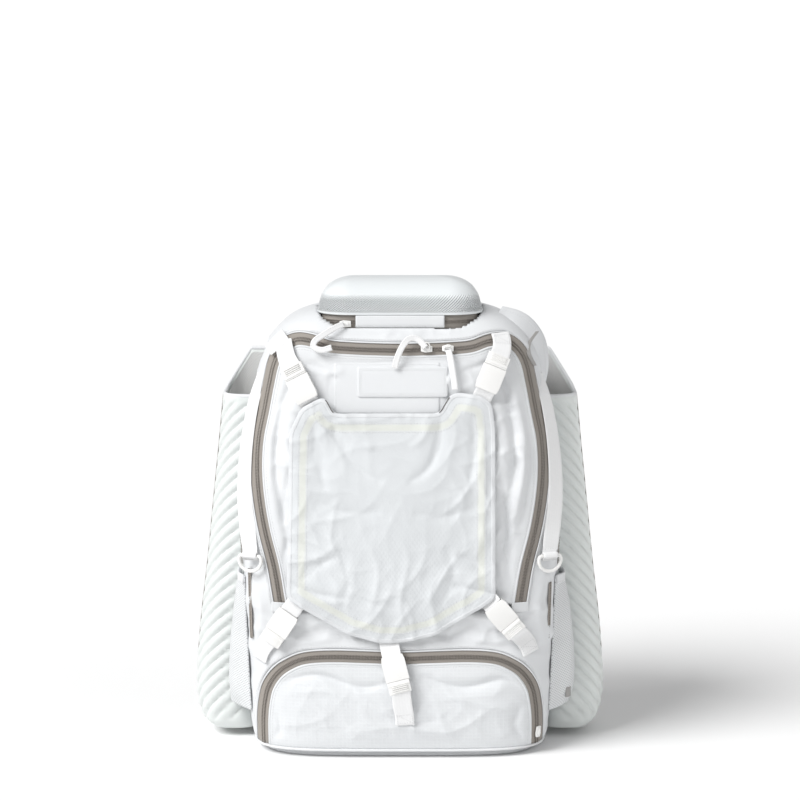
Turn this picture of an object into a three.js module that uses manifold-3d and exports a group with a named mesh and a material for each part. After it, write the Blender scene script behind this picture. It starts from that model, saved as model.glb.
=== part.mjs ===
// A white baseball backpack, standing on its base.
// Millimetres, +Z up, -Y is the front, the origin is on the base under the widest section.
// The body is a hollow shell in which two zipped panels sit. A moulded case rides on its top,
// a helmet flap is buckled over its front, and a ribbed bat sleeve stands at each side.

import * as THREE from 'three';
import Module from 'manifold-3d';
import { mergeVertices } from 'three/addons/utils/BufferGeometryUtils.js';

const wasm = await Module();
wasm.setup();

// Body shell
const BODY_HEIGHT = 516;
const BODY_HALF_WIDTH = 186;
const FRONT_REACH = 124;
const BACK_REACH = 92;
const BODY_WALL = 3;
const BODY_FACETS = 26;
const HOLLOW_FACETS = 16;
const FRONT_SQUARENESS = 4.5;
const BACK_SQUARENESS = 4;
const BACK_TAPER = 0.25;
const DIVIDER_HEIGHT = 134;
const DIVIDER_THICKNESS = 2.5;

// Clearances
const SEAM_GAP = 0.4;
const SEAT_GAP = 0.35;
const WEBBING_GAP = 0.7;

// Zips
const TAPE_WIDTH = 13;
const TAPE_THICKNESS = 1.6;
const COIL_WIDTH = 4.6;
const COIL_RISE = 1.1;
const TAPE_RECESS = 0.3;

// Panels and flap
const PANEL_THICKNESS = 2.5;
const FLAP_THICKNESS = 2.2;
const FLAP_STANDOFF = 3.2;
const FLAP_HALF_WIDTH = 118;
const FLAP_CENTRE_X = -10;
const FLAP_BOTTOM = 137;
const FLAP_TOP = 400;
const FLAP_CORNER_RISE = 52;
const FLAP_WING_RISE = 18;
const BADGE_WIDTH = 102;
const BADGE_HEIGHT = 34;
const BADGE_THICKNESS = 1.4;
const BADGE_SHIFT_X = 13;

// Moulded case on the top
const CASE_WIDTH = 184;
const CASE_DEPTH = 104;
const CASE_HEIGHT = 44;
const CASE_CORNER = 36;
const CASE_FACETS = 5;
const CASE_WALL = 2.5;
const CASE_CENTRE_Y = -45;
const SHELF_HEIGHT = 493;
const CASE_ZIP_HEIGHT = 12;
const CASE_ZIP_INSET = 2.5;
const CASE_FLAP_WIDTH = 100;
const CASE_FLAP_THICKNESS = 1.5;

// Webbing and buckles
const WEBBING_WIDTH = 22;
const WEBBING_THICKNESS = 1.6;
const BUCKLE_WIDTH = 27;
const BUCKLE_LENGTH = 29;
const BUCKLE_THICKNESS = 7;
const BUCKLE_WALL = 1.8;
const LATCH_LENGTH = 14;
const SLOT_DEPTH = 5;
const PRONG_LENGTH = 17;
const PRONG_WIDTH = 4;
const PRONG_THICKNESS = 2.6;

// Bat sleeves
const SLEEVE_MOUTH = 404;
const SLEEVE_BASE = 10;
const SLEEVE_REACH = 242;
const SLEEVE_HALF_WIDTH = 37;
const SLEEVE_HALF_DEPTH = 50;
const SLEEVE_CENTRE_Y = 21;
const SLEEVE_WALL = 4;
const SLEEVE_SEAT = 0.6;
const SLEEVE_ROUNDNESS = 3;
const RIB_COUNT = 24;
const RIB_DEPTH = 1.8;
const RIB_DROP = 34;
const CHANNEL_TOP = 470;
const CHANNEL_FADE = 0.45;
const MOUTH_RISE = 48;
const MOUTH_INNER = 182;
const MOUTH_OUTER = 209;

// D rings
const RING_WIDTH = 32;
const RING_WIRE = 4;
const RING_HEIGHT = 22;
const RING_BAR_Z = 234;
const RING_SPREAD = 171;
const RING_FACING = 24;
const RING_CLEARANCE = 0.8;
const TUNNEL_SHARE = 0.82;
const TUNNEL_FACETS = 10;
const TWIST_STEPS = 5;

// Side pockets
const POCKET_WALL = 1.6;
const POCKET_FOOT = 46;
const POCKET_RIM = 204;

// Zip sliders and their pulls
const SLIDER_WIDTH = 8;
const SLIDER_LENGTH = 13;
const SLIDER_THICKNESS = 4;
const PULL_WIDTH = 7;

// Back
const PAD_HALF_WIDTH = 98;
const PAD_THICKNESS = 9;
const PAD_FOOT = 66;
const PAD_TOP = 436;
const HARNESS_WIDTH = 62;
const HARNESS_THICKNESS = 10;
const HARNESS_TOP_X = 56;
const HARNESS_WEBBING = 25;
const GRAB_THICKNESS = 3;
const GRAB_HEIGHT = 485;
const GRAB_LEAN = 24;

// Body sections from the base up, as shares of the height, half width, front reach and back reach
const BODY_SECTIONS = [
  { z: 0.0, width: 0.84, front: 0.88, back: 0.86 },
  { z: 0.012, width: 0.895, front: 0.94, back: 0.93 },
  { z: 0.039, width: 0.93, front: 0.975, back: 0.98 },
  { z: 0.116, width: 0.95, front: 1.0, back: 1.0 },
  { z: 0.225, width: 0.965, front: 0.985, back: 1.0 },
  { z: 0.26, width: 0.97, front: 0.96, back: 1.0 },
  { z: 0.31, width: 0.975, front: 0.98, back: 1.0 },
  { z: 0.426, width: 0.985, front: 1.0, back: 1.0 },
  { z: 0.58, width: 1.0, front: 0.99, back: 1.0 },
  { z: 0.7, width: 0.965, front: 0.965, back: 0.99 },
  { z: 0.78, width: 0.915, front: 0.94, back: 0.98 },
  { z: 0.853, width: 0.875, front: 0.905, back: 0.965 },
  { z: 0.91, width: 0.825, front: 0.865, back: 0.93 },
  { z: 0.95, width: 0.745, front: 0.81, back: 0.86 },
  { z: 0.976, width: 0.65, front: 0.72, back: 0.76 },
  { z: 0.993, width: 0.52, front: 0.58, back: 0.62 },
  { z: 1.0, width: 0.4, front: 0.44, back: 0.46 },
];

// Half of the main zip, from its lower end to the middle of the top, as shares of half width and height
const MAIN_ZIP = [
  { x: 0.737, z: 0.349 },
  { x: 0.774, z: 0.43 },
  { x: 0.828, z: 0.508 },
  { x: 0.863, z: 0.581 },
  { x: 0.877, z: 0.649 },
  { x: 0.867, z: 0.713 },
  { x: 0.833, z: 0.775 },
  { x: 0.802, z: 0.833 },
  { x: 0.769, z: 0.882 },
  { x: 0.712, z: 0.915 },
  { x: 0.63, z: 0.932 },
  { x: 0.536, z: 0.93 },
  { x: 0.43, z: 0.918 },
  { x: 0.29, z: 0.914 },
  { x: 0.145, z: 0.912 },
  { x: 0.0, z: 0.911 },
];
const MAIN_ZIP_CORNER = 9;

// Half of the shoe pocket's zip, from the base to the middle of the arch
const SHOE_ZIP = [
  { x: 0.849, z: 0.021 },
  { x: 0.849, z: 0.05 },
  { x: 0.849, z: 0.078 },
  { x: 0.839, z: 0.12 },
  { x: 0.815, z: 0.157 },
  { x: 0.763, z: 0.188 },
  { x: 0.694, z: 0.209 },
  { x: 0.59, z: 0.2255 },
  { x: 0.43, z: 0.231 },
  { x: 0.215, z: 0.2295 },
  { x: 0.0, z: 0.227 },
];
const SHOE_ZIP_CORNER = 5;
const SHOE_SLIDER_ROW = 1;

// Folds and swellings of the front panels: place and size as shares of half width and height, rise in mm
const PANEL_FOLDS = [
  { x: 0.0, z: 0.62, spanX: 0.55, spanZ: 0.2, rise: 5.5 },
  { x: -0.66, z: 0.7, spanX: 0.09, spanZ: 0.12, rise: 4.0 },
  { x: 0.68, z: 0.68, spanX: 0.09, spanZ: 0.13, rise: 5.0 },
  { x: 0.6, z: 0.56, spanX: 0.05, spanZ: 0.08, rise: -3.5 },
  { x: 0.62, z: 0.43, spanX: 0.08, spanZ: 0.06, rise: 2.5 },
  { x: -0.6, z: 0.47, spanX: 0.06, spanZ: 0.1, rise: -2.5 },
];
const SHOE_FOLDS = [
  { x: 0.0, z: 0.115, spanX: 0.6, spanZ: 0.07, rise: 5.0 },
  { x: -0.45, z: 0.155, spanX: 0.22, spanZ: 0.018, rise: -2.5 },
  { x: 0.42, z: 0.165, spanX: 0.24, spanZ: 0.018, rise: -2.5 },
  { x: -0.5, z: 0.19, spanX: 0.22, spanZ: 0.018, rise: 1.8 },
];
const FLAP_FOLDS = [
  { x: -0.53, z: 0.785, spanX: 0.15, spanZ: 0.055, rise: 4.5 },
  { x: 0.485, z: 0.8, spanX: 0.15, spanZ: 0.055, rise: 4.5 },
  { x: -0.645, z: 0.345, spanX: 0.15, spanZ: 0.055, rise: 4.5 },
  { x: 0.54, z: 0.365, spanX: 0.15, spanZ: 0.055, rise: 4.5 },
  { x: -0.02, z: 0.36, spanX: 0.3, spanZ: 0.09, rise: 6.0 },
  { x: 0.0, z: 0.56, spanX: 0.5, spanZ: 0.15, rise: 3.0 },
  { x: -0.42, z: 0.72, spanX: 0.07, spanZ: 0.06, rise: -2.0 },
  { x: 0.3, z: 0.72, spanX: 0.07, spanZ: 0.06, rise: -2.0 },
];

// The flap's lower and upper edges: shares of its half width, and of the rise of its corners or wings
const FLAP_BOTTOM_EDGE = [
  { x: -1.0, z: 1.0 },
  { x: -0.86, z: 0.78 },
  { x: -0.42, z: 0.18 },
  { x: -0.12, z: 0.0 },
  { x: 0.12, z: 0.0 },
  { x: 0.42, z: 0.18 },
  { x: 0.86, z: 0.78 },
  { x: 1.0, z: 1.0 },
];
const FLAP_TOP_EDGE = [
  { x: -0.97, z: -1.2 },
  { x: -0.86, z: 0.3 },
  { x: -0.69, z: 0.93 },
  { x: -0.63, z: 1.0 },
  { x: -0.55, z: 0.0 },
  { x: 0.46, z: 0.0 },
  { x: 0.56, z: 1.1 },
  { x: 0.64, z: 1.3 },
  { x: 0.855, z: 1.1 },
  { x: 0.96, z: 0.6 },
  { x: 0.99, z: -1.0 },
];

// The moulded case from its foot up: share of its height, and draw-in as a share of its corner radius
const CASE_PROFILE = [
  { z: 0.0, draw: 0.0 },
  { z: 0.55, draw: 0.09 },
  { z: 0.8, draw: 0.32 },
  { z: 0.92, draw: 0.58 },
  { z: 0.98, draw: 0.88 },
  { z: 1.0, draw: 1.15 },
];
const CASE_FLAP_PROFILE = [
  { z: 0.12, swell: 0.0 },
  { z: 0.35, swell: 1.2 },
  { z: 0.75, swell: 1.0 },
  { z: 0.96, swell: 0.0 },
];

// Buckles: where the socket's webbing end is, which way it points, and the runs of webbing either side.
// A run's points are x, z, standoff from the cloth and turn.
const BUCKLES = [
  {
    name: 'upper_left', x: -102.5, z: 414, turn: 118, standoff: 7.5,
    sewn: [[-100.6, 410.5, 4.4, 118], [-95, 400, 1.7, 118], [-89, 388, 0.8, 118]],
    strap: [[-126, 460, 4.4, 112], [-129, 471, 3.2, 104], [-130, 479, 2.4, 100]],
  },
  {
    name: 'upper_right', x: 95.5, z: 425, turn: 67, standoff: 7.5,
    sewn: [[93.9, 421.3, 4.8, 67], [89, 410, 2.2, 67], [84.5, 398, 0.8, 67]],
    strap: [[114, 472, 3.8, 80], [114, 480, 3.0, 90], [112, 487, 2.4, 94]],
  },
  {
    name: 'lower_left', x: -124.5, z: 172, turn: 236, standoff: 7.5,
    sewn: [[-122.3, 175.3, 4.8, 236], [-116, 184.5, 2.2, 236], [-108, 196, 0.8, 236]],
    strap: [[-150, 134, 3.4, 236], [-156, 124, 2.2, 240], [-160, 112, 1.6, 248]],
  },
  {
    name: 'lower_right', x: 105, z: 181, turn: -50, standoff: 7.5,
    sewn: [[102.4, 184.1, 4.8, -50], [95, 193, 2.2, -50], [87, 202.5, 0.8, -50]],
    strap: [[136, 144, 3.6, -52], [144, 133, 2.4, -56], [149, 121, 1.8, -66]],
  },
  {
    name: 'bottom', x: -9.5, z: 121, turn: -76, standoff: 9.5,
    sewn: [[-12, 133, 3.0, -79], [-14, 145, 1.0, -82], [-15, 152, 0.8, -84]],
    strap: [[3, 66, 7.5, -80], [5, 54, 4.5, -86], [5.5, 42, 2.5, -88]],
  },
];

// Sleeve outline from the base up: outer edge and inner edge as shares of the reach, and depth share
const SLEEVE_SECTIONS = [
  { z: 0.0, reach: 0.925, inner: 1.0, depth: 0.84 },
  { z: 0.025, reach: 0.965, inner: 1.0, depth: 0.93 },
  { z: 0.075, reach: 0.993, inner: 1.0, depth: 0.985 },
  { z: 0.13, reach: 1.0, inner: 1.0, depth: 1.0 },
  { z: 0.25, reach: 0.988, inner: 0.988, depth: 1.0 },
  { z: 0.5, reach: 0.942, inner: 0.942, depth: 0.96 },
  { z: 0.7, reach: 0.908, inner: 0.908, depth: 0.9 },
  { z: 0.85, reach: 0.882, inner: 0.882, depth: 0.84 },
  { z: 1.0, reach: 0.858, inner: 0.858, depth: 0.78 },
  { z: 1.16, reach: 0.83, inner: 0.83, depth: 0.74 },
];
// Angles round a sleeve at which it has a facet's edge. -90 is its front, 0 its outer side.
const SLEEVE_ANGLES = [-160, -120, -92, -66, -40, -14, 14, 42, 70, 98, 140];

// Shoulder straps: place across as a share of their spread, y in mm, share of height, share of width
const HARNESS_STATIONS = [
  { x: 0.0, y: 90.8, z: 0.86, width: 0.8 },
  { x: 0.02, y: 112, z: 0.9, width: 0.86 },
  { x: 0.07, y: 132, z: 0.885, width: 0.95 },
  { x: 0.17, y: 148, z: 0.82, width: 1.0 },
  { x: 0.36, y: 155, z: 0.71, width: 1.0 },
  { x: 0.58, y: 152, z: 0.59, width: 0.94 },
  { x: 0.79, y: 142, z: 0.47, width: 0.84 },
  { x: 0.93, y: 129, z: 0.36, width: 0.72 },
  { x: 1.0, y: 118, z: 0.285, width: 0.6 },
];
const HARNESS_SPREAD = 62;
// The webbing below each strap, to the foot of the body
const HARNESS_TAIL = [
  { x: 1.0, y: 117.0, z: 0.2826 },
  { x: 1.02, y: 109.5, z: 0.225 },
  { x: 1.04, y: 104, z: 0.15 },
  { x: 1.06, y: 96.5, z: 0.09 },
  { x: 1.07, y: 94.5, z: 0.06 },
];
// The grab loop at the top of the back: place across, and how far it stands off
const GRAB_LOOP = [
  { x: -50, off: 0.3 },
  { x: -40, off: 0.3 },
  { x: -30, off: 10 },
  { x: -14, off: 18 },
  { x: 0, off: 20 },
  { x: 14, off: 18 },
  { x: 30, off: 10 },
  { x: 40, off: 0.3 },
  { x: 50, off: 0.3 },
];
// The straps that the rings hang from: their turn round the body, and share of its height
const RING_STRAP = [
  { turn: 76, z: 0.85 },
  { turn: 74, z: 0.79 },
  { turn: 71, z: 0.72 },
  { turn: 67, z: 0.65 },
  { turn: 63, z: 0.58 },
  { turn: 58, z: 0.515 },
];
// A padded strap's section: place across and rise
const STRAP_SECTION = [
  [-1, -0.12], [-0.8, -0.5], [0.8, -0.5], [1, -0.12], [0.96, 0.2], [0.6, 0.5], [-0.6, 0.5], [-0.96, 0.2],
];

// Side pockets, round from the body's side to the sleeve's front: place, and outward swell of each side in mm
const POCKET_ARC = [
  { round: 0.0, swell: 0.0 },
  { round: 0.22, swell: 0.5 },
  { round: 0.5, swell: 1.0 },
  { round: 0.78, swell: 0.85 },
  { round: 1.0, swell: 0.25 },
];
const POCKET_RISE = [
  { z: 0.0, swell: 0.15 },
  { z: 0.12, swell: 0.75 },
  { z: 0.4, swell: 1.0 },
  { z: 0.75, swell: 0.9 },
  { z: 1.0, swell: 0.55 },
];

// Pulls of webbing that hang from the sliders, as x, z and how far they stand off the face behind
const MAIN_PULLS = [
  {
    name: 'main_left', x: 30, z: 471,
    run: [[29, 474, 6.7], [20, 483, 7.7], [11, 484, 9], [3, 476, 9.5], [-3, 463, 7.5], [-6, 451, 5]],
  },
  {
    name: 'main_right', x: 54, z: 471.5,
    run: [[54.5, 471, 5.3], [57, 461, 7], [59, 449, 7], [61, 437, 6.5], [62, 427, 6.2]],
  },
];
const CASE_PULL = [
  [-64, -100.5, 499],
  [-74, -104, 495],
  [-86, -107.5, 488],
  [-96, -110, 481],
  [-97, -111.5, 474],
  [-88, -112.5, 471],
  [-77, -113, 474],
];

const material = (color, roughness, metalness = 0) =>
  new THREE.MeshStandardMaterial({ color, roughness, metalness });
const whiteRipstop = material(0xf1f3f4, 0.62);
const whiteWebbing = material(0xfafafa, 0.7);
const whitePlastic = material(0xf6f5f3, 0.38);
const mouldedFoam = material(0xeff3f1, 0.5);
const greyTape = material(0x8f877e, 0.75);
const whiteMesh = material(0xf0f2f4, 0.8);

// Solids

/** Turns a closed three.js geometry into a manifold solid. */
function toSolid(geometry) {
  const bare = new THREE.BufferGeometry();
  bare.setAttribute('position', geometry.getAttribute('position').clone());
  if (geometry.index) bare.setIndex(geometry.index.clone());
  const merged = mergeVertices(bare, 1e-4);
  return new wasm.Manifold(new wasm.Mesh({
    numProp: 3,
    vertProperties: new Float32Array(merged.getAttribute('position').array),
    triVerts: new Uint32Array(merged.index.array),
  }));
}

/** Turns a manifold solid back into a three.js geometry. */
function toGeometry(solid) {
  const { vertProperties, triVerts } = solid.getMesh();
  const geometry = new THREE.BufferGeometry();
  geometry.setAttribute('position', new THREE.BufferAttribute(new Float32Array(vertProperties), 3));
  geometry.setIndex(new THREE.BufferAttribute(new Uint32Array(triVerts), 1));
  geometry.computeVertexNormals();
  return geometry;
}

/** A closed geometry from rings of equal length, joined one to the next and capped at both ends. */
function skin(rings) {
  const count = rings[0].length;
  const positions = rings.flat().flatMap((p) => [p.x, p.y, p.z]);
  const index = [];
  for (let j = 0; j < rings.length - 1; j += 1) {
    for (let i = 0; i < count; i += 1) {
      const a = j * count + i;
      const b = j * count + ((i + 1) % count);
      index.push(a, b, b + count, a, b + count, a + count);
    }
  }
  const last = (rings.length - 1) * count;
  for (let i = 1; i < count - 1; i += 1) {
    index.push(0, i + 1, i);
    index.push(last, last + i, last + i + 1);
  }
  return outward(positions, index);
}

/** A closed geometry from rings whose last ring joins the first. */
function skinLoop(rings) {
  const count = rings[0].length;
  const positions = rings.flat().flatMap((p) => [p.x, p.y, p.z]);
  const index = [];
  for (let j = 0; j < rings.length; j += 1) {
    const next = ((j + 1) % rings.length) * count;
    for (let i = 0; i < count; i += 1) {
      const k = (i + 1) % count;
      index.push(j * count + i, j * count + k, next + k, j * count + i, next + k, next + i);
    }
  }
  return outward(positions, index);
}

/** Builds the geometry, with its faces turned out if its volume comes out negative. */
function outward(positions, index) {
  let volume = 0;
  const at = (i) => new THREE.Vector3(...positions.slice(3 * i, 3 * i + 3));
  for (let i = 0; i < index.length; i += 3) {
    volume += at(index[i]).dot(at(index[i + 1]).cross(at(index[i + 2])));
  }
  if (volume < 0) {
    for (let i = 0; i < index.length; i += 3) {
      [index[i], index[i + 1]] = [index[i + 1], index[i]];
    }
  }
  const geometry = new THREE.BufferGeometry();
  geometry.setAttribute('position', new THREE.Float32BufferAttribute(positions, 3));
  geometry.setIndex(index);
  geometry.computeVertexNormals();
  return geometry;
}

/** A solid prism along Y from an outline of [x, z] points. */
function prismAlongY(outline, from, to) {
  const flat = outline.map(([x, z]) => new THREE.Vector2(x, z));
  if (THREE.ShapeUtils.isClockWise(flat)) flat.reverse();
  const ring = (y) => flat.map((p) => new THREE.Vector3(p.x, y, p.y));
  const faces = THREE.ShapeUtils.triangulateShape(flat, []);
  const count = flat.length;
  const positions = [...ring(from), ...ring(to)].flatMap((p) => [p.x, p.y, p.z]);
  const index = [];
  for (const [a, b, c] of faces) {
    index.push(a, b, c, count + a, count + c, count + b);
  }
  for (let i = 0; i < count; i += 1) {
    const k = (i + 1) % count;
    index.push(i, count + i, count + k, i, count + k, k);
  }
  return toSolid(outward(positions, index));
}

/** A box between two corners, as a solid. */
function boxSolid(low, high) {
  const size = high.map((v, i) => v - low[i]);
  const box = new THREE.BoxGeometry(...size);
  box.translate(...low.map((v, i) => v + size[i] / 2));
  return toSolid(box);
}

// Body surface

/** The value of a table's column at height z, between its rows. */
function column(rows, key, z, height) {
  const share = z / height;
  let low = rows[0];
  for (const row of rows) {
    if (row.z >= share) {
      const span = row.z - low.z;
      return span > 0 ? low[key] + ((row[key] - low[key]) * (share - low.z)) / span : row[key];
    }
    low = row;
  }
  return low[key];
}

/** The body's half width, front reach and back reach at height z. */
function bodyAt(z) {
  const at = Math.min(Math.max(z, 0), BODY_HEIGHT);
  return {
    width: BODY_HALF_WIDTH * column(BODY_SECTIONS, 'width', at, BODY_HEIGHT),
    front: FRONT_REACH * column(BODY_SECTIONS, 'front', at, BODY_HEIGHT),
    back: BACK_REACH * column(BODY_SECTIONS, 'back', at, BODY_HEIGHT),
  };
}

/** A point of the body's section at height z. Turn 0 is the front, 90 the right side, 180 the back. */
function bodyPoint(z, turn, grow = 0) {
  const { width, front, back } = bodyAt(z);
  const angle = THREE.MathUtils.degToRad(turn);
  const across = Math.abs(Math.sin(angle));
  const along = Math.abs(Math.cos(angle));
  const side = Math.sign(Math.sin(angle));
  if (Math.cos(angle) >= 0) {
    const power = 2 / FRONT_SQUARENESS;
    const x = side * (width + grow) * across ** power;
    return new THREE.Vector3(x, -(front + grow) * along ** power, z);
  }
  const power = 2 / BACK_SQUARENESS;
  const y = (back + grow) * along ** power;
  const x = side * (width + grow) * across ** power * (1 - BACK_TAPER * along ** power);
  return new THREE.Vector3(x, y, z);
}

/** The body's front surface over (x, z), as a y value. Past the edge it goes on level. */
function frontY(x, z) {
  const { width, front } = bodyAt(z);
  const share = Math.min(Math.abs(x) / width, 0.985);
  return -front * (1 - share ** FRONT_SQUARENESS) ** (1 / FRONT_SQUARENESS);
}

/** The body's back surface over (x, z), as a y value. */
function backY(x, z) {
  const { width, back } = bodyAt(z);
  const share = Math.min(Math.abs(x) / (width * (1 - BACK_TAPER)), 0.97);
  return back * (1 - share ** BACK_SQUARENESS) ** (1 / BACK_SQUARENESS);
}

/** The unit normal of the front surface at (x, z), pointing out of the body. */
function frontNormal(x, z) {
  const step = 1;
  const slopeX = (frontY(x + step, z) - frontY(x - step, z)) / (2 * step);
  const slopeZ = (frontY(x, z + step) - frontY(x, z - step)) / (2 * step);
  return new THREE.Vector3(slopeX, -1, slopeZ).normalize();
}

/** The body's loft grown outwards by a distance, as a solid, with its ends at two heights. */
function bodyLoft(grow, sides, from, to, every = 1) {
  const heights = BODY_SECTIONS
    .filter((_, i) => i % every === every - 1)
    .map((row) => row.z * BODY_HEIGHT)
    .filter((z) => z > from + 4 && z < to - 1);
  const rings = [from, ...heights, to].map((z) => {
    const ring = [];
    for (let i = 0; i < sides; i += 1) {
      ring.push(bodyPoint(z, (360 * i) / sides, grow));
    }
    return ring;
  });
  return toSolid(skin(rings));
}

// Sheets and strips

/** A polyline as a function of a share of its length. */
function polyline(points) {
  const lengths = [0];
  for (let i = 1; i < points.length; i += 1) {
    const [x0, z0] = points[i - 1];
    const [x1, z1] = points[i];
    lengths.push(lengths[i - 1] + Math.hypot(x1 - x0, z1 - z0));
  }
  return (share) => {
    const wanted = share * lengths[lengths.length - 1];
    let i = 1;
    while (i < lengths.length - 1 && lengths[i] < wanted) i += 1;
    const part = (wanted - lengths[i - 1]) / (lengths[i] - lengths[i - 1]);
    return points[i].map((v, k) => points[i - 1][k] + (v - points[i - 1][k]) * part);
  };
}

/** A polyline as a function of a share of its number of points, so that each point is hit. */
function pointwise(points) {
  const last = points.length - 1;
  return (share) => {
    const low = Math.min(Math.floor(share * last + 1e-9), last - 1);
    const part = share * last - low;
    return points[low].map((v, k) => v + (points[low + 1][k] - v) * part);
  };
}

/** A closed sheet over the patch between four edges. front and back give y at (x, z). */
function sheet({ bottom, top, left, right, columns, rows, front, back, along = polyline }) {
  const edges = [bottom, top, left, right].map(along);
  const [lowEdge, highEdge, leftEdge, rightEdge] = edges;
  const corner = (u, v) => (v ? highEdge : lowEdge)(u);
  const at = (u, v) => [0, 1].map((k) =>
    (1 - v) * lowEdge(u)[k] + v * highEdge(u)[k] + (1 - u) * leftEdge(v)[k] + u * rightEdge(v)[k]
    - ((1 - u) * (1 - v) * corner(0, 0)[k] + u * (1 - v) * corner(1, 0)[k]
    + (1 - u) * v * corner(0, 1)[k] + u * v * corner(1, 1)[k]));
  const face = (depth) => {
    const grid = [];
    for (let j = 0; j <= rows; j += 1) {
      const line = [];
      for (let i = 0; i <= columns; i += 1) {
        const [x, z] = at(i / columns, j / rows);
        line.push(new THREE.Vector3(x, depth(x, z), z));
      }
      grid.push(line);
    }
    return grid;
  };
  return plate(face(front), face(back));
}

/** A closed geometry between two grids of points of the same size, given as rows of points. */
function plate(front, back) {
  const rows = front.length - 1;
  const columns = front[0].length - 1;
  const positions = [front, back].flat(2).flatMap((p) => [p.x, p.y, p.z]);
  const wide = columns + 1;
  const layer = wide * (rows + 1);
  const index = [];
  const quad = (a, b, c, d) => index.push(a, b, c, a, c, d);
  for (let j = 0; j < rows; j += 1) {
    for (let i = 0; i < columns; i += 1) {
      const a = j * wide + i;
      quad(a, a + 1, a + wide + 1, a + wide);
      quad(layer + a, layer + a + wide, layer + a + wide + 1, layer + a + 1);
    }
  }
  for (let i = 0; i < columns; i += 1) {
    const high = rows * wide + i;
    quad(i, layer + i, layer + i + 1, i + 1);
    quad(high + 1, layer + high + 1, layer + high, high);
  }
  for (let j = 0; j < rows; j += 1) {
    const a = j * wide;
    const b = a + columns;
    quad(a + wide, layer + a + wide, layer + a, a);
    quad(b, layer + b, layer + b + wide, b + wide);
  }
  return outward(positions, index);
}

/** The sum of a table's folds at (x, z), in mm out of the surface. */
function foldRise(folds, x, z) {
  return folds.reduce((sum, fold) => {
    const dx = (x - fold.x * BODY_HALF_WIDTH) / (fold.spanX * BODY_HALF_WIDTH);
    const dz = (z - fold.z * BODY_HEIGHT) / (fold.spanZ * BODY_HEIGHT);
    return sum + fold.rise * Math.exp(-(dx * dx + dz * dz));
  }, 0);
}

/** Both halves of a mirrored zip path, as [x, z] points from its left end to its right end. */
function mirrored(rows) {
  const half = rows.map((row) => [row.x * BODY_HALF_WIDTH, row.z * BODY_HEIGHT]);
  return [...half.map(([x, z]) => [-x, z]), ...half.slice(0, -1).reverse()];
}

/** An arch moved sideways along its normal, positive to its outside. Its two ends stay level. */
function shifted(path, distance) {
  const last = path.length - 1;
  return path.map(([x, z], i) => {
    if (i === 0) return [x - distance, z];
    if (i === last) return [x + distance, z];
    const [x0, z0] = path[i - 1];
    const [x1, z1] = path[i + 1];
    const length = Math.hypot(x1 - x0, z1 - z0);
    return [x - ((z1 - z0) / length) * distance, z + ((x1 - x0) / length) * distance];
  });
}

/** A zip tape with a raised coil, lying along a path in the front surface. */
function zipTape(path) {
  const half = TAPE_WIDTH / 2 - SEAM_GAP;
  const coil = COIL_WIDTH / 2;
  const profile = [
    { across: -half, out: -TAPE_THICKNESS },
    { across: -half, out: 0 },
    { across: -coil, out: 0 },
    { across: -coil * 0.6, out: COIL_RISE },
    { across: coil * 0.6, out: COIL_RISE },
    { across: coil, out: 0 },
    { across: half, out: 0 },
    { across: half, out: -TAPE_THICKNESS },
  ];
  const lines = profile.map(({ across }) => shifted(path, across));
  const rings = path.map((_, i) => profile.map(({ out }, k) => {
    const [x, z] = lines[k][i];
    return new THREE.Vector3(x, frontY(x, z) + TAPE_RECESS - out, z);
  }));
  return skin(rings);
}

/** A webbing strip through stations, each with a middle point, a width direction and an outward one. */
function strip(stations, width, thickness) {
  const rings = stations.map(({ at, across, out, share = 1 }) => {
    const side = across.clone().multiplyScalar((width * share) / 2);
    const up = out.clone().multiplyScalar(thickness);
    return [
      at.clone().sub(side),
      at.clone().add(side),
      at.clone().add(side).add(up),
      at.clone().sub(side).add(up),
    ];
  });
  return skin(rings);
}

/** A rounded rectangle as points of [x, y]. */
function roundedRectangle(halfX, halfY, radius, perCorner) {
  const points = [];
  for (let quarter = 0; quarter < 4; quarter += 1) {
    const centreX = (quarter === 0 || quarter === 3 ? 1 : -1) * (halfX - radius);
    const centreY = (quarter < 2 ? 1 : -1) * (halfY - radius);
    for (let i = 0; i < perCorner; i += 1) {
      const angle = (Math.PI / 2) * (quarter + i / (perCorner - 1));
      points.push([centreX + radius * Math.cos(angle), centreY + radius * Math.sin(angle)]);
    }
  }
  return points;
}

const group = new THREE.Group();

/** Adds a named mesh to the model. */
function add(name, geometry, look) {
  const mesh = new THREE.Mesh(geometry, look);
  mesh.name = name;
  group.add(mesh);
  return mesh;
}

// Openings in the body's front

const mainZipPath = mirrored(MAIN_ZIP);
const shoeZipPath = mirrored(SHOE_ZIP);
const tapeHalf = TAPE_WIDTH / 2;

/** The closed outline of the hole that a zip path frames. */
function openingOutline(path, foot) {
  const arch = shifted(path, tapeHalf);
  const [left] = arch;
  const right = arch[arch.length - 1];
  return [[left[0], foot], ...arch, [right[0], foot]];
}

const mainFoot = MAIN_ZIP[0].z * BODY_HEIGHT;
const shoeFoot = SHOE_ZIP[0].z * BODY_HEIGHT;
const mainOpening = prismAlongY(openingOutline(mainZipPath, mainFoot - SEAM_GAP), -2 * FRONT_REACH, 0);
const shoeOpening = prismAlongY(openingOutline(shoeZipPath, shoeFoot - SEAM_GAP), -2 * FRONT_REACH, 0);

/** The case's outline as an upright prism, as a solid. */
function casePrism(grow, from, to) {
  const outline = roundedRectangle(CASE_WIDTH / 2 + grow, CASE_DEPTH / 2 + grow, CASE_CORNER + grow, CASE_FACETS);
  const ring = (z) => outline.map(([x, y]) => new THREE.Vector3(x, y + CASE_CENTRE_Y, z));
  return toSolid(skin([ring(from), ring(to)]));
}

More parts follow.
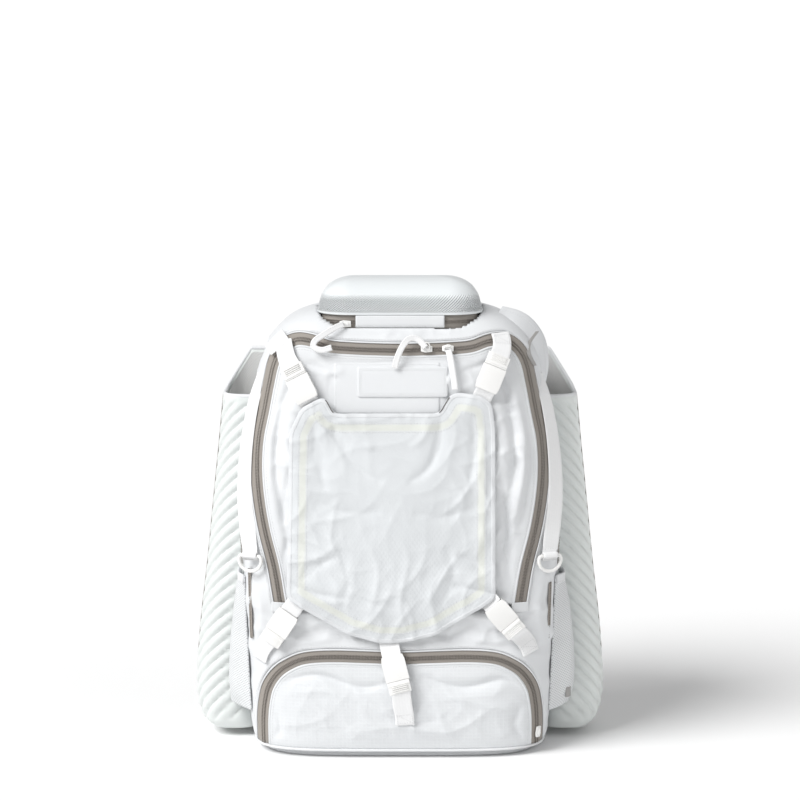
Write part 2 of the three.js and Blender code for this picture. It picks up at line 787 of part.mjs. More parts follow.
/** The sleeve's outer face at a height and an angle round it, for the side given by sign. */
function sleevePoint(sign, z, angle, inset) {
  const height = SLEEVE_MOUTH - SLEEVE_BASE;
  const level = Math.min(Math.max(z - SLEEVE_BASE, 0), height * 1.16);
  const reach = SLEEVE_REACH * column(SLEEVE_SECTIONS, 'reach', level, height);
  const depth = SLEEVE_HALF_DEPTH * column(SLEEVE_SECTIONS, 'depth', level, height);
  const turn = THREE.MathUtils.degToRad(angle);
  const power = 2 / SLEEVE_ROUNDNESS;
  const across = Math.sign(Math.cos(turn)) * Math.abs(Math.cos(turn)) ** power;
  const along = Math.sign(Math.sin(turn)) * Math.abs(Math.sin(turn)) ** power;
  const inner = SLEEVE_REACH * column(SLEEVE_SECTIONS, 'inner', level, height) - 2 * SLEEVE_HALF_WIDTH;
  const x = (reach + inner) / 2 + ((reach - inner) / 2 - inset) * across;
  const y = SLEEVE_CENTRE_Y + (depth - inset) * along;
  return new THREE.Vector3(sign * x, y, z);
}

/** A sleeve's plain outline, grown by a distance, from one height up to another. */
function sleeveLoft(sign, grow, from, to) {
  const middle = SLEEVE_SECTIONS
    .map((row) => SLEEVE_BASE + row.z * (SLEEVE_MOUTH - SLEEVE_BASE))
    .filter((z) => z > from + 4 && z < to - 10);
  const rings = [from, ...middle, to].map((z) => {
    const fade = Math.max(z - SLEEVE_MOUTH, 0) * CHANNEL_FADE;
    return SLEEVE_ANGLES.map((angle) => sleevePoint(sign, z, angle, fade - grow));
  });
  return toSolid(skin(rings));
}

/** The channel in the body's side that a sleeve lies in. It fades out above the mouth. */
function sleeveChannel(sign, grow) {
  return sleeveLoft(sign, grow, SLEEVE_BASE - grow, CHANNEL_TOP);
}

/** The room inside a sleeve, for the bat. */
function sleeveRoom(sign) {
  const rings = [SLEEVE_BASE + SLEEVE_WALL, 30, 90, 210, 320, SLEEVE_MOUTH, SLEEVE_MOUTH * 1.2].map((z) =>
    SLEEVE_ANGLES.map((angle) => sleevePoint(sign, z, angle, SLEEVE_WALL)));
  return toSolid(skin(rings));
}

function buildBodyShell() {
  const shelfCut = casePrism(SEAM_GAP, SHELF_HEIGHT, BODY_HEIGHT + BODY_WALL);
  const outer = bodyLoft(0, BODY_FACETS, 0, BODY_HEIGHT).subtract(shelfCut);
  const shelfFloor = casePrism(SEAM_GAP + BODY_WALL, SHELF_HEIGHT - BODY_WALL, BODY_HEIGHT + BODY_WALL);
  const reach = BODY_HALF_WIDTH + FRONT_REACH;
  const divider = boxSolid(
    [-reach, -reach, DIVIDER_HEIGHT],
    [reach, reach, DIVIDER_HEIGHT + DIVIDER_THICKNESS],
  );
  const hollow = bodyLoft(-BODY_WALL, HOLLOW_FACETS, BODY_WALL, BODY_HEIGHT - BODY_WALL, 2)
    .subtract(shelfFloor)
    .subtract(divider);
  const channelRoom = sleeveChannel(1, SLEEVE_SEAT).add(sleeveChannel(-1, SLEEVE_SEAT));
  const channelWall = sleeveChannel(1, SLEEVE_SEAT + BODY_WALL).add(sleeveChannel(-1, SLEEVE_SEAT + BODY_WALL));
  return outer
    .subtract(channelRoom)
    .subtract(hollow.subtract(channelWall))
    .subtract(mainOpening)
    .subtract(shoeOpening);
}
add('body_shell', toGeometry(buildBodyShell()), whiteRipstop);

// Zips and the panels that they close

const archOf = (path) => shifted(path, -tapeHalf);

/** How far the folds stand out of a zipped panel at (x, z). They fade to nothing at its edge. */
function panelRise(path, folds, x, z) {
  const arch = archOf(path);
  const widest = Math.max(...arch.map(([across]) => across));
  const [[, low]] = arch;
  const high = Math.max(...arch.map(([, up]) => up));
  if (z < low || z > high) return 0;
  const inX = Math.max(0, 1 - (Math.abs(x) / (widest * 1.05)) ** 6);
  const inZ = Math.min(1, (z - low) / 18) * Math.min(1, (high - z) / 30);
  return foldRise(folds, x, z) * inX * inZ;
}

/** The panel inside a zip's arch. Its foot is a seam at the height of the zip's ends. */
function zipPanel(path, cornerRow, folds, rowSplit) {
  const arch = archOf(path);
  const last = arch.length - 1;
  const columns = last - 2 * cornerRow;
  const left = arch.slice(0, cornerRow + 1);
  const right = arch.slice(last - cornerRow).reverse();
  const front = (x, z) => frontY(x, z) - panelRise(path, folds, x, z);
  return sheet({
    bottom: [left[0], right[0]],
    top: arch.slice(cornerRow, last - cornerRow + 1),
    left,
    right,
    columns,
    rows: cornerRow * rowSplit,
    front,
    back: (x, z) => front(x, z) + PANEL_THICKNESS,
    along: pointwise,
  });
}

/** The outer face of the cloth at (x, z), with the panels' folds. */
function clothY(x, z) {
  const main = panelRise(mainZipPath, PANEL_FOLDS, x, z);
  const shoe = panelRise(shoeZipPath, SHOE_FOLDS, x, z);
  return frontY(x, z) - Math.max(main, 0) - Math.max(shoe, 0);
}

add('main_zip', zipTape(mainZipPath), greyTape);
add('main_panel', zipPanel(mainZipPath, MAIN_ZIP_CORNER, PANEL_FOLDS, 1), whiteRipstop);
add('shoe_zip', zipTape(shoeZipPath), greyTape);
add('shoe_panel', zipPanel(shoeZipPath, SHOE_ZIP_CORNER, SHOE_FOLDS, 2), whiteRipstop);

// Helmet flap and the badge patch above it

/** One edge of the flap as [x, z] points, from a table of shares. */
function flapEdge(rows, level, rise) {
  return rows.map((row) => [FLAP_CENTRE_X + row.x * FLAP_HALF_WIDTH, level + row.z * rise]);
}

/** The flap's inner face at (x, z). */
function flapBackY(x, z) {
  return clothY(x, z) - FLAP_STANDOFF - Math.max(foldRise(FLAP_FOLDS, x, z), 0);
}

function buildFlap() {
  const bottom = flapEdge(FLAP_BOTTOM_EDGE, FLAP_BOTTOM, FLAP_CORNER_RISE);
  const top = flapEdge(FLAP_TOP_EDGE, FLAP_TOP, FLAP_WING_RISE);
  return sheet({
    bottom,
    top,
    left: [bottom[0], top[0]],
    right: [bottom[bottom.length - 1], top[top.length - 1]],
    columns: 14,
    rows: 9,
    front: (x, z) => flapBackY(x, z) - FLAP_THICKNESS,
    back: flapBackY,
  });
}
add('helmet_flap', buildFlap(), whiteRipstop);

function buildBadge() {
  const left = FLAP_CENTRE_X - BADGE_WIDTH / 2 + BADGE_SHIFT_X;
  const right = left + BADGE_WIDTH;
  const low = FLAP_TOP + FLAP_WING_RISE;
  const high = low + BADGE_HEIGHT;
  return sheet({
    bottom: [[left, low], [right, low]],
    top: [[left, high], [right, high]],
    left: [[left, low], [left, high]],
    right: [[right, low], [right, high]],
    columns: 6,
    rows: 3,
    front: (x, z) => clothY(x, z) - 2 * SEAT_GAP - BADGE_THICKNESS,
    back: (x, z) => clothY(x, z) - 2 * SEAT_GAP,
  });
}
add('badge_patch', buildBadge(), whiteRipstop);

// Moulded case on the top of the body

/** The case's shell or its hollow: rings that draw in towards the top. */
function caseDome(inset, floor) {
  const rise = CASE_HEIGHT - inset;
  const rings = CASE_PROFILE.map((row) => {
    const draw = row.draw * CASE_CORNER + inset;
    const outline = roundedRectangle(
      CASE_WIDTH / 2 - draw,
      CASE_DEPTH / 2 - draw,
      Math.max(CASE_CORNER - draw, 4),
      CASE_FACETS,
    );
    const z = caseFoot + (row.z === 0 ? floor : row.z * rise);
    return outline.map(([x, y]) => new THREE.Vector3(x, y + CASE_CENTRE_Y, z));
  });
  return toSolid(skin(rings));
}

const caseFoot = SHELF_HEIGHT + CASE_ZIP_HEIGHT;
add('case_shell', toGeometry(caseDome(0, 0).subtract(caseDome(CASE_WALL, -1))), mouldedFoam);

/** The zip band round the case's foot: a standing tape with a coil along its middle. */
function buildCaseZip() {
  const low = SHELF_HEIGHT + SEAT_GAP;
  const high = caseFoot - SEAT_GAP;
  const middle = (low + high) / 2;
  const coil = COIL_WIDTH / 2;
  const profile = [
    { out: -TAPE_THICKNESS, z: low },
    { out: 0, z: low },
    { out: 0, z: middle - coil },
    { out: COIL_RISE, z: middle - coil * 0.6 },
    { out: COIL_RISE, z: middle + coil * 0.6 },
    { out: 0, z: middle + coil },
    { out: 0, z: high },
    { out: -TAPE_THICKNESS, z: high },
  ];
  const loops = profile.map(({ out, z }) => {
    const grow = out - CASE_ZIP_INSET;
    const outline = roundedRectangle(CASE_WIDTH / 2 + grow, CASE_DEPTH / 2 + grow, CASE_CORNER + grow, CASE_FACETS);
    return outline.map(([x, y]) => new THREE.Vector3(x, y + CASE_CENTRE_Y, z));
  });
  return skinLoop(loops[0].map((_, i) => loops.map((loop) => loop[i])));
}
add('case_zip', buildCaseZip(), greyTape);

/** The cloth hinge that covers the middle of the case's zip. */
function buildCaseFlap() {
  const face = CASE_CENTRE_Y - CASE_DEPTH / 2 + CASE_ZIP_INSET - COIL_RISE - SEAT_GAP;
  const rings = CASE_FLAP_PROFILE.map((row) => {
    const z = SHELF_HEIGHT + row.z * CASE_ZIP_HEIGHT;
    const front = face - CASE_FLAP_THICKNESS - row.swell;
    const back = face;
    const half = CASE_FLAP_WIDTH / 2;
    return [
      new THREE.Vector3(-half, back, z),
      new THREE.Vector3(half, back, z),
      new THREE.Vector3(half, front, z),
      new THREE.Vector3(0, front - 0.6, z),
      new THREE.Vector3(-half, front, z),
    ];
  });
  return skin(rings);
}
add('case_flap', buildCaseFlap(), whiteRipstop);

// Buckles and their webbing

/** A rigid frame seated on the cloth: its middle, its length direction and its outward one. */
function seatOnCloth(x, z, turn, standoff) {
  const angle = THREE.MathUtils.degToRad(turn);
  const out = frontNormal(x, z);
  const along = new THREE.Vector3(Math.cos(angle), 0, Math.sin(angle));
  along.addScaledVector(out, -along.dot(out)).normalize();
  const across = new THREE.Vector3().crossVectors(out, along).normalize();
  const at = new THREE.Vector3(x, clothY(x, z), z).addScaledVector(out, standoff);
  return { at, along, across, out };
}

/** Places a mesh built with X across, Y out and Z along into such a frame. */
function placeIn(mesh, frame) {
  const { at, across, out, along } = frame;
  mesh.quaternion.setFromRotationMatrix(new THREE.Matrix4().makeBasis(across, out, along));
  mesh.position.copy(at);
}

/** The socket half: a flat housing with a webbing slot, open sides and a mouth for the prongs. */
function buildSocket() {
  const half = BUCKLE_WIDTH / 2;
  const thick = BUCKLE_THICKNESS / 2;
  const slot = WEBBING_THICKNESS / 2 + WEBBING_GAP;
  const prong = PRONG_THICKNESS / 2 + WEBBING_GAP;
  const inside = half - BUCKLE_WALL;
  const outline = [
    [-half * 0.9, 0], [half * 0.9, 0], [half, BUCKLE_LENGTH * 0.2], [half, BUCKLE_LENGTH],
    [-half, BUCKLE_LENGTH], [-half, BUCKLE_LENGTH * 0.2],
  ];
  const body = prismAlongY(outline, -thick, thick);
  const windowFrom = BUCKLE_LENGTH * 0.42;
  const windowTo = BUCKLE_LENGTH * 0.74;
  return body
    .subtract(boxSolid([-inside, -slot, -1], [inside, slot, SLOT_DEPTH]))
    .subtract(boxSolid([-inside, -prong, BUCKLE_LENGTH * 0.32], [inside, prong, BUCKLE_LENGTH + 1]))
    .subtract(boxSolid([-half - 1, -prong, windowFrom], [-inside + 1, prong, windowTo]))
    .subtract(boxSolid([inside - 1, -prong, windowFrom], [half + 1, prong, windowTo]));
}

/** The latch half: a bar with a webbing slot and two prongs that reach into the socket. */
function buildLatch() {
  const half = BUCKLE_WIDTH / 2;
  const thick = BUCKLE_THICKNESS / 2;
  const slot = WEBBING_THICKNESS / 2 + WEBBING_GAP;
  const from = BUCKLE_LENGTH + SEAT_GAP;
  const to = from + LATCH_LENGTH;
  const inside = half - BUCKLE_WALL;
  const prongOuter = inside - WEBBING_GAP;
  const bar = boxSolid([-half * 0.94, -thick, from], [half * 0.94, thick, to]);
  const rib = boxSolid([-half * 0.94, thick - 0.1, from + 2], [half * 0.94, thick + 0.8, from + 5]);
  const root = from + 1;
  const tip = from - PRONG_LENGTH;
  const right = boxSolid([prongOuter - PRONG_WIDTH, -PRONG_THICKNESS / 2, tip], [prongOuter, PRONG_THICKNESS / 2, root]);
  const left = boxSolid([-prongOuter, -PRONG_THICKNESS / 2, tip], [PRONG_WIDTH - prongOuter, PRONG_THICKNESS / 2, root]);
  return bar.add(rib).add(right).add(left)
    .subtract(boxSolid([-inside, -slot, to - SLOT_DEPTH], [inside, slot, to + 1]));
}

const socketGeometry = toGeometry(buildSocket());
const latchGeometry = toGeometry(buildLatch());

/** A webbing station in a buckle's frame, some way along it, with the webbing's face centred. */
function buckleStation(frame, along) {
  const at = frame.at.clone()
    .addScaledVector(frame.along, along)
    .addScaledVector(frame.out, -WEBBING_THICKNESS / 2);
  return { at, across: frame.across, out: frame.out };
}

/** A webbing station on the cloth at x, z, with its width turned to suit the run. */
function clothStation([x, z, standoff, turn]) {
  const { at, across, out } = seatOnCloth(x, z, turn, standoff);
  return { at, across, out };
}

for (const row of BUCKLES) {
  const frame = seatOnCloth(row.x, row.z, row.turn, row.standoff);
  placeIn(add(`${row.name}_socket`, socketGeometry, whitePlastic), frame);
  placeIn(add(`${row.name}_latch`, latchGeometry, whitePlastic), frame);
  const slotEnd = SLOT_DEPTH - SEAT_GAP;
  const sewn = [buckleStation(frame, slotEnd), buckleStation(frame, -1), ...row.sewn.map(clothStation)];
  add(`${row.name}_tab`, strip(sewn, WEBBING_WIDTH, WEBBING_THICKNESS), whiteWebbing);
  const latchEnd = BUCKLE_LENGTH + SEAT_GAP + LATCH_LENGTH;
  const free = [
    buckleStation(frame, latchEnd - slotEnd),
    buckleStation(frame, latchEnd + 1),
    ...row.strap.map(clothStation),
  ];
  add(`${row.name}_strap`, strip(free, WEBBING_WIDTH, WEBBING_THICKNESS), whiteWebbing);
}

// Bat sleeves

/** How much of the full rib shows at an angle: all of it over the front and the outer side. */
function ribShare(angle) {
  return THREE.MathUtils.smoothstep(angle, -125, -100) * (1 - THREE.MathUtils.smoothstep(angle, 60, 100));
}

/** The ribbed outside of a sleeve: slanting rings, one on each rib and one in each groove. */
function sleeveOutside(sign) {
  const top = SLEEVE_MOUTH * 1.15;
  const pitch = (SLEEVE_MOUTH - SLEEVE_BASE) / RIB_COUNT;
  const rings = [];
  const steps = 2 * Math.floor((top - SLEEVE_BASE) / pitch);
  for (let j = 0; j <= steps; j += 1) {
    const level = SLEEVE_BASE + (j * pitch) / 2;
    const ends = Math.min(1, (level - SLEEVE_BASE) / RIB_DROP, (top - level) / RIB_DROP);
    rings.push(SLEEVE_ANGLES.map((angle) => {
      const slant = RIB_DROP * 0.5 * Math.max(ends, 0) * Math.cos(THREE.MathUtils.degToRad(angle + 20));
      const groove = j % 2 === 1 ? RIB_DEPTH * ribShare(angle) : 0;
      return sleevePoint(sign, level - slant, angle, groove);
    }));
  }
  return toSolid(skin(rings));
}

/** What is cut away over the mouth: level in front, and rising to the body behind. */
function mouthCut(sign) {
  const far = SLEEVE_REACH * 2;
  const high = SLEEVE_MOUTH * 2;
  const middle = SLEEVE_CENTRE_Y + SLEEVE_HALF_DEPTH * 0.3;
  const front = boxSolid([-far, -far, SLEEVE_MOUTH], [far, middle, high]);
  const behind = prismAlongY([
    [sign * far, SLEEVE_MOUTH],
    [sign * far, high],
    [0, high],
    [0, SLEEVE_MOUTH + MOUTH_RISE],
    [sign * MOUTH_INNER, SLEEVE_MOUTH + MOUTH_RISE],
    [sign * MOUTH_OUTER, SLEEVE_MOUTH],
  ], middle, far);
  return front.add(behind);
}

for (const [side, sign] of [['left', -1], ['right', 1]]) {
  const kept = bodyLoft(2 * SLEEVE_SEAT, BODY_FACETS, SLEEVE_MOUTH, BODY_HEIGHT).subtract(sleeveChannel(sign, SLEEVE_SEAT / 3));
  const sleeve = sleeveOutside(sign).subtract(sleeveRoom(sign)).subtract(mouthCut(sign)).subtract(kept);
  add(`bat_sleeve_${side}`, toGeometry(sleeve), mouldedFoam);
}

// Mesh pockets on the body's sides, in front of the sleeves

/** One mesh pocket: a thin wall that swells out from the body's corner to the sleeve's front. */
function buildPocket(sign, swell) {
  const wall = (grow) => POCKET_RISE.map((row) => {
    const z = POCKET_FOOT + row.z * (POCKET_RIM - POCKET_FOOT);
    const from = bodyPoint(z, 64, 2 * SEAT_GAP);
    const to = sleevePoint(1, z, -96, 0);
    to.y -= 3 * SEAT_GAP + POCKET_WALL;
    return POCKET_ARC.map((arc) => {
      const at = from.clone().lerp(to, arc.round);
      const out = swell * arc.swell * row.swell + grow;
      at.x += out;
      at.y -= out * 0.55;
      return new THREE.Vector3(sign * at.x, at.y, z);
    });
  });
  return plate(wall(POCKET_WALL), wall(0));
}
add('side_pocket_left', buildPocket(-1, 15), whiteMesh);
add('side_pocket_right', buildPocket(1, 20), whiteMesh);

// D rings on their straps

/** The y at which a flat band of some width, turned to face outwards, clears the front surface. */
function clearY(x, z, across, width) {
  let y = Infinity;
  for (let i = -4; i <= 4; i += 1) {
    const step = (i / 8) * width;
    y = Math.min(y, frontY(x + across.x * step, z) - across.y * step);
  }
  return y;
}

/** A faceted rod along a ring's bar: a width along X turned by an angle, about a middle point. */
function barRod(width, radius, turn, middle) {
  const ring = (x) => {
    const points = [];
    for (let i = 0; i < TUNNEL_FACETS; i += 1) {
      const angle = (2 * Math.PI * (i + 0.5)) / TUNNEL_FACETS;
      points.push(new THREE.Vector3(x, radius * Math.cos(angle), radius * Math.sin(angle)));
    }
    return points;
  };
  const rod = skin([ring(-width / 2), ring(width / 2)]);
  rod.rotateZ(turn);
  rod.translate(middle.x, middle.y, middle.z);
  return toSolid(rod);
}

/** The ring's wire, with its straight bar at the origin and its bow hanging below. */
function buildRing() {
  const half = (RING_WIDTH - RING_WIRE) / 2;
  const low = RING_HEIGHT - RING_WIRE;
  const path = [
    [-half * 0.86, 0], [half * 0.86, 0], [half, -low * 0.14], [half, -low * 0.42], [half * 0.8, -low * 0.74],
    [half * 0.42, -low * 0.95], [0, -low], [-half * 0.42, -low * 0.95], [-half * 0.8, -low * 0.74],
    [-half, -low * 0.42], [-half, -low * 0.14],
  ];
  const middle = new THREE.Vector3(0, 0, -low / 2);
  const rings = path.map(([x, z], i) => {
    const [x0, z0] = path[(i + path.length - 1) % path.length];
    const [x1, z1] = path[(i + 1) % path.length];
    const inward = new THREE.Vector3(-(z1 - z0), 0, x1 - x0).normalize();
    const at = new THREE.Vector3(x, 0, z);
    if (inward.dot(middle.clone().sub(at)) < 0) inward.negate();
    const points = [];
    for (let k = 0; k < 6; k += 1) {
      const angle = (Math.PI * k) / 3;
      points.push(at.clone()
        .addScaledVector(inward, (RING_WIRE / 2) * Math.cos(angle))
        .add(new THREE.Vector3(0, (RING_WIRE / 2) * Math.sin(angle), 0)));
    }
    return points;
  });
  return skinLoop(rings);
}

/** The strap that the ring hangs from, ending in a tunnel round the ring's bar. */
function buildRingStrap(sign, turn, barY) {
  const across = new THREE.Vector3(Math.cos(turn), Math.sin(turn), 0);
  const out = new THREE.Vector3(Math.sin(turn), -Math.cos(turn), 0);
  const inner = RING_WIRE / 2 + RING_CLEARANCE;
  const outer = inner + WEBBING_THICKNESS;
  const stations = RING_STRAP.map((row) => {
    const z = row.z * BODY_HEIGHT;
    const side = bodyPoint(z, sign * (row.turn + sign * 4)).sub(bodyPoint(z, sign * (row.turn - sign * 4))).normalize();
    const at = bodyPoint(z, sign * row.turn, 4 * SEAT_GAP);
    return { at, across: side, out: new THREE.Vector3(side.y, -side.x, 0) };
  });
  const end = new THREE.Vector3(sign * RING_SPREAD, barY, RING_BAR_Z);
  const last = end.clone().addScaledVector(out, inner + 0.2).setZ(RING_BAR_Z + outer * 0.2);
  const from = stations[stations.length - 1];
  for (let i = 1; i <= TWIST_STEPS; i += 1) {
    const step = i / TWIST_STEPS;
    stations.push({
      at: from.at.clone().lerp(last, step),
      across: from.across.clone().lerp(across, step).normalize(),
      out: from.out.clone().lerp(out, step).normalize(),
      share: 1 + (TUNNEL_SHARE - 1) * step,
    });
  }
  const band = toSolid(strip(stations, WEBBING_WIDTH, WEBBING_THICKNESS));
  const tunnel = barRod(TUNNEL_SHARE * WEBBING_WIDTH, outer, turn, end);
  const hole = barRod(2 * WEBBING_WIDTH, inner, turn, end);
  return toGeometry(band.add(tunnel).subtract(hole));
}

const ringGeometry = buildRing();
for (const [side, sign] of [['left', -1], ['right', 1]]) {
  const turn = THREE.MathUtils.degToRad(sign * RING_FACING);
  const across = new THREE.Vector3(Math.cos(turn), Math.sin(turn), 0);
  const reach = RING_WIRE / 2 + RING_CLEARANCE + WEBBING_THICKNESS;
  const barY = clearY(sign * RING_SPREAD, RING_BAR_Z, across, RING_WIDTH) - reach - 2;
  add(`ring_strap_${side}`, buildRingStrap(sign, turn, barY), whiteWebbing);
  const ring = add(`d_ring_${side}`, ringGeometry, whitePlastic);
  ring.position.set(sign * RING_SPREAD, barY, RING_BAR_Z);
  ring.rotation.z = turn;
}

// Zip sliders and pulls

/** A slider's body: a small block with a bridge over it, its face towards -Y, in its own frame. */
function buildSlider() {
  const half = SLIDER_LENGTH / 2;
  const wide = SLIDER_WIDTH / 2;
  const block = prismAlongY([
    [-half, -wide * 0.7], [-half * 0.3, -wide], [half, -wide * 0.8],
    [half, wide * 0.8], [-half * 0.3, wide], [-half, wide * 0.7],
  ], -SLIDER_THICKNESS * 0.6, 0);
  const bridge = boxSolid([-half * 0.6, -SLIDER_THICKNESS, -1.3], [half * 0.6, -SLIDER_THICKNESS * 0.5, 1.3]);
  return toGeometry(block.add(bridge));
}

/** Seats a slider on a zip's coil at (x, z), its length along the zip's run. */
function placeSlider(mesh, x, z, along) {
  const out = frontNormal(x, z);
  const run = along.clone().addScaledVector(out, -along.dot(out)).normalize();
  const side = new THREE.Vector3().crossVectors(out, run).normalize();
  mesh.quaternion.setFromRotationMatrix(new THREE.Matrix4().makeBasis(run, out.clone().negate(), side));
  const coilTop = (COIL_RISE - TAPE_RECESS) * -out.y;
  mesh.position.set(x, frontY(x, z), z).addScaledVector(out, coilTop + SEAT_GAP);
}

/** A narrow webbing pull through points in space, its face turned towards the front. */
function pullRibbon(points) {
  const stations = points.map((at, i) => {
    const run = points[Math.min(i + 1, points.length - 1)].clone().sub(points[Math.max(i - 1, 0)]).normalize();
    const out = new THREE.Vector3(0, -1, 0).addScaledVector(run, run.y).normalize();
    return { at, across: new THREE.Vector3().crossVectors(out, run), out };
  });
  return strip(stations, PULL_WIDTH, WEBBING_THICKNESS);
}

const sliderGeometry = buildSlider();
for (const { name, x, z, run } of MAIN_PULLS) {
  const slider = add(`${name}_slider`, sliderGeometry, whitePlastic);
  placeSlider(slider, x, z, new THREE.Vector3(1, 0, 0));
  const points = run.map(([px, pz, off]) => new THREE.Vector3(px, clothY(px, pz) - off, pz));
  add(`${name}_pull`, pullRibbon(points), whiteWebbing);
}

const caseFront = CASE_CENTRE_Y - CASE_DEPTH / 2 + CASE_ZIP_INSET;
const caseSlider = add('case_slider', sliderGeometry, whitePlastic);
caseSlider.position.set(-62, caseFront - COIL_RISE - SEAT_GAP, SHELF_HEIGHT + CASE_ZIP_HEIGHT / 2);
const casePullPoints = CASE_PULL.map((point) => new THREE.Vector3(...point));
add('case_pull', pullRibbon(casePullPoints), whiteWebbing);

const shoeSlider = add('shoe_slider', sliderGeometry, whitePlastic);
const sliderRow = SHOE_ZIP[SHOE_SLIDER_ROW];
placeSlider(shoeSlider, sliderRow.x * BODY_HALF_WIDTH, sliderRow.z * BODY_HEIGHT, new THREE.Vector3(0, 0, 1));

// Back pad, shoulder straps and grab loop

function buildBackPad() {
  const middle = (PAD_TOP + PAD_FOOT) / 2;
  const half = (PAD_TOP - PAD_FOOT) / 2;
  const swell = (x, z) => PAD_THICKNESS * (1 - 0.5 * (x / PAD_HALF_WIDTH) ** 4) * (1 - 0.5 * ((z - middle) / half) ** 6);
  const behind = (x, z) => backY(x, z) + 4 * SEAT_GAP;
  return sheet({
    bottom: [[-PAD_HALF_WIDTH * 0.9, PAD_FOOT], [PAD_HALF_WIDTH * 0.9, PAD_FOOT]],
    top: [[-PAD_HALF_WIDTH * 0.8, PAD_TOP], [PAD_HALF_WIDTH * 0.8, PAD_TOP]],
    left: [[-PAD_HALF_WIDTH * 0.9, PAD_FOOT], [-PAD_HALF_WIDTH, middle], [-PAD_HALF_WIDTH * 0.8, PAD_TOP]],
    right: [[PAD_HALF_WIDTH * 0.9, PAD_FOOT], [PAD_HALF_WIDTH, middle], [PAD_HALF_WIDTH * 0.8, PAD_TOP]],
    columns: 6,
    rows: 8,
    front: (x, z) => behind(x, z) + swell(x, z),
    back: behind,
  });
}
add('back_pad', buildBackPad(), whiteMesh);

/** Stations of a table that runs down the back, each facing square to its run. */
function backStations(rows, sign, width) {
  const points = rows.map((row) => new THREE.Vector3(
    sign * (HARNESS_TOP_X + row.x * HARNESS_SPREAD),
    row.y,
    row.z * BODY_HEIGHT,
  ));
  return points.map((at, i) => {
    const run = points[Math.min(i + 1, points.length - 1)].clone().sub(points[Math.max(i - 1, 0)]).normalize();
    const across = new THREE.Vector3(1, 0, 0).addScaledVector(run, -run.x).normalize();
    return { at, across, out: new THREE.Vector3().crossVectors(run, across), share: rows[i].width ?? width };
  });
}

/** A padded strap: an oval section swept down its stations. */
function paddedStrap(stations, width, thickness) {
  const rings = stations.map(({ at, across, out, share }) => STRAP_SECTION.map(([side, rise]) =>
    at.clone().addScaledVector(across, (side * width * share) / 2).addScaledVector(out, rise * thickness)));
  return skin(rings);
}

for (const [side, sign] of [['left', -1], ['right', 1]]) {
  const pad = backStations(HARNESS_STATIONS, sign);
  add(`shoulder_strap_${side}`, paddedStrap(pad, HARNESS_WIDTH, HARNESS_THICKNESS), whiteRipstop);
  const tail = backStations(HARNESS_TAIL, sign, 1);
  add(`harness_webbing_${side}`, strip(tail, HARNESS_WEBBING, WEBBING_THICKNESS), whiteWebbing);
}

const grabLean = THREE.MathUtils.degToRad(GRAB_LEAN);
const grabStations = GRAB_LOOP.map(({ x, off }) => {
  const out = new THREE.Vector3(0, Math.cos(grabLean), Math.sin(grabLean));
  const across = new THREE.Vector3(0, -Math.sin(grabLean), Math.cos(grabLean));
  const at = new THREE.Vector3(x, backY(0, GRAB_HEIGHT), GRAB_HEIGHT).addScaledVector(out, off);
  return { at, across, out };
});
add('grab_loop', strip(grabStations, HARNESS_WEBBING, GRAB_THICKNESS), whiteWebbing);

export default group;
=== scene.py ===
import logging
import math
from dataclasses import dataclass
from enum import Enum
from typing import Callable, Sequence

import bmesh
import bpy
import numpy as np
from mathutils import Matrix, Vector


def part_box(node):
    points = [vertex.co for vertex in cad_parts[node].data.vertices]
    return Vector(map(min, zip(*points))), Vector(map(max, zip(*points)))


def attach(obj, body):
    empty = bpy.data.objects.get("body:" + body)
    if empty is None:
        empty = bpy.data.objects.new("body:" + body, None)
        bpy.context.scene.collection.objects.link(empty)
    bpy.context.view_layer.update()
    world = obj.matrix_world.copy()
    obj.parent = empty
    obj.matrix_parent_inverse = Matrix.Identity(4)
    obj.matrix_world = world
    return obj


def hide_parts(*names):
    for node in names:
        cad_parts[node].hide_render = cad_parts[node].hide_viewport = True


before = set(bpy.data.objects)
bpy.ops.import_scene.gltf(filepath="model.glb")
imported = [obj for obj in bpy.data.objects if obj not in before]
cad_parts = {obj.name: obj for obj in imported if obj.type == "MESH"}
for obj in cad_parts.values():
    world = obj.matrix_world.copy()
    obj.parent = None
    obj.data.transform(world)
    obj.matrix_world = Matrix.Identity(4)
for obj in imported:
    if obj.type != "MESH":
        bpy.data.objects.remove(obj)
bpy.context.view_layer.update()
MM = 0.001
BAG = "bag"
log = logging.getLogger("backpack")


class Side(Enum):
    """The two sides of the bag, by the sign of X."""

    LEFT = -1
    RIGHT = 1

    @property
    def word(self) -> str:
        """The side's name as the frame's nodes spell it."""
        return self.name.lower()


class Weave(Enum):
    """How the threads of a cloth show."""

    RIPSTOP = "ripstop"
    PLAIN = "plain"
    DIAMOND = "diamond"
    TWILL = "twill"
    RIBBED = "ribbed"
    KNIT = "knit"


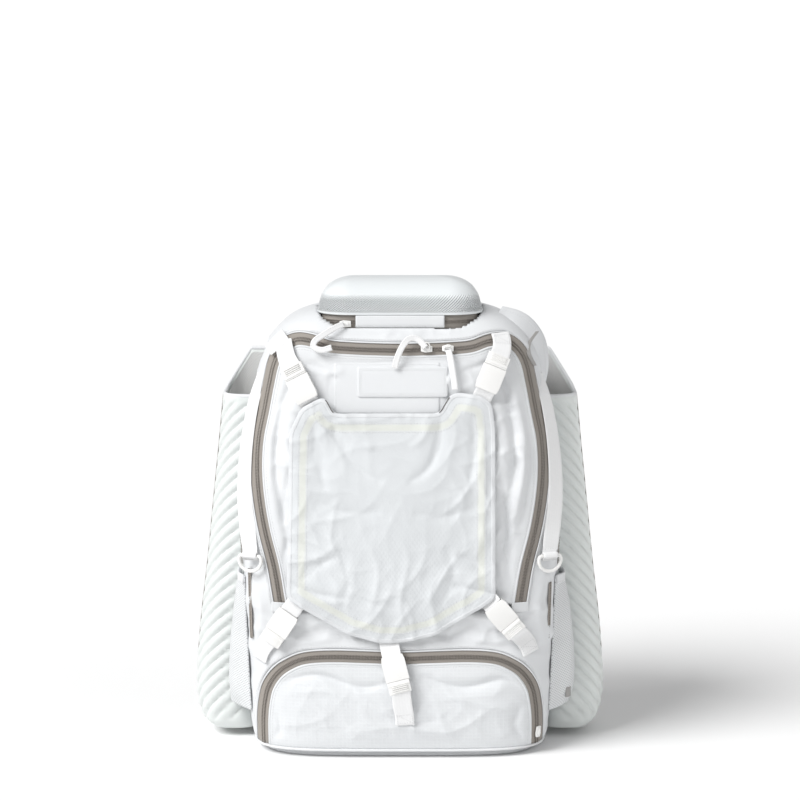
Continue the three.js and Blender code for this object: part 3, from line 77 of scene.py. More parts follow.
class Profile:
    """A smooth curve through a table's rows that never overshoots them."""

    def __init__(self, at: Sequence[float], values: Sequence[float]) -> None:
        """Works out the slope at each row.

        Args:
            at: The rows' places, rising.
            values: The rows' values.
        """
        self.at, self.values = np.array(at, float), np.array(values, float)
        step = np.diff(self.at)
        rise = np.diff(self.values) / step
        slopes = np.zeros_like(self.values)
        low, high = 2 * step[1:] + step[:-1], step[1:] + 2 * step[:-1]
        same = rise[:-1] * rise[1:] > 0
        before, after = np.where(same, rise[:-1], 1.0), np.where(same, rise[1:], 1.0)
        slopes[1:-1] = np.where(same, (low + high) / (low / before + high / after), 0.0)
        slopes[0], slopes[-1] = rise[0], rise[-1]
        self.slopes = slopes

    def __call__(self, where: np.ndarray | float) -> np.ndarray:
        """The curve's value at each place."""
        x = np.clip(where, self.at[0], self.at[-1])
        i = np.clip(np.searchsorted(self.at, x, "right") - 1, 0, len(self.at) - 2)
        h = self.at[i + 1] - self.at[i]
        t = (x - self.at[i]) / h
        a, b = self.values[i], self.values[i + 1]
        m, n = self.slopes[i] * h, self.slopes[i + 1] * h
        return (2 * t**3 - 3 * t**2 + 1) * a + (t**3 - 2 * t**2 + t) * m + (3 * t**2 - 2
                                                                            * t**3) * b + (t**3 - t**2) * n


def smoothstep(low: float, high: float, x: np.ndarray | float) -> np.ndarray:
    """A soft step from 0 at low to 1 at high."""
    t = np.clip((np.asarray(x, float) - low) / (high - low), 0, 1)
    return t * t * (3 - 2 * t)


def spline(points: Sequence[Sequence[float]], per_span: int) -> np.ndarray:
    """A smooth line through points of any dimension.

    Args:
        points: The points to pass through.
        per_span: Samples between two points.

    Returns:
        The samples, the first and last point among them.
    """
    p = np.array(points, float)
    padded = np.vstack([2 * p[0] - p[1], p, 2 * p[-1] - p[-2]])
    out = []
    for i in range(len(p) - 1):
        a, b, c, d = padded[i : i + 4]
        t = np.linspace(0, 1, per_span, endpoint=False)[:, None]
        out.append(
            0.5 * (2 * b + (c - a) * t + (2 * a - 5 * b + 4 * c - d) * t**2 + (3 * b - a - 3 * c + d)
                   * t**3)
        )
    return np.vstack([*out, p[-1:]])


def lengths_to(points: np.ndarray) -> np.ndarray:
    """How far along the line through points each of them lies."""
    return np.concatenate([[0], np.cumsum(np.linalg.norm(np.diff(points, axis=0), axis=1))])


def unit(rows: np.ndarray) -> np.ndarray:
    """Each row as a direction of length 1."""
    return rows / np.linalg.norm(rows, axis=1, keepdims=True)


def resample(points: np.ndarray, count: int) -> np.ndarray:
    """The line through points as count samples at even steps."""
    length = lengths_to(points)
    wanted = np.linspace(0, length[-1], count)
    return np.stack([np.interp(wanted, length, points[:, k]) for k in range(points.shape[1])], axis=1)


def line_length(points: np.ndarray) -> float:
    """The length of the line through points."""
    return float(np.linalg.norm(np.diff(points, axis=0), axis=1).sum())


def shifted(path: np.ndarray, distance: float) -> np.ndarray:
    """A flat arch moved sideways, positive to its outside. Its two ends stay level."""
    tangent = np.gradient(path, axis=0)
    tangent = unit(tangent)
    moved = path + distance * np.stack([-tangent[:, 1], tangent[:, 0]], axis=1)
    moved[0], moved[-1] = path[0] - [distance, 0], path[-1] + [distance, 0]
    return moved


def distance_to(path: np.ndarray, x: np.ndarray, z: np.ndarray) -> tuple[np.ndarray, np.ndarray]:
    """How far each point lies from a flat line, and where along it the nearest place is.

    Args:
        path: The line's points as rows of x and z.
        x: The points' x.
        z: The points' z.

    Returns:
        The distance, and the share of the line's length at the nearest place.
    """
    best, where = np.full(np.shape(x), 1e9), np.zeros(np.shape(x))
    steps = np.linalg.norm(np.diff(path, axis=0), axis=1)
    before = lengths_to(path)
    for i, step in enumerate(steps):
        (ax, az), (bx, bz) = path[i], path[i + 1]
        t = np.clip(((x - ax) * (bx - ax) + (z - az) * (bz - az)) / max(step**2, 1e-9), 0, 1)
        d = np.hypot(x - ax - t * (bx - ax), z - az - t * (bz - az))
        where = np.where(d < best, (before[i] + t * step) / before[-1], where)
        best = np.minimum(best, d)
    return best, where


def inside(outline: np.ndarray, x: np.ndarray, z: np.ndarray) -> np.ndarray:
    """Whether each point lies inside a closed flat outline."""
    hit = np.zeros(np.shape(x), bool)
    for (ax, az), (bx, bz) in zip(outline, np.roll(outline, -1, axis=0)):
        crosses = (az > z) != (bz > z)
        level = np.where(bz == az, 1e-9, bz - az)
        hit ^= crosses & (x < (bx - ax) * (z - az) / level + ax)
    return hit


def ripples(x: np.ndarray, z: np.ndarray, size: float, seed: int) -> np.ndarray:
    """Soft uneven waves between about -1 and 1, the same on each run.

    Args:
        x: Places across, in mm.
        z: Places along, in mm.
        size: The waves' length in mm.
        seed: Which waves.

    Returns:
        The height at each place.
    """
    chance = np.random.default_rng(seed)
    total = np.zeros(np.broadcast(x, z).shape)
    for _ in range(7):
        turn, phase = chance.uniform(0, math.tau), chance.uniform(0, math.tau)
        length = size * chance.uniform(0.7, 1.6)
        bend = 0.9 * np.sin(x * 2.1 / length + z * 1.3 / length + phase * 2)
        total += np.sin(math.tau * (x * math.cos(turn) + z * math.sin(turn)) / length + phase + bend)
    return total / 4.2


def crumple(x: np.ndarray, z: np.ndarray, size: float, seed: int) -> np.ndarray:
    """Broken creases with narrow crests, between about -0.4 and 1, the same on each run.

    Args:
        x: Places across, in mm.
        z: Places along, in mm.
        size: The creases' length in mm.
        seed: Which creases.

    Returns:
        The height at each place.
    """
    chance = np.random.default_rng(seed)
    total = np.zeros(np.broadcast(x, z).shape)
    for k in range(5):
        turn, phase = chance.uniform(0, math.tau), chance.uniform(0, math.tau)
        length = size * chance.uniform(0.9, 1.8)
        bend = 1.2 * np.sin(x * 1.7 / length + z * 0.9 / length + phase * 3)
        bend = bend + 0.6 * np.sin(z * 2.7 / length - x * 1.1 / length + phase)
        wave = np.abs(np.sin(math.pi * (x * math.cos(turn) + z * math.sin(turn)) / length + phase + bend))
        patch = 0.5 + 0.5 * np.sin(x * 1.1 / size + z * 1.5 / size + phase * 5 + k)
        total += patch**1.5 * (1 - wave) ** 2
    return total - 0.4


@dataclass(frozen=True)
class Crease:
    """A fold along a curved line in the cloth: its points as x and z, its width and its rise, in mm."""

    points: tuple[tuple[float, float], ...]
    width: float
    rise: float

    def height(self, x: np.ndarray, z: np.ndarray) -> np.ndarray:
        """How far the fold stands out at each place."""
        away, along = distance_to(spline(self.points, 6), x, z)
        return self.rise * np.exp(-((away
                                     / self.width) ** 1.5)) * np.sqrt(np.clip(np.sin(np.pi * along), 0, 1))


@dataclass(frozen=True)
class Swell:
    """A round rise in the cloth: its middle, its spans and its height, in mm."""

    x: float
    z: float
    span_x: float
    span_z: float
    rise: float

    def height(self, x: np.ndarray, z: np.ndarray) -> np.ndarray:
        """How far the swelling stands out at each place."""
        return self.rise * np.exp(-(((x - self.x) / self.span_x) ** 2) - ((z - self.z) / self.span_z) ** 2)


class BodyForm:
    """The body's outer surface, in mm: superellipse sections whose sizes change with height."""

    HEIGHT, HALF_WIDTH, FRONT_REACH, BACK_REACH = 516.0, 186.0, 124.0, 92.0
    FRONT_POWER, BACK_POWER, BACK_TAPER = 4.5, 4.0, 0.25
    TAPE_HALF = 6.5
    SECTIONS = (
        (0.0, 0.84, 0.88, 0.86), (0.012, 0.895, 0.94, 0.93), (0.039, 0.93, 0.975, 0.98),
        (0.116, 0.95, 1.0, 1.0),
        (0.225, 0.965, 0.985, 1.0), (0.26, 0.97, 0.96, 1.0), (0.31, 0.975, 0.98, 1.0),
        (0.426, 0.985, 1.0, 1.0),
        (0.58, 1.0, 0.99, 1.0), (0.7, 0.965, 0.965, 0.99), (0.78, 0.915, 0.94, 0.98),
        (0.853, 0.875, 0.905, 0.965),
        (0.91, 0.825, 0.865, 0.93), (0.95, 0.745, 0.81, 0.86), (0.976, 0.65, 0.72, 0.76),
        (0.993, 0.52, 0.58, 0.62),
        (1.0, 0.4, 0.44, 0.46),
    )
    MAIN_ZIP = (
        (0.737, 0.349), (0.774, 0.43), (0.828, 0.508), (0.863, 0.581), (0.877, 0.649), (0.867, 0.713),
        (0.833, 0.775), (0.802, 0.833), (0.769, 0.882), (0.712, 0.915), (0.63, 0.932), (0.536, 0.93),
        (0.43, 0.918), (0.29, 0.914), (0.145, 0.912), (0.0, 0.911),
    )
    SHOE_ZIP = (
        (0.849, 0.021), (0.849, 0.078), (0.839, 0.12), (0.815, 0.157), (0.763, 0.188), (0.694, 0.209),
        (0.59, 0.2255), (0.43, 0.231), (0.215, 0.2295), (0.0, 0.227),
    )
    MAIN_FOLDS = (
        Swell(0, 320, 102, 103, 5.5), Swell(-123, 361, 17, 62, 4.0), Swell(126, 351, 17, 67, 5.0),
        Crease(((112, 440), (124, 398), (130, 344), (121, 292)), 6.0, -9.0),
        Crease(((130, 424), (142, 376), (139, 318), (128, 272)), 5.0, 4.2),
        Crease(((139, 416), (149, 368), (146, 316), (136, 264)), 5.0, -5.0),
        Crease(((112, 330), (122, 274), (116, 226)), 5.5, -7.0),
        Crease(((131, 262), (123, 226), (131, 196)), 5.0, -4.6),
        Crease(((120, 300), (128, 262), (123, 230)), 4.5, 2.6),
        Crease(((-118, 442), (-136, 396), (-140, 330), (-130, 272)), 6.0, -7.0),
        Crease(((-134, 410), (-148, 366), (-148, 310)), 4.5, 3.0),
        Crease(((-124, 340), (-132, 286), (-126, 240)), 5.5, -4.2),
        Crease(((-127, 256), (-134, 222), (-124, 194)), 5.0, -4.0),
        Crease(((-95, 462), (-40, 455), (20, 461), (86, 457)), 4.5, -3.2),
        Crease(((-122, 455), (-84, 444), (-62, 448)), 4.5, 2.4),
        Crease(((-128, 440), (-100, 452), (-70, 436)), 4.5, -2.6),
        Crease(((66, 446), (88, 452), (112, 462)), 4.5, -2.6),
        Crease(((60, 205), (100, 196), (128, 184)), 5.0, -4.2),
        Crease(((-126, 206), (-90, 192), (-50, 187)), 5.0, -3.8),
    )
    SHOE_FOLDS = (
        Swell(0, 59, 112, 36, 5.0),
        Crease(((-142, 88), (-96, 98), (-44, 84), (-6, 92)), 4.8, -4.4),
        Crease(((20, 98), (70, 84), (118, 92), (146, 74)), 4.8, -4.4),
        Crease(((-128, 76), (-84, 80), (-48, 68)), 5.0, 1.8),
        Crease(((36, 82), (86, 66), (134, 54)), 5.0, 2.0),
        Crease(((-148, 60), (-138, 36), (-146, 18)), 5.0, -3.2),
        Crease(((140, 62), (132, 38), (142, 18)), 5.0, -3.2),
        Crease(((-60, 30), (0, 38), (70, 27)), 7.0, 2.2),
        Crease(((-20, 52), (20, 44), (58, 50)), 6.0, -2.0),
    )

    def __init__(self) -> None:
        """Fits the smooth curves through the tables."""
        rows = np.array(self.SECTIONS)
        self._width = Profile(rows[:, 0] * self.HEIGHT, rows[:, 1] * self.HALF_WIDTH)
        self._front = Profile(rows[:, 0] * self.HEIGHT, rows[:, 2] * self.FRONT_REACH)
        self._back = Profile(rows[:, 0] * self.HEIGHT, rows[:, 3] * self.BACK_REACH)
        self.main_zip, self.shoe_zip = self._mirrored(self.MAIN_ZIP), self._mirrored(self.SHOE_ZIP)
        self.main_arch = shifted(self.main_zip, -self.TAPE_HALF)
        self.shoe_arch = shifted(self.shoe_zip, -self.TAPE_HALF)

    def _mirrored(self, rows: Sequence[tuple[float, float]]) -> np.ndarray:
        """A zip's whole path as smooth x, z points, from its left end over the top to its right end."""
        half = [(-x * self.HALF_WIDTH, z * self.HEIGHT) for x, z in rows]
        return spline([*half, *[(-x, z) for x, z in reversed(half[:-1])]], 8)

    def sizes(self, z: np.ndarray | float) -> tuple[np.ndarray, np.ndarray, np.ndarray]:
        """The half width, front reach and back reach at each height."""
        return self._width(z), self._front(z), self._back(z)

    def front(self, x: np.ndarray | float, z: np.ndarray | float) -> np.ndarray:
        """The bare front surface's y over each x, z."""
        width, reach, _ = self.sizes(z)
        share = np.minimum(np.abs(x) / width, 0.985)
        return -reach * (1 - share**self.FRONT_POWER) ** (1 / self.FRONT_POWER)

    def back(self, x: np.ndarray | float, z: np.ndarray | float) -> np.ndarray:
        """The back surface's y over each x, z."""
        width, _, reach = self.sizes(z)
        share = np.minimum(np.abs(x) / (width * (1 - self.BACK_TAPER)), 0.97)
        return reach * (1 - share**self.BACK_POWER) ** (1 / self.BACK_POWER)

    def point(self, z: np.ndarray, turn: np.ndarray, grow: float = 0.0) -> np.ndarray:
        """Points of the body's sections.

        Args:
            z: Heights.
            turn: Degrees round the section: 0 is the front, 90 the right side, 180 the back.
            grow: How far the section stands out from the surface.

        Returns:
            The points, with x, y and z on the last axis.
        """
        width, front, back = self.sizes(z)
        angle = np.radians(turn)
        across, along = np.abs(np.sin(angle)), np.abs(np.cos(angle))
        side = np.sign(np.sin(angle))
        ahead = np.cos(angle) >= 0
        f, b = 2 / self.FRONT_POWER, 2 / self.BACK_POWER
        x = np.where(ahead, across**f, across**b * (1 - self.BACK_TAPER * along**b)) * side * (width + grow)
        y = np.where(ahead, -(front + grow) * along**f, (back + grow) * along**b)
        return np.stack([x, y, np.broadcast_to(z, np.shape(x))], axis=-1)

    def rise(self, arch: np.ndarray, folds: Sequence, x: np.ndarray, z: np.ndarray) -> np.ndarray:
        """How far a zipped panel's folds stand out. They fade to nothing at its edge."""
        x, z = np.asarray(x, float), np.asarray(z, float)
        closed = np.vstack([arch, arch[:1]])
        away, _ = distance_to(closed, x, z)
        within = inside(arch, x, z)
        total = sum((fold.height(x, z) for fold in folds), np.zeros(x.shape))
        return np.where(within, total * smoothstep(0, 16, away), 0.0)

    def cloth(self, x: np.ndarray | float, z: np.ndarray | float) -> np.ndarray:
        """The outer face of the front cloth, with the panels' folds, as y over each x, z."""
        x, z = np.asarray(x, float), np.asarray(z, float)
        main = self.rise(self.main_arch, self.MAIN_FOLDS, x, z)
        shoe = self.rise(self.shoe_arch, self.SHOE_FOLDS, x, z)
        return self.front(x, z) - main - shoe

    def normal(self, x: float, z: float) -> np.ndarray:
        """The front surface's outward normal at x, z."""
        step = 1.0
        slope_x = (self.front(x + step, z) - self.front(x - step, z)) / (2 * step)
        slope_z = (self.front(x, z + step) - self.front(x, z - step)) / (2 * step)
        out = np.array([float(slope_x), -1.0, float(slope_z)])
        return out / np.linalg.norm(out)


class SleeveForm:
    """A bat sleeve's tube, in mm: superellipse sections that lean towards the body as they rise."""

    MOUTH, BASE, REACH, WIDTH, HALF_DEPTH, CENTRE_Y = 404.0, 10.0, 242.0, 74.0, 50.0, 21.0
    POWER, WALL, CHANNEL_TOP, CHANNEL_FADE = 3.0, 4.0, 470.0, 0.45
    SECTIONS = (
        (0.0, 0.925, 1.0, 0.84), (0.025, 0.965, 1.0, 0.93), (0.075, 0.993, 1.0, 0.985),
        (0.13, 1.0, 1.0, 1.0),
        (0.25, 0.988, 0.988, 1.0), (0.5, 0.942, 0.942, 0.96), (0.7, 0.908, 0.908, 0.9),
        (0.85, 0.882, 0.882, 0.84),
        (1.0, 0.858, 0.858, 0.78), (1.16, 0.83, 0.83, 0.74),
    )

    def __init__(self) -> None:
        """Fits the smooth curves through the table."""
        rows = np.array(self.SECTIONS)
        span = self.MOUTH - self.BASE
        self._reach = Profile(self.BASE + rows[:, 0] * span, rows[:, 1] * self.REACH)
        self._inner = Profile(self.BASE + rows[:, 0] * span, rows[:, 2] * self.REACH - self.WIDTH)
        self._depth = Profile(self.BASE + rows[:, 0] * span, rows[:, 3] * self.HALF_DEPTH)

    def point(self, sign: int, z: np.ndarray, angle: np.ndarray, inset: np.ndarray | float) -> np.ndarray:
        """Points of the sleeve's outside.

        Args:
            sign: The side of the bag.
            z: Heights.
            angle: Degrees round the tube: -90 is its front, 0 its outer side.
            inset: How far inside the outer face the points lie.

        Returns:
            The points, with x, y and z on the last axis.
        """
        reach, inner, depth = self._reach(z), self._inner(z), self._depth(z)
        turn = np.radians(angle)
        across = np.sign(np.cos(turn)) * np.abs(np.cos(turn)) ** (2 / self.POWER)
        along = np.sign(np.sin(turn)) * np.abs(np.sin(turn)) ** (2 / self.POWER)
        x = (reach + inner) / 2 + ((reach - inner) / 2 - inset) * across
        y = self.CENTRE_Y + (depth - inset) * along
        return np.stack([sign * x, y, np.broadcast_to(z, np.shape(x))], axis=-1)

    def inner_edge(self, y: np.ndarray, z: np.ndarray) -> np.ndarray:
        """How far out the body may reach at y, z before it meets the sleeve's channel."""
        fade = np.clip(z - self.MOUTH, 0, None) * self.CHANNEL_FADE
        reach, inner = self._reach(z), self._inner(z)
        depth = np.maximum(self._depth(z) - fade, 1.0)
        half = np.maximum((reach - inner) / 2 - fade, 0.5)
        share = np.clip(np.abs(y - self.CENTRE_Y) / depth, 0, 1)
        edge = (reach + inner) / 2 - half * (1 - share**self.POWER) ** (1 / self.POWER) - 0.8
        free = (share >= 1) | (z > self.CHANNEL_TOP) | (z < self.BASE - 2)
        return np.where(free, 1e6, edge)


BODY = BodyForm()
SLEEVE = SleeveForm()


def new_piece(name: str, verts: np.ndarray, faces: Sequence, closed: bool = True) -> bpy.types.Object:
    """Makes an object at the origin from points in mm.

    Args:
        name: The piece's name.
        verts: Points in mm.
        faces: Lists of point numbers.
        closed: Whether the faces shut, so that they can be turned outwards by themselves.

    Returns:
        The new object, smooth shaded.
    """
    mesh = bpy.data.meshes.new(name)
    mesh.from_pydata((np.asarray(verts, float) * MM).tolist(), [], [list(map(int, f)) for f in faces])
    if closed:
        work = bmesh.new()
        work.from_mesh(mesh)
        bmesh.ops.remove_doubles(work, verts=work.verts, dist=1e-7)
        bmesh.ops.recalc_face_normals(work, faces=work.faces)
        work.to_mesh(mesh)
        work.free()
    mesh.shade_smooth()
    piece = bpy.data.objects.new(name, mesh)
    bpy.context.scene.collection.objects.link(piece)
    return piece


def grid_faces(rows: int, columns: int, start: int = 0,
               wrap: bool = False) -> list[tuple[int, int, int, int]]:
    """The quads of a grid of points.

    Args:
        rows: Its rows.
        columns: Its columns.
        start: Its first point's number.
        wrap: Whether its last column joins its first.

    Returns:
        The quads' point numbers.
    """
    faces = []
    for j in range(rows - 1):
        for i in range(columns if wrap else columns - 1):
            a, b = start + j * columns + i, start + j * columns + (i + 1) % columns
            faces.append((a, b, b + columns, a + columns))
    return faces


def joined_ends(count: int, sides: int) -> list[tuple[int, int, int, int]]:
    """The quads that join the last of count rings to the first."""
    last = (count - 1) * sides
    return [(last + i, last + (i + 1) % sides, (i + 1) % sides, i) for i in range(sides)]


def end_faces(count: int, sides: int, turned: bool = False) -> list[tuple[int, ...]]:
    """The first and the last of count rings as two faces, the last one turned over if asked."""
    last = range((count - 1) * sides, count * sides)
    return [tuple(range(sides)), tuple(reversed(last) if turned else last)]


def evaluated(piece: bpy.types.Object) -> bpy.types.Mesh:
    """A new mesh of the piece with its modifiers worked out."""
    bpy.context.view_layer.update()
    seen = piece.evaluated_get(bpy.context.evaluated_depsgraph_get())
    return bpy.data.meshes.new_from_object(seen)


def set_uv(piece: bpy.types.Object, uv: np.ndarray) -> None:
    """Gives each face corner its point's place on the cloth, in metres."""
    mesh = piece.data
    layer = mesh.uv_layers.new(name="cloth")
    index = np.empty(len(mesh.loops), dtype=np.int64)
    mesh.loops.foreach_get("vertex_index", index)
    layer.data.foreach_set("uv", (np.asarray(uv, float) * MM)[index].astype(np.float32).ravel())


def shell(name: str, front: np.ndarray, back: np.ndarray, uv: np.ndarray,
          roll: float = 0.5) -> bpy.types.Object:
    """A closed sheet between two grids of points, with a rounded edge.

    Args:
        name: The piece's name.
        front: The outer face, as rows by columns points.
        back: The inner face, of the same size.
        uv: The outer face's places on the cloth, in mm.
        roll: How far the rounded edge stands out.

    Returns:
        The new object.
    """
    rows, columns = front.shape[:2]
    count = rows * columns
    number = np.arange(count).reshape(rows, columns)
    ring = np.concatenate([number[0, :-1], number[:-1, -1], number[-1, :0:-1], number[:0:-1, 0]])
    f, b, flat = front.reshape(-1, 3), back.reshape(-1, 3), uv.reshape(-1, 2)
    middle = (f[ring] + b[ring]) / 2
    tangent = np.roll(middle, -1, axis=0) - np.roll(middle, 1, axis=0)
    side = np.cross(tangent, f[ring] - b[ring])
    side /= np.maximum(np.linalg.norm(side, axis=1, keepdims=True), 1e-9)
    centre = middle.mean(axis=0)
    if ((middle - centre) * side).sum() < 0:
        side = -side
    verts = np.vstack([f, b, middle + side * roll])
    faces = grid_faces(rows, columns)
    faces += [tuple(reversed(q)) for q in grid_faces(rows, columns, count)]
    total = len(ring)
    for i in range(total):
        k = (i + 1) % total
        faces.append((ring[k], ring[i], 2 * count + i, 2 * count + k))
        faces.append((2 * count + k, 2 * count + i, count + ring[i], count + ring[k]))
    piece = new_piece(name, verts, faces)
    set_uv(piece, np.vstack([flat, flat, flat[ring]]))
    return piece


def coons(bottom: np.ndarray, top: np.ndarray, left: np.ndarray, right: np.ndarray) -> np.ndarray:
    """The flat patch between four edges, as rows by columns by 2."""
    u = np.linspace(0, 1, len(bottom))[None, :, None]
    v = np.linspace(0, 1, len(left))[:, None, None]
    across = (1 - v) * bottom[None] + v * top[None]
    up = (1 - u) * left[:, None] + u * right[:, None]
    corners = (1 - u) * (1 - v) * bottom[0] + u * (1 - v) * bottom[-1] + (1
                                                                          - u) * v * top[0] + u * v * top[-1]
    return across + up - corners


@dataclass
class Run:
    """A line of stations in space, each with a width direction and an outward one, in mm."""

    at: np.ndarray
    across: np.ndarray
    out: np.ndarray
    share: np.ndarray | None = None

    def fine(self, step: float) -> "Run":
        """The same run with stations about step apart, smoothly between those that it has."""
        share = np.ones(len(self.at)) if self.share is None else np.asarray(self.share, float)
        rows = np.hstack([self.at, self.across, self.out, share[:, None]])
        dense = spline(rows, 10)
        length = lengths_to(dense[:, :3])
        wanted = np.linspace(0, length[-1], max(int(length[-1] / step), 2) + 1)
        even = np.stack([np.interp(wanted, length, dense[:, k]) for k in range(dense.shape[1])], axis=1)
        across, out = even[:, 3:6], even[:, 6:9]
        across = unit(across)
        out = out - (out * across).sum(axis=1, keepdims=True) * across
        return Run(even[:, :3], across, unit(out), even[:, 9])

    def lengths(self) -> np.ndarray:
        """How far along the run each station is."""
        return lengths_to(self.at)


def band(name: str, run: Run, width: float, thickness: float, crown: float = 0.0) -> bpy.types.Object:
    """A strip of webbing or tape along a run, with rounded edges and closed ends.

    Args:
        name: The piece's name.
        run: The stations of its inner face.
        width: Its width in mm.
        thickness: Its thickness in mm.
        crown: How far its middle stands out over its edges.

    Returns:
        The new object, with its width and length as its places on the cloth.
    """
    half, t = width / 2, thickness
    e = min(t * 0.5, 0.8)
    steps = np.linspace(-1, 1, 9)
    upper = [(s * (half - e), t + crown * (1 - s * s)) for s in steps]
    lower = [(s * (half - e), crown * (1 - s * s)) for s in reversed(steps)]
    section = np.array([*upper, (half, t * 0.7), (half, t * 0.3), *lower, (-half, t * 0.3),
                        (-half, t * 0.7)])
    share = np.ones(len(run.at)) if run.share is None else run.share
    rings = (
        run.at[:, None]
        + run.across[:, None] * (section[None, :, :1] * share[:, None, None])
        + run.out[:, None] * section[None, :, 1:]
    )
    count, sides = rings.shape[:2]
    verts = rings.reshape(-1, 3)
    faces = grid_faces(count, sides, wrap=True)
    faces += end_faces(count, sides, turned=True)
    piece = new_piece(name, verts, faces)
    along = np.repeat(run.lengths(), sides)
    set_uv(piece, np.stack([np.tile(section[:, 0], count), along], axis=1))
    return piece


def tube(name: str, path: np.ndarray, radius: float, sides: int = 10, loop: bool = False,
         flat: float = 1.0, out: np.ndarray | None = None) -> bpy.types.Object:
    """A round cord along a path.

    Args:
        name: The piece's name.
        path: Its middle line's points in mm.
        radius: Its radius in mm.
        sides: Facets round it.
        loop: Whether its ends join.
        flat: Its height as a share of its width.
        out: The direction that its height is measured in, at each point.

    Returns:
        The new object.
    """
    if loop:
        tangent = np.roll(path, -1, axis=0) - np.roll(path, 1, axis=0)
    else:
        tangent = np.gradient(path, axis=0)
    tangent /= np.maximum(np.linalg.norm(tangent, axis=1, keepdims=True), 1e-9)
    up = np.tile([0.0, 0.0, 1.0], (len(path), 1)) if out is None else out
    side = np.cross(tangent, up)
    weak = np.linalg.norm(side, axis=1) < 0.05
    side[weak] = np.cross(tangent[weak], [1.0, 0.0, 0.0])
    for i in range(1, len(side)):
        if side[i] @ side[i - 1] < 0:
            side[i] = -side[i]
    side = unit(side)
    rise = np.cross(side, tangent)
    angle = np.linspace(0, math.tau, sides, endpoint=False)
    rings = path[:, None] + radius * (
        np.cos(angle)[None, :, None] * side[:, None] + flat * np.sin(angle)[None, :, None] * rise[:, None]
    )
    count = len(path)
    verts = rings.reshape(-1, 3)
    faces = grid_faces(count, sides, wrap=True)
    if loop:
        faces += joined_ends(count, sides)
    else:
        faces += end_faces(count, sides, turned=True)
    piece = new_piece(name, verts, faces)
    steps = lengths_to(path)
    set_uv(piece, np.stack([np.tile(angle * radius, count), np.repeat(steps, sides)], axis=1))
    return piece


class Desk:
    """Lays out one material's nodes."""

    def __init__(self, name: str) -> None:
        """Starts a material with a shader and its output."""
        self.material = bpy.data.materials.new(name)
        self.material.use_nodes = True
        self.tree = self.material.node_tree
        self.shader = self.tree.nodes["Principled BSDF"]

    def node(self, kind: str, links: dict | None = None, **settings: object) -> bpy.types.Node:
        """Adds a node.

        Args:
            kind: Its type.
            links: Values or sockets for its inputs, by name or number.
            settings: Its properties.

        Returns:
            The new node.
        """
        made = self.tree.nodes.new(kind)
        for key, value in settings.items():
            setattr(made, key, value)
        for key, value in (links or {}).items():
            socket = made.inputs[key]
            if isinstance(value, bpy.types.NodeSocket):
                self.tree.links.new(value, socket)
            else:
                socket.default_value = value
        return made

    def maths(self, operation: str, *values: object) -> bpy.types.NodeSocket:
        """The result of a Math node on values or sockets."""
        return self.node("ShaderNodeMath", dict(enumerate(values)), operation=operation).outputs[0]

    def place(self, scale: Sequence[float], turn: float = 0.0, uv: bool = True) -> bpy.types.NodeSocket:
        """The place on the cloth, or in the object, scaled and turned by degrees."""
        source = self.node("ShaderNodeTexCoord").outputs["UV" if uv else "Object"]
        mapped = self.node(
            "ShaderNodeMapping",
            {"Vector": source, "Rotation": (0, 0, math.radians(turn)), "Scale": tuple(scale)},
        )
        return mapped.outputs[0]

    def noise(self, where: bpy.types.NodeSocket, size: float, detail: float = 3.0) -> bpy.types.NodeSocket:
        """A noise's value at a place, size being its number of lumps per unit."""
        made = self.node("ShaderNodeTexNoise", {"Vector": where, "Scale": size, "Detail": detail})
        return made.outputs["Fac"]

    def bump(self, height: bpy.types.NodeSocket, depth: float, strength: float = 1.0,
             under: bpy.types.NodeSocket | None = None) -> bpy.types.NodeSocket:
        """The normal of a relief depth metres deep, over another relief's normal."""
        links: dict = {"Height": height, "Distance": depth, "Strength": strength}
        if under is not None:
            links["Normal"] = under
        return self.node("ShaderNodeBump", links).outputs[0]

    def blend(self, share: object, low: Sequence[float], high: Sequence[float]) -> bpy.types.NodeSocket:
        """A colour between low and high."""
        made = self.node("ShaderNodeMix", data_type="RGBA")
        for socket, value in ((made.inputs[0], share), (made.inputs[6], low), (made.inputs[7], high)):
            if isinstance(value, bpy.types.NodeSocket):
                self.tree.links.new(value, socket)
            else:
                socket.default_value = value if isinstance(value, (int, float)) else (*value[:3], 1.0)
        return made.outputs[2]

    def finish(self, colour: object, normal: bpy.types.NodeSocket | None,
               **sockets: float) -> bpy.types.Material:
        """Joins colour and normal to the shader and sets its other sockets by name."""
        base = self.shader.inputs["Base Color"]
        if isinstance(colour, bpy.types.NodeSocket):
            self.tree.links.new(colour, base)
        else:
            base.default_value = (*colour[:3], 1.0)
        if normal is not None:
            self.tree.links.new(normal, self.shader.inputs["Normal"])
        for key, value in sockets.items():
            socket = self.shader.inputs[key.replace("_", " ")]
            if isinstance(value, bpy.types.NodeSocket):
                self.tree.links.new(value, socket)
            else:
                socket.default_value = value
        return self.material


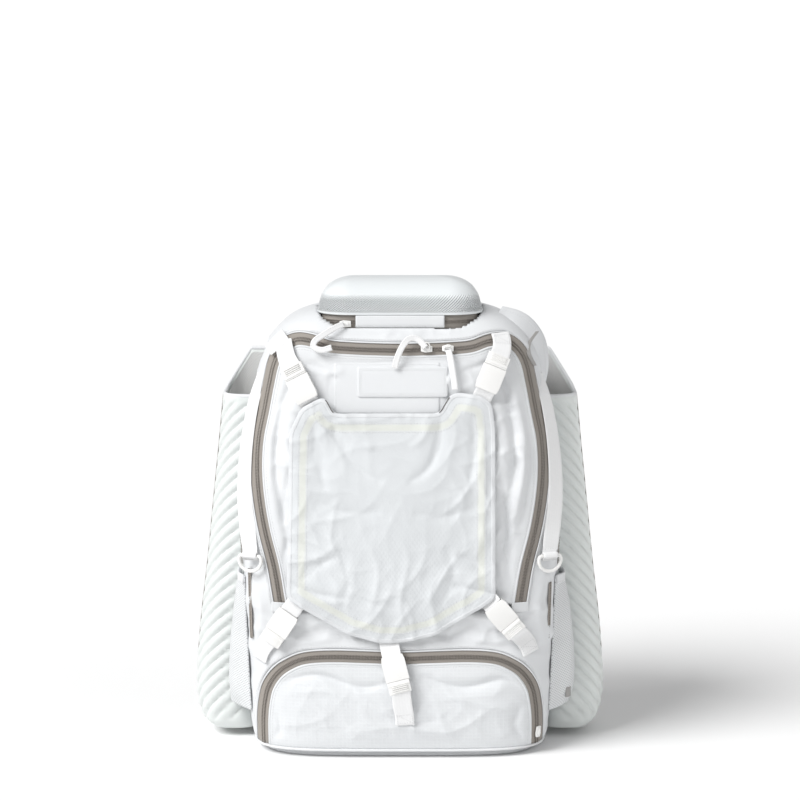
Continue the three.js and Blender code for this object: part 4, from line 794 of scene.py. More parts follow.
@dataclass(frozen=True)
class Cloth:
    """A woven finish: its colour, its threads and how far they stand out."""

    name: str
    colour: tuple[float, float, float]
    weave: Weave = Weave.PLAIN
    pitch: float = 5.0
    depth: float = 0.12
    # shade: how dark the painted shade in the weave's grooves and the mesh's holes makes the colour
    shade: float = 0.95
    roughness: float = 0.6
    sheen: float = 0.08
    crumple: float = 0.35

    def _ridge(self, desk: Desk, where: bpy.types.NodeSocket, axis: int, pitch: float,
               sharp: float) -> bpy.types.NodeSocket:
        """Thin raised lines across one axis of the cloth, pitch mm apart."""
        split = desk.node("ShaderNodeSeparateXYZ", {0: where}).outputs[axis]
        wave = desk.maths("SINE", desk.maths("MULTIPLY", split, math.tau * 500 / pitch))
        return desk.maths("POWER", desk.maths("ABSOLUTE", wave), sharp)

    def _threads(self, desk: Desk) -> tuple[bpy.types.NodeSocket, bpy.types.NodeSocket]:
        """The cloth's relief, and how much lighter its colour is at each place: painted shade, darker in the
        grooves between the threads and in the mesh's holes.
        """
        flat, fine = desk.place((1, 1, 1)), self.pitch / 6
        if self.weave is Weave.RIBBED:
            ribs = self._ridge(desk, flat, 1, self.pitch, 0.8)
            edge = self._ridge(desk, flat, 0, self.pitch * 2.2, 1.4)
            both = desk.maths("ADD", desk.maths("MULTIPLY", ribs, 0.8), desk.maths("MULTIPLY", edge, 0.25))
            return both, both
        if self.weave is Weave.TWILL:
            slanted = desk.place((1, 1, 1), 38)
            lines = self._ridge(desk, slanted, 0, self.pitch, 1.0)
            return lines, lines
        if self.weave is Weave.KNIT:
            cells = desk.node(
                "ShaderNodeTexVoronoi", {"Vector": desk.place((1, 1, 1), 30), "Scale": 1000 / self.pitch,
                                         "Randomness": 0.0}, feature="F1",
            ).outputs["Distance"]
            # the mesh's holes are painted darker: painted shade inside them
            holes = desk.node("ShaderNodeMapRange", {0: cells, 1: 0.18, 2: 0.42}).outputs[0]
            return holes, holes
        if self.weave is Weave.DIAMOND:
            one = self._ridge(desk, desk.place((1, 1, 1), 33), 0, self.pitch, 5.0)
            two = self._ridge(desk, desk.place((1, 1, 1), -33), 0, self.pitch, 5.0)
            height = desk.node("ShaderNodeSeparateXYZ", {0: flat}).outputs[1]
            low = desk.node("ShaderNodeMapRange", {0: height, 1: 0.33, 2: 0.23}).outputs[0]
            net = desk.maths("MULTIPLY", desk.maths("MAXIMUM", one, two), low)
            cloth = self._ridge(desk, flat, 0, fine * 1.6, 1.0)
            return desk.maths("ADD", net,
                              desk.maths("MULTIPLY", cloth, 0.3)), desk.maths("MAXIMUM", net, 0.5)
        one, two = self._ridge(desk, flat, 0, fine, 1.0), self._ridge(desk, flat, 1, fine, 1.0)
        cloth = desk.maths("MULTIPLY", desk.maths("ADD", one, two), 0.12)
        if self.weave is Weave.PLAIN:
            return cloth, desk.maths("MULTIPLY", cloth, 4.0)
        rips = desk.maths(
            "MAXIMUM", self._ridge(desk, flat, 0, self.pitch, 9.0),
            self._ridge(desk, flat, 1, self.pitch, 9.0)
        )
        return desk.maths("ADD", rips, cloth), rips

    def make(self) -> bpy.types.Material:
        """The material."""
        desk = Desk(self.name)
        relief, light = self._threads(desk)
        body = desk.place((1, 1, 1), uv=False)
        patches = desk.noise(body, 14.0, 4.0)
        crumple = desk.noise(body, 55.0, 5.0)
        # painted shade: the colour darkens to shade times itself where the thread relief is low, in grooves
        # and mesh holes
        tone = desk.blend(light, [c * self.shade for c in self.colour], self.colour)
        if self.weave is Weave.DIAMOND:
            frame_band = desk.node("ShaderNodeAttribute", attribute_name="frame").outputs["Fac"]
            tone = desk.blend(desk.maths("MULTIPLY", frame_band, 0.5), tone, (0.71, 0.72, 0.62))
        worn = desk.blend(desk.maths("MULTIPLY", patches, 0.06), tone, [c * 0.6 for c in self.colour])
        soft = desk.bump(crumple, 0.0012 * self.crumple, 0.5)
        normal = desk.bump(relief, self.depth * MM, 0.8, soft)
        made = desk.finish(worn, normal, Roughness=self.roughness, Sheen_Weight=self.sheen)
        desk.shader.inputs["Sheen Roughness"].default_value = 0.4
        return made


@dataclass(frozen=True)
class Moulded:
    """A smooth moulded finish: plastic, rubber or foam with a fine grain."""

    name: str
    colour: tuple[float, float, float]
    roughness: float = 0.4
    grain: float = 900.0
    depth: float = 0.05
    scatter: float = 0.0
    twill: tuple[float, float] | None = None

    def _twill(self, desk: Desk, under: bpy.types.NodeSocket) -> bpy.types.NodeSocket:
        """A band of slanting pressed lines between two heights."""
        low, high = self.twill
        where = desk.node("ShaderNodeSeparateXYZ", {0: desk.place((1, 1, 1))})
        slant = desk.maths("ADD", where.outputs[0], desk.maths("MULTIPLY", where.outputs[1], -1.2))
        lines = desk.maths("SINE", desk.maths("MULTIPLY", slant, math.tau / 0.0034))
        above = desk.node("ShaderNodeMapRange", {0: where.outputs[1], 1: low, 2: low + 0.002}).outputs[0]
        below = desk.node("ShaderNodeMapRange", {0: where.outputs[1], 1: high, 2: high - 0.008}).outputs[0]
        return desk.bump(desk.maths("MULTIPLY", lines, desk.maths("MULTIPLY", above, below)), 0.0011, 1.0,
                         under)

    def make(self) -> bpy.types.Material:
        """The material."""
        desk = Desk(self.name)
        body = desk.place((1, 1, 1), uv=False)
        patches = desk.noise(body, 22.0, 3.0)
        tone = desk.blend(desk.maths("MULTIPLY", patches, 0.1), self.colour,
                          [c * 0.78 for c in self.colour])
        grain = desk.noise(body, self.grain, 2.0)
        rough = desk.maths("ADD", desk.maths("MULTIPLY", patches, 0.12), self.roughness - 0.06)
        normal = desk.bump(grain, self.depth * MM, 0.6)
        if self.twill:
            normal = self._twill(desk, normal)
        made = desk.finish(tone, normal, Roughness=rough)
        if self.scatter:
            desk.shader.inputs["Subsurface Weight"].default_value = self.scatter
            desk.shader.inputs["Subsurface Scale"].default_value = 0.004
            desk.shader.inputs["Subsurface Radius"].default_value = (1.0, 0.95, 0.9)
        return made


WHITE = (0.715, 0.73, 0.745)


class Finishes:
    """Every material of the bag, made once."""

    def __init__(self) -> None:
        """Makes the materials."""
        self.ripstop = Cloth("ripstop cloth", WHITE, Weave.RIPSTOP, 4.5, 0.1, 0.975).make()
        self.diamond = Cloth("diamond cloth", (0.675, 0.695, 0.71), Weave.DIAMOND, 4.2, 0.12, 0.955).make()
        self.plain = Cloth("plain cloth", (0.735, 0.748, 0.762), Weave.PLAIN, 5.0, 0.1).make()
        self.hem = Cloth("hem", (0.70, 0.715, 0.73), Weave.PLAIN, 5.0, 0.1).make()
        self.webbing = Cloth("webbing", (0.86, 0.862, 0.865), Weave.RIBBED, 1.5, 0.16, 0.93, 0.7, 0.1,
                             0.1).make()
        self.binding = Cloth("binding tape", (0.76, 0.77, 0.78), Weave.RIBBED, 1.4, 0.14, 0.94, 0.65, 0.1,
                             0.15).make()
        self.tape = Cloth("zip tape", (0.33, 0.30, 0.27), Weave.TWILL, 1.4, 0.14, 0.8, 0.75, 0.1,
                          0.1).make()
        self.mesh = Cloth("knit mesh", (0.75, 0.765, 0.775), Weave.KNIT, 2.4, 0.3, 0.66, 0.7, 0.1,
                          0.2).make()
        self.air_mesh = Cloth("air mesh", (0.74, 0.75, 0.76), Weave.KNIT, 3.4, 0.5, 0.66, 0.75, 0.12,
                              0.3).make()
        self.reflective = Cloth("grey trim", (0.36, 0.35, 0.34), Weave.TWILL, 1.8, 0.1, 0.85, 0.5, 0.05,
                                0.1).make()
        self.coil = Moulded("zip coil", (0.15, 0.133, 0.118), 0.42, 1200.0, 0.02).make()
        self.plastic = Moulded("white plastic", (0.85, 0.845, 0.83), 0.32, 1400.0, 0.02, 0.04).make()
        self.foam = Moulded("moulded foam", (0.725, 0.755, 0.74), 0.42, 1100.0, 0.06, 0.02).make()
        self.case = Moulded("moulded case", (0.74, 0.768, 0.778), 0.33, 1300.0, 0.04, 0.02,
                            twill=(0.511, 0.532)).make()
        self.lining = Cloth("pale lining", (0.72, 0.72, 0.71), Weave.TWILL, 2.4, 0.2, 0.9, 0.8, 0.1,
                            0.2).make()
        self.thread = Moulded("thread", (0.68, 0.685, 0.69), 0.7, 900.0, 0.03).make()
        # painted shadow: a near-black finish for the thin lines down the flap's notch, standing in for the
        # shade there
        self.notch_shadow_paint = Moulded("painted notch shadow", (0.12, 0.11, 0.105), 0.7, 900.0, 0.03).make()


FINISH = Finishes()


def dress(piece: bpy.types.Object, material: bpy.types.Material, slot: str, *nodes: str,
          body: str = BAG) -> bpy.types.Object:
    """Gives a piece its material and the body it moves with, and hides the frame nodes that it stands for."""
    piece.data.materials.clear()
    piece.data.materials.append(material)
    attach(piece, body)
    if nodes:
        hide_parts(*nodes)
    log.info("%s: %d faces", piece.name, len(piece.data.polygons))
    return piece


class BeadTree:
    """A node tree that sets one small rounded bead on each point: a zip's tooth, or a stitch."""

    def __init__(self) -> None:
        """Builds the tree with named inputs for the bead's sizes."""
        self.tree = bpy.data.node_groups.new("bead on each point", "GeometryNodeTree")
        face = self.tree.interface
        face.new_socket("Geometry", in_out="INPUT", socket_type="NodeSocketGeometry")
        self.inputs = {
            key: face.new_socket(key, in_out="INPUT", socket_type=kind).identifier
            for key, kind in (
                ("Length", "NodeSocketFloat"), ("Width", "NodeSocketFloat"), ("Height", "NodeSocketFloat"),
                ("Material", "NodeSocketMaterial"),
            )
        }
        face.new_socket("Geometry", in_out="OUTPUT", socket_type="NodeSocketGeometry")
        nodes, link = self.tree.nodes, self.tree.links.new
        start, end = nodes.new("NodeGroupInput"), nodes.new("NodeGroupOutput")
        along, out = (nodes.new("GeometryNodeInputNamedAttribute") for _ in range(2))
        for node, key in ((along, "along"), (out, "out")):
            node.data_type = "FLOAT_VECTOR"
            node.inputs["Name"].default_value = key
        axes = nodes.new("FunctionNodeAxesToRotation")
        axes.primary_axis, axes.secondary_axis = "X", "Z"
        bead = nodes.new("GeometryNodeMeshUVSphere")
        bead.inputs["Segments"].default_value, bead.inputs["Rings"].default_value = 6, 4
        bead.inputs["Radius"].default_value = 0.5
        size, spread = nodes.new("ShaderNodeCombineXYZ"), nodes.new("GeometryNodeInstanceOnPoints")
        real, paint = nodes.new("GeometryNodeRealizeInstances"), nodes.new("GeometryNodeSetMaterial")
        smooth = nodes.new("GeometryNodeSetShadeSmooth")
        link(along.outputs[0], axes.inputs[0])
        link(out.outputs[0], axes.inputs[1])
        link(start.outputs["Geometry"], spread.inputs["Points"])
        link(bead.outputs["Mesh"], spread.inputs["Instance"])
        link(axes.outputs[0], spread.inputs["Rotation"])
        for k, key in enumerate(("Length", "Width", "Height")):
            link(start.outputs[key], size.inputs[k])
        link(size.outputs[0], spread.inputs["Scale"])
        link(spread.outputs[0], smooth.inputs[0])
        link(smooth.outputs[0], real.inputs[0])
        link(real.outputs[0], paint.inputs["Geometry"])
        link(start.outputs["Material"], paint.inputs["Material"])
        link(paint.outputs[0], end.inputs[0])

    def make(self, name: str, at: np.ndarray, along: np.ndarray, out: np.ndarray,
             size: tuple[float, float, float], material: bpy.types.Material) -> bpy.types.Object:
        """One mesh of beads.

        Args:
            name: The piece's name.
            at: The beads' middles in mm.
            along: Each bead's length direction.
            out: Each bead's outward direction.
            size: Length, width and height in mm.
            material: Their material.

        Returns:
            The beads as a plain mesh object.
        """
        mesh = bpy.data.meshes.new(name + "_points")
        mesh.from_pydata((at * MM).tolist(), [], [])
        for key, rows in (("along", along), ("out", out)):
            layer = mesh.attributes.new(key, "FLOAT_VECTOR", "POINT")
            layer.data.foreach_set("vector", np.asarray(rows, np.float32).ravel())
        source = bpy.data.objects.new(name + "_points", mesh)
        bpy.context.scene.collection.objects.link(source)
        modifier = source.modifiers.new("beads", "NODES")
        modifier.node_group = self.tree
        for key, value in zip(("Length", "Width", "Height"), size):
            modifier[self.inputs[key]] = value * MM
        modifier[self.inputs["Material"]] = material
        made = bpy.data.objects.new(name, evaluated(source))
        made.data.name = name
        bpy.context.scene.collection.objects.link(made)
        bpy.data.objects.remove(source)
        return made


class RibTree:
    """A node tree that presses slanting grooves into a plain wall, by each point's phase and share."""

    def __init__(self) -> None:
        """Builds the tree with named inputs for the grooves' depth and sharpness."""
        self.tree = bpy.data.node_groups.new("grooves in a wall", "GeometryNodeTree")
        face = self.tree.interface
        face.new_socket("Geometry", in_out="INPUT", socket_type="NodeSocketGeometry")
        self.inputs = {
            key: face.new_socket(key, in_out="INPUT", socket_type=kind).identifier
            for key, kind in (
                ("Depth", "NodeSocketFloat"), ("Sharpness", "NodeSocketFloat"),
                ("Material", "NodeSocketMaterial"),
            )
        }
        face.new_socket("Geometry", in_out="OUTPUT", socket_type="NodeSocketGeometry")
        nodes, link = self.tree.nodes, self.tree.links.new
        start, end = nodes.new("NodeGroupInput"), nodes.new("NodeGroupOutput")
        phase, share, inward = (nodes.new("GeometryNodeInputNamedAttribute") for _ in range(3))
        for node, key, kind in ((phase, "phase", "FLOAT"), (share, "share", "FLOAT"),
                                (inward, "in", "FLOAT_VECTOR")):
            node.data_type = kind
            node.inputs["Name"].default_value = key

        def maths(operation: str, *values: object) -> bpy.types.NodeSocket:
            """The result of a Math node on values or sockets."""
            made = nodes.new("ShaderNodeMath")
            made.operation = operation
            for k, value in enumerate(values):
                if isinstance(value, bpy.types.NodeSocket):
                    link(value, made.inputs[k])
                else:
                    made.inputs[k].default_value = value
            return made.outputs[0]

        turn = maths("MULTIPLY", phase.outputs[0], math.pi)
        crest = maths("ABSOLUTE", maths("SINE", turn))
        groove = maths("SUBTRACT", 1.0, maths("POWER", crest, start.outputs["Sharpness"]))
        depth = maths("MULTIPLY", maths("MULTIPLY", groove, share.outputs[0]), start.outputs["Depth"])
        move, place = nodes.new("ShaderNodeVectorMath"), nodes.new("GeometryNodeSetPosition")
        move.operation = "SCALE"
        link(inward.outputs[0], move.inputs[0])
        link(depth, move.inputs["Scale"])
        real, paint = nodes.new("GeometryNodeRealizeInstances"), nodes.new("GeometryNodeSetMaterial")
        link(start.outputs["Geometry"], place.inputs["Geometry"])
        link(move.outputs[0], place.inputs["Offset"])
        link(place.outputs[0], real.inputs[0])
        link(real.outputs[0], paint.inputs["Geometry"])
        link(start.outputs["Material"], paint.inputs["Material"])
        link(paint.outputs[0], end.inputs[0])

    def press(self, piece: bpy.types.Object, depth: float, sharpness: float,
              material: bpy.types.Material) -> bpy.types.Object:
        """Presses the grooves into a piece that holds phase, share and in, and keeps the result."""
        modifier = piece.modifiers.new("grooves", "NODES")
        modifier.node_group = self.tree
        modifier[self.inputs["Depth"]] = depth * MM
        modifier[self.inputs["Sharpness"]] = sharpness
        modifier[self.inputs["Material"]] = material
        mesh = evaluated(piece)
        piece.modifiers.remove(modifier)
        piece.data = mesh
        return piece


BEADS = BeadTree()
RIBS = RibTree()


def stitches(name: str, line: np.ndarray, out: np.ndarray, pitch: float = 3.4, length: float = 2.4,
             thick: float = 0.75, material: bpy.types.Material | None = None,
             body: str = BAG) -> bpy.types.Object:
    """A row of stitches along a line.

    Args:
        name: The piece's name.
        line: The line's points in mm, on the cloth's outer face.
        out: The outward direction at each point.
        pitch: How far apart they are.
        length: How long each is.
        thick: The thread's thickness.
        material: The thread.
        body: The body they move with.

    Returns:
        The stitches.
    """
    count = max(int(line_length(line) / pitch), 2)
    both = resample(np.hstack([line, out]), count)
    at, up = both[:, :3], both[:, 3:]
    along = np.gradient(at, axis=0)
    made = BEADS.make(name, at, along, up, (length, thick, thick * 0.8), material or FINISH.thread)
    return dress(made, material or FINISH.thread, "webbing", body=body)


def on_front(path: np.ndarray, lift: float,
             surface: Callable | None = None) -> tuple[np.ndarray, np.ndarray]:
    """A flat x, z line laid on the front.

    Args:
        path: The line's x and z.
        lift: How far it stands off the cloth.
        surface: The y of the cloth over x, z, if it isn't the panels' own.

    Returns:
        Its points, and the outward direction at each.
    """
    y = (surface or BODY.cloth)(path[:, 0], path[:, 1]) - lift
    out = np.array([BODY.normal(x, z) for x, z in path])
    return np.stack([path[:, 0], y, path[:, 1]], axis=1), out


def even_turns(count: int) -> np.ndarray:
    """Turns round the body's section, in degrees, at even steps along its outline."""
    u = np.linspace(0, 1, 1500, endpoint=False)
    quarter = 90 * u**3 / (u**3 + (1 - u) ** 3)
    turns = np.concatenate([quarter, 180 - quarter[::-1], 180 + quarter, 360 - quarter[::-1]])
    turns = np.unique(turns)
    turns = np.append(turns[turns < 360], 360.0)
    line = BODY.point(np.full(turns.shape, 300.0), turns)
    length = lengths_to(line)
    return np.interp(np.linspace(0, length[-1], count, endpoint=False), length, turns)


def softened(loop: np.ndarray, step: float, window: int, closed: bool = False) -> np.ndarray:
    """A line with its corners rounded.

    Args:
        loop: Its points.
        step: The steps of the result.
        window: How many steps a corner is spread over.
        closed: Whether its end joins its start.

    Returns:
        The rounded line.
    """
    points = resample(np.vstack([loop, loop[:1]]) if closed else loop, int(line_length(loop) / step) + 2)
    if closed:
        points = points[:-1]
        ends = np.vstack([points[-window:], points, points[:window]])
    else:
        ends = np.vstack([np.repeat(points[:1], window, 0), points, np.repeat(points[-1:], window, 0)])
    kernel = np.ones(window) / window
    soft = np.stack([np.convolve(ends[:, k], kernel, "same") for k in range(points.shape[1])], axis=1)
    soft = soft[window:-window]
    if not closed:
        soft[0], soft[-1] = points[0], points[-1]
    return soft


def stretch(loop: np.ndarray, start: int, end: int, count: int) -> np.ndarray:
    """A closed line from one of its points to another, as count points."""
    stop = end + 1 if end > start else end + 1 + len(loop)
    return resample(loop[np.arange(start, stop) % len(loop)], count)


@dataclass
class BodySkin:
    """The body's outer cloth: the sleeves' channels, the case's shelf and a sunk field under each panel."""

    facets: int = 400
    sunk: float = 6.0
    shelf: float = 493.0
    case_half: tuple[float, float] = (92.4, 52.4)
    case_corner: float = 36.0
    case_y: float = -45.0
    creases: tuple[Crease, ...] = (
        Crease(((148, 470), (158, 440), (170, 408)), 6.0, 2.4),
        Crease(((-150, 468), (-160, 436), (-172, 402)), 6.0, 2.4),
        Crease(((-158, 172), (-118, 152), (-84, 146)), 5.5, -3.4),
        Crease(((-150, 154), (-110, 136), (-70, 140)), 5.0, 3.0),
        Crease(((-96, 158), (-60, 142), (-36, 146)), 5.0, -2.8),
        Crease(((158, 168), (120, 150), (88, 148)), 5.5, -3.4),
        Crease(((150, 152), (112, 136), (74, 142)), 5.0, 3.0),
        Crease(((92, 158), (60, 144), (34, 148)), 5.0, -2.8),
        Crease(((-168, 210), (-158, 168), (-166, 128)), 6.0, 3.0),
        Crease(((168, 214), (158, 172), (167, 130)), 6.0, 3.0),
        Crease(((-166, 100), (-160, 60), (-164, 24)), 6.0, -2.4),
        Crease(((166, 96), (160, 58), (164, 26)), 6.0, -2.4),
        Crease(((-120, 490), (-60, 483), (0, 487)), 5.0, -2.2),
        Crease(((20, 488), (70, 483), (118, 490)), 5.0, -2.2),
        Crease(((-130, 484), (-100, 494), (-84, 500)), 5.0, 2.0),
    )

    def _heights(self) -> np.ndarray:
        """The heights of the skin's rings."""
        return np.concatenate(
            [np.linspace(0, 20, 11), np.linspace(22.4, 440, 168), np.linspace(442.5, 505, 30),
             np.linspace(506.5, 516, 12)]
        )

    def _sunk(self, points: np.ndarray) -> np.ndarray:
        """The skin sinks inside each zip's path."""
        x, z = points[..., 0], points[..., 2]
        depth = np.zeros(x.shape)
        for path in (BODY.main_zip, BODY.shoe_zip):
            away, _ = distance_to(np.vstack([path, path[:1]]), x, z)
            signed = np.where(inside(path, x, z), away, -away)
            depth = np.maximum(depth, smoothstep(-9.5, -5.6, signed))
        points[..., 1] += np.where(points[..., 1] < 0, self.sunk * depth, 0)
        return points

    def _clear(self, points: np.ndarray) -> np.ndarray:
        """The skin stays out of the sleeves, and lies flat under the case."""
        x, y, z = points[..., 0], points[..., 1], points[..., 2]
        limit = SLEEVE.inner_edge(y, z)
        points[..., 0] = np.sign(x) * np.minimum(np.abs(x), limit)
        across = np.maximum(np.abs(x) - (self.case_half[0] - self.case_corner), 0)
        along = np.maximum(np.abs(y - self.case_y) - (self.case_half[1] - self.case_corner), 0)
        under = np.hypot(across, along) < self.case_corner + 0.4
        points[..., 2] = np.where(under, np.minimum(z, self.shelf), z)
        return points

    def build(self) -> None:
        """Builds the skin as rings from the base up, closed over the top and the base."""
        turns = even_turns(self.facets)
        heights = self._heights()
        rings = BODY.point(heights[:, None], turns[None])
        top, foot = rings[-1], rings[0]
        lids = [top * [s, s, 1] for s in np.linspace(0.93, 0.03, 18)]
        floor = [foot * [s, s, 1] for s in np.linspace(0.04, 0.96, 8)]
        points = np.concatenate([np.array(floor), rings, np.array(lids)])
        x, y, z = points[..., 0], points[..., 1], points[..., 2]
        width, _, _ = BODY.sizes(z)
        out = np.stack([x / width, y / 110, np.zeros(x.shape)], axis=-1)
        out /= np.maximum(np.linalg.norm(out, axis=-1, keepdims=True), 1e-6)
        wave = 1.3 * ripples(y + x * 0.4, z, 90, 3) + 0.6 * ripples(y - x * 0.5, z, 36, 5)
        fade = smoothstep(2, 30, z) * smoothstep(512, 480, z)
        side = smoothstep(0.5, 0.85, np.abs(x) / width)
        low = smoothstep(122, 138, z) * smoothstep(196, 176, z)
        crush = 2.8 * crumple(x, z, 36, 54) * low + 1.3 * crumple(x, z, 40, 55)
        beside = np.minimum(distance_to(BODY.main_zip, x, z)[0], distance_to(BODY.shoe_zip, x, z)[0])
        crush = (sum(c.height(x, z) for c in self.creases) + crush) * smoothstep(8.5, 20, beside)
        front = np.where(y < 0, crush, 1.2 * crumple(x, z, 46, 56))
        points += out * ((wave * side + front) * fade)[..., None]
        points = self._clear(self._sunk(points))
        rows, columns = points.shape[:2]
        verts = points.reshape(-1, 3)
        faces = grid_faces(rows, columns, wrap=True)
        faces += end_faces(rows, columns)
        piece = new_piece("body_skin", verts, faces)
        step = np.linalg.norm(np.roll(rings, -1, axis=1) - rings, axis=2)[90]
        round_about = np.concatenate([[0], np.cumsum(step)[:-1]])
        uv = np.stack([np.broadcast_to(round_about, (rows, columns)), z], axis=-1)
        set_uv(piece, uv.reshape(-1, 2)[: len(piece.data.vertices)])
        dress(piece, FINISH.plain, "ripstop", "body_shell")


@dataclass
class ZippedPanel:
    """A front panel inside a zip's arch, with its zip, its edges and its stitches."""

    name: str
    path: np.ndarray
    arch: np.ndarray
    folds: tuple
    panel_node: str
    zip_node: str
    split: float
    columns: int
    rows: int
    material: bpy.types.Material
    crush: float
    thickness: float = 2.5
    tape_drop: float = 0.9
    badge: tuple[float, float, float, float] = (-76.0, 47.0, 396.0, 458.0)

    def surface(self, x: np.ndarray, z: np.ndarray) -> np.ndarray:
        """The panel's outer face as y."""
        away, _ = distance_to(np.vstack([self.arch, self.arch[:1]]), x, z)
        left, right, low, high = self.badge
        bare = smoothstep(left - 8, left, x) * smoothstep(right + 8, right, x)
        bare = bare * smoothstep(low - 8, low, z) * smoothstep(high + 6, high, z)
        fine = 0.6 * ripples(x, z, 58,
                             11) + self.crush * (crumple(x, z, 44, 12) + 0.4 * crumple(x, z, 20, 13))
        fine = fine * (1 - bare)
        return BODY.front(x, z) - BODY.rise(self.arch, self.folds, x, z) - fine * smoothstep(2, 26, away)

    def _edges(self) -> tuple[np.ndarray, np.ndarray, np.ndarray, np.ndarray]:
        """The panel's bottom, top, left and right edges."""
        last = len(self.arch) - 1
        corner = int(self.split * last)
        left = resample(self.arch[: corner + 1], self.rows)
        right = resample(self.arch[last - corner :][::-1], self.rows)
        top = resample(self.arch[corner : last - corner + 1], self.columns)
        return np.linspace(left[0], right[0], self.columns), top, left, right

    def _panel(self) -> None:
        """The cloth inside the arch."""
        flat = coons(*self._edges())
        x, z = flat[..., 0], flat[..., 1]
        y = self.surface(x, z)
        front = np.stack([x, y, z], axis=-1)
        piece = shell(self.name, front, front + [0, self.thickness, 0], flat, 0.3)
        dress(piece, self.material, "ripstop", self.panel_node)

    def _tape(self) -> None:
        """The zip's tape, sunk a little below the cloth."""
        line = resample(self.path, int(line_length(self.path) / 2.5))
        offsets = np.array([-6.8, -5, -3.2, -2.3, -1.4, 0, 1.4, 2.3, 3.2, 5, 6.8])
        lift = np.array([0, 0, 0, 0.1, 0.55, 0.7, 0.55, 0.1, 0, 0, 0])
        grid = np.stack([shifted(line, o) for o in offsets], axis=1)
        y = BODY.front(grid[..., 0], grid[..., 1]) + self.tape_drop - lift
        front = np.stack([grid[..., 0], y, grid[..., 1]], axis=-1)
        along = lengths_to(line)
        uv = np.stack(np.broadcast_arrays(offsets[None, :], along[:, None]), axis=-1)
        piece = shell(self.name + "_tape", front, front + [0, 1.0, 0], uv, 0.1)
        dress(piece, FINISH.tape, "zip_tape", self.zip_node)

    def _coil(self) -> None:
        """The two rows of the zip's teeth."""
        for sign in (-1, 1):
            flat = shifted(self.path, sign * 1.25)
            line, out = on_front(resample(flat, int(line_length(flat) / 1.7)), 0, BODY.front)
            line += out * (0.35 - self.tape_drop + 0.35)
            tangent = np.gradient(line, axis=0)
            across = np.cross(tangent, out)
            teeth = BEADS.make(
                f"{self.name}_teeth_{'in' if sign < 0 else 'out'}", line, across, out, (2.9, 1.25, 1.7),
                FINISH.coil
            )
            dress(teeth, FINISH.coil, "zip_tape")

    def _trim(self) -> None:
        """The folded cloth edges beside the tape, and the stitches that hold them."""
        for offset, word in ((7.9, "outer"), (-7.7, "inner")):
            flat = shifted(self.path, offset)
            line, out = on_front(resample(flat, int(line_length(flat) / 3)), 0.15, BODY.front)
            piece = tube(f"{self.name}_{word}_edge", line, 0.95, 8, flat=0.6, out=out)
            dress(piece, FINISH.plain, "ripstop")
            seam = shifted(self.path, offset * 1.42)
            line, out = on_front(resample(seam, int(line_length(seam) / 4)), 0.1)
            stitches(f"{self.name}_{word}_stitches", line, out)

    def build(self) -> None:
        """Builds the panel and its zip."""
        self._panel()
        self._tape()
        self._coil()
        self._trim()


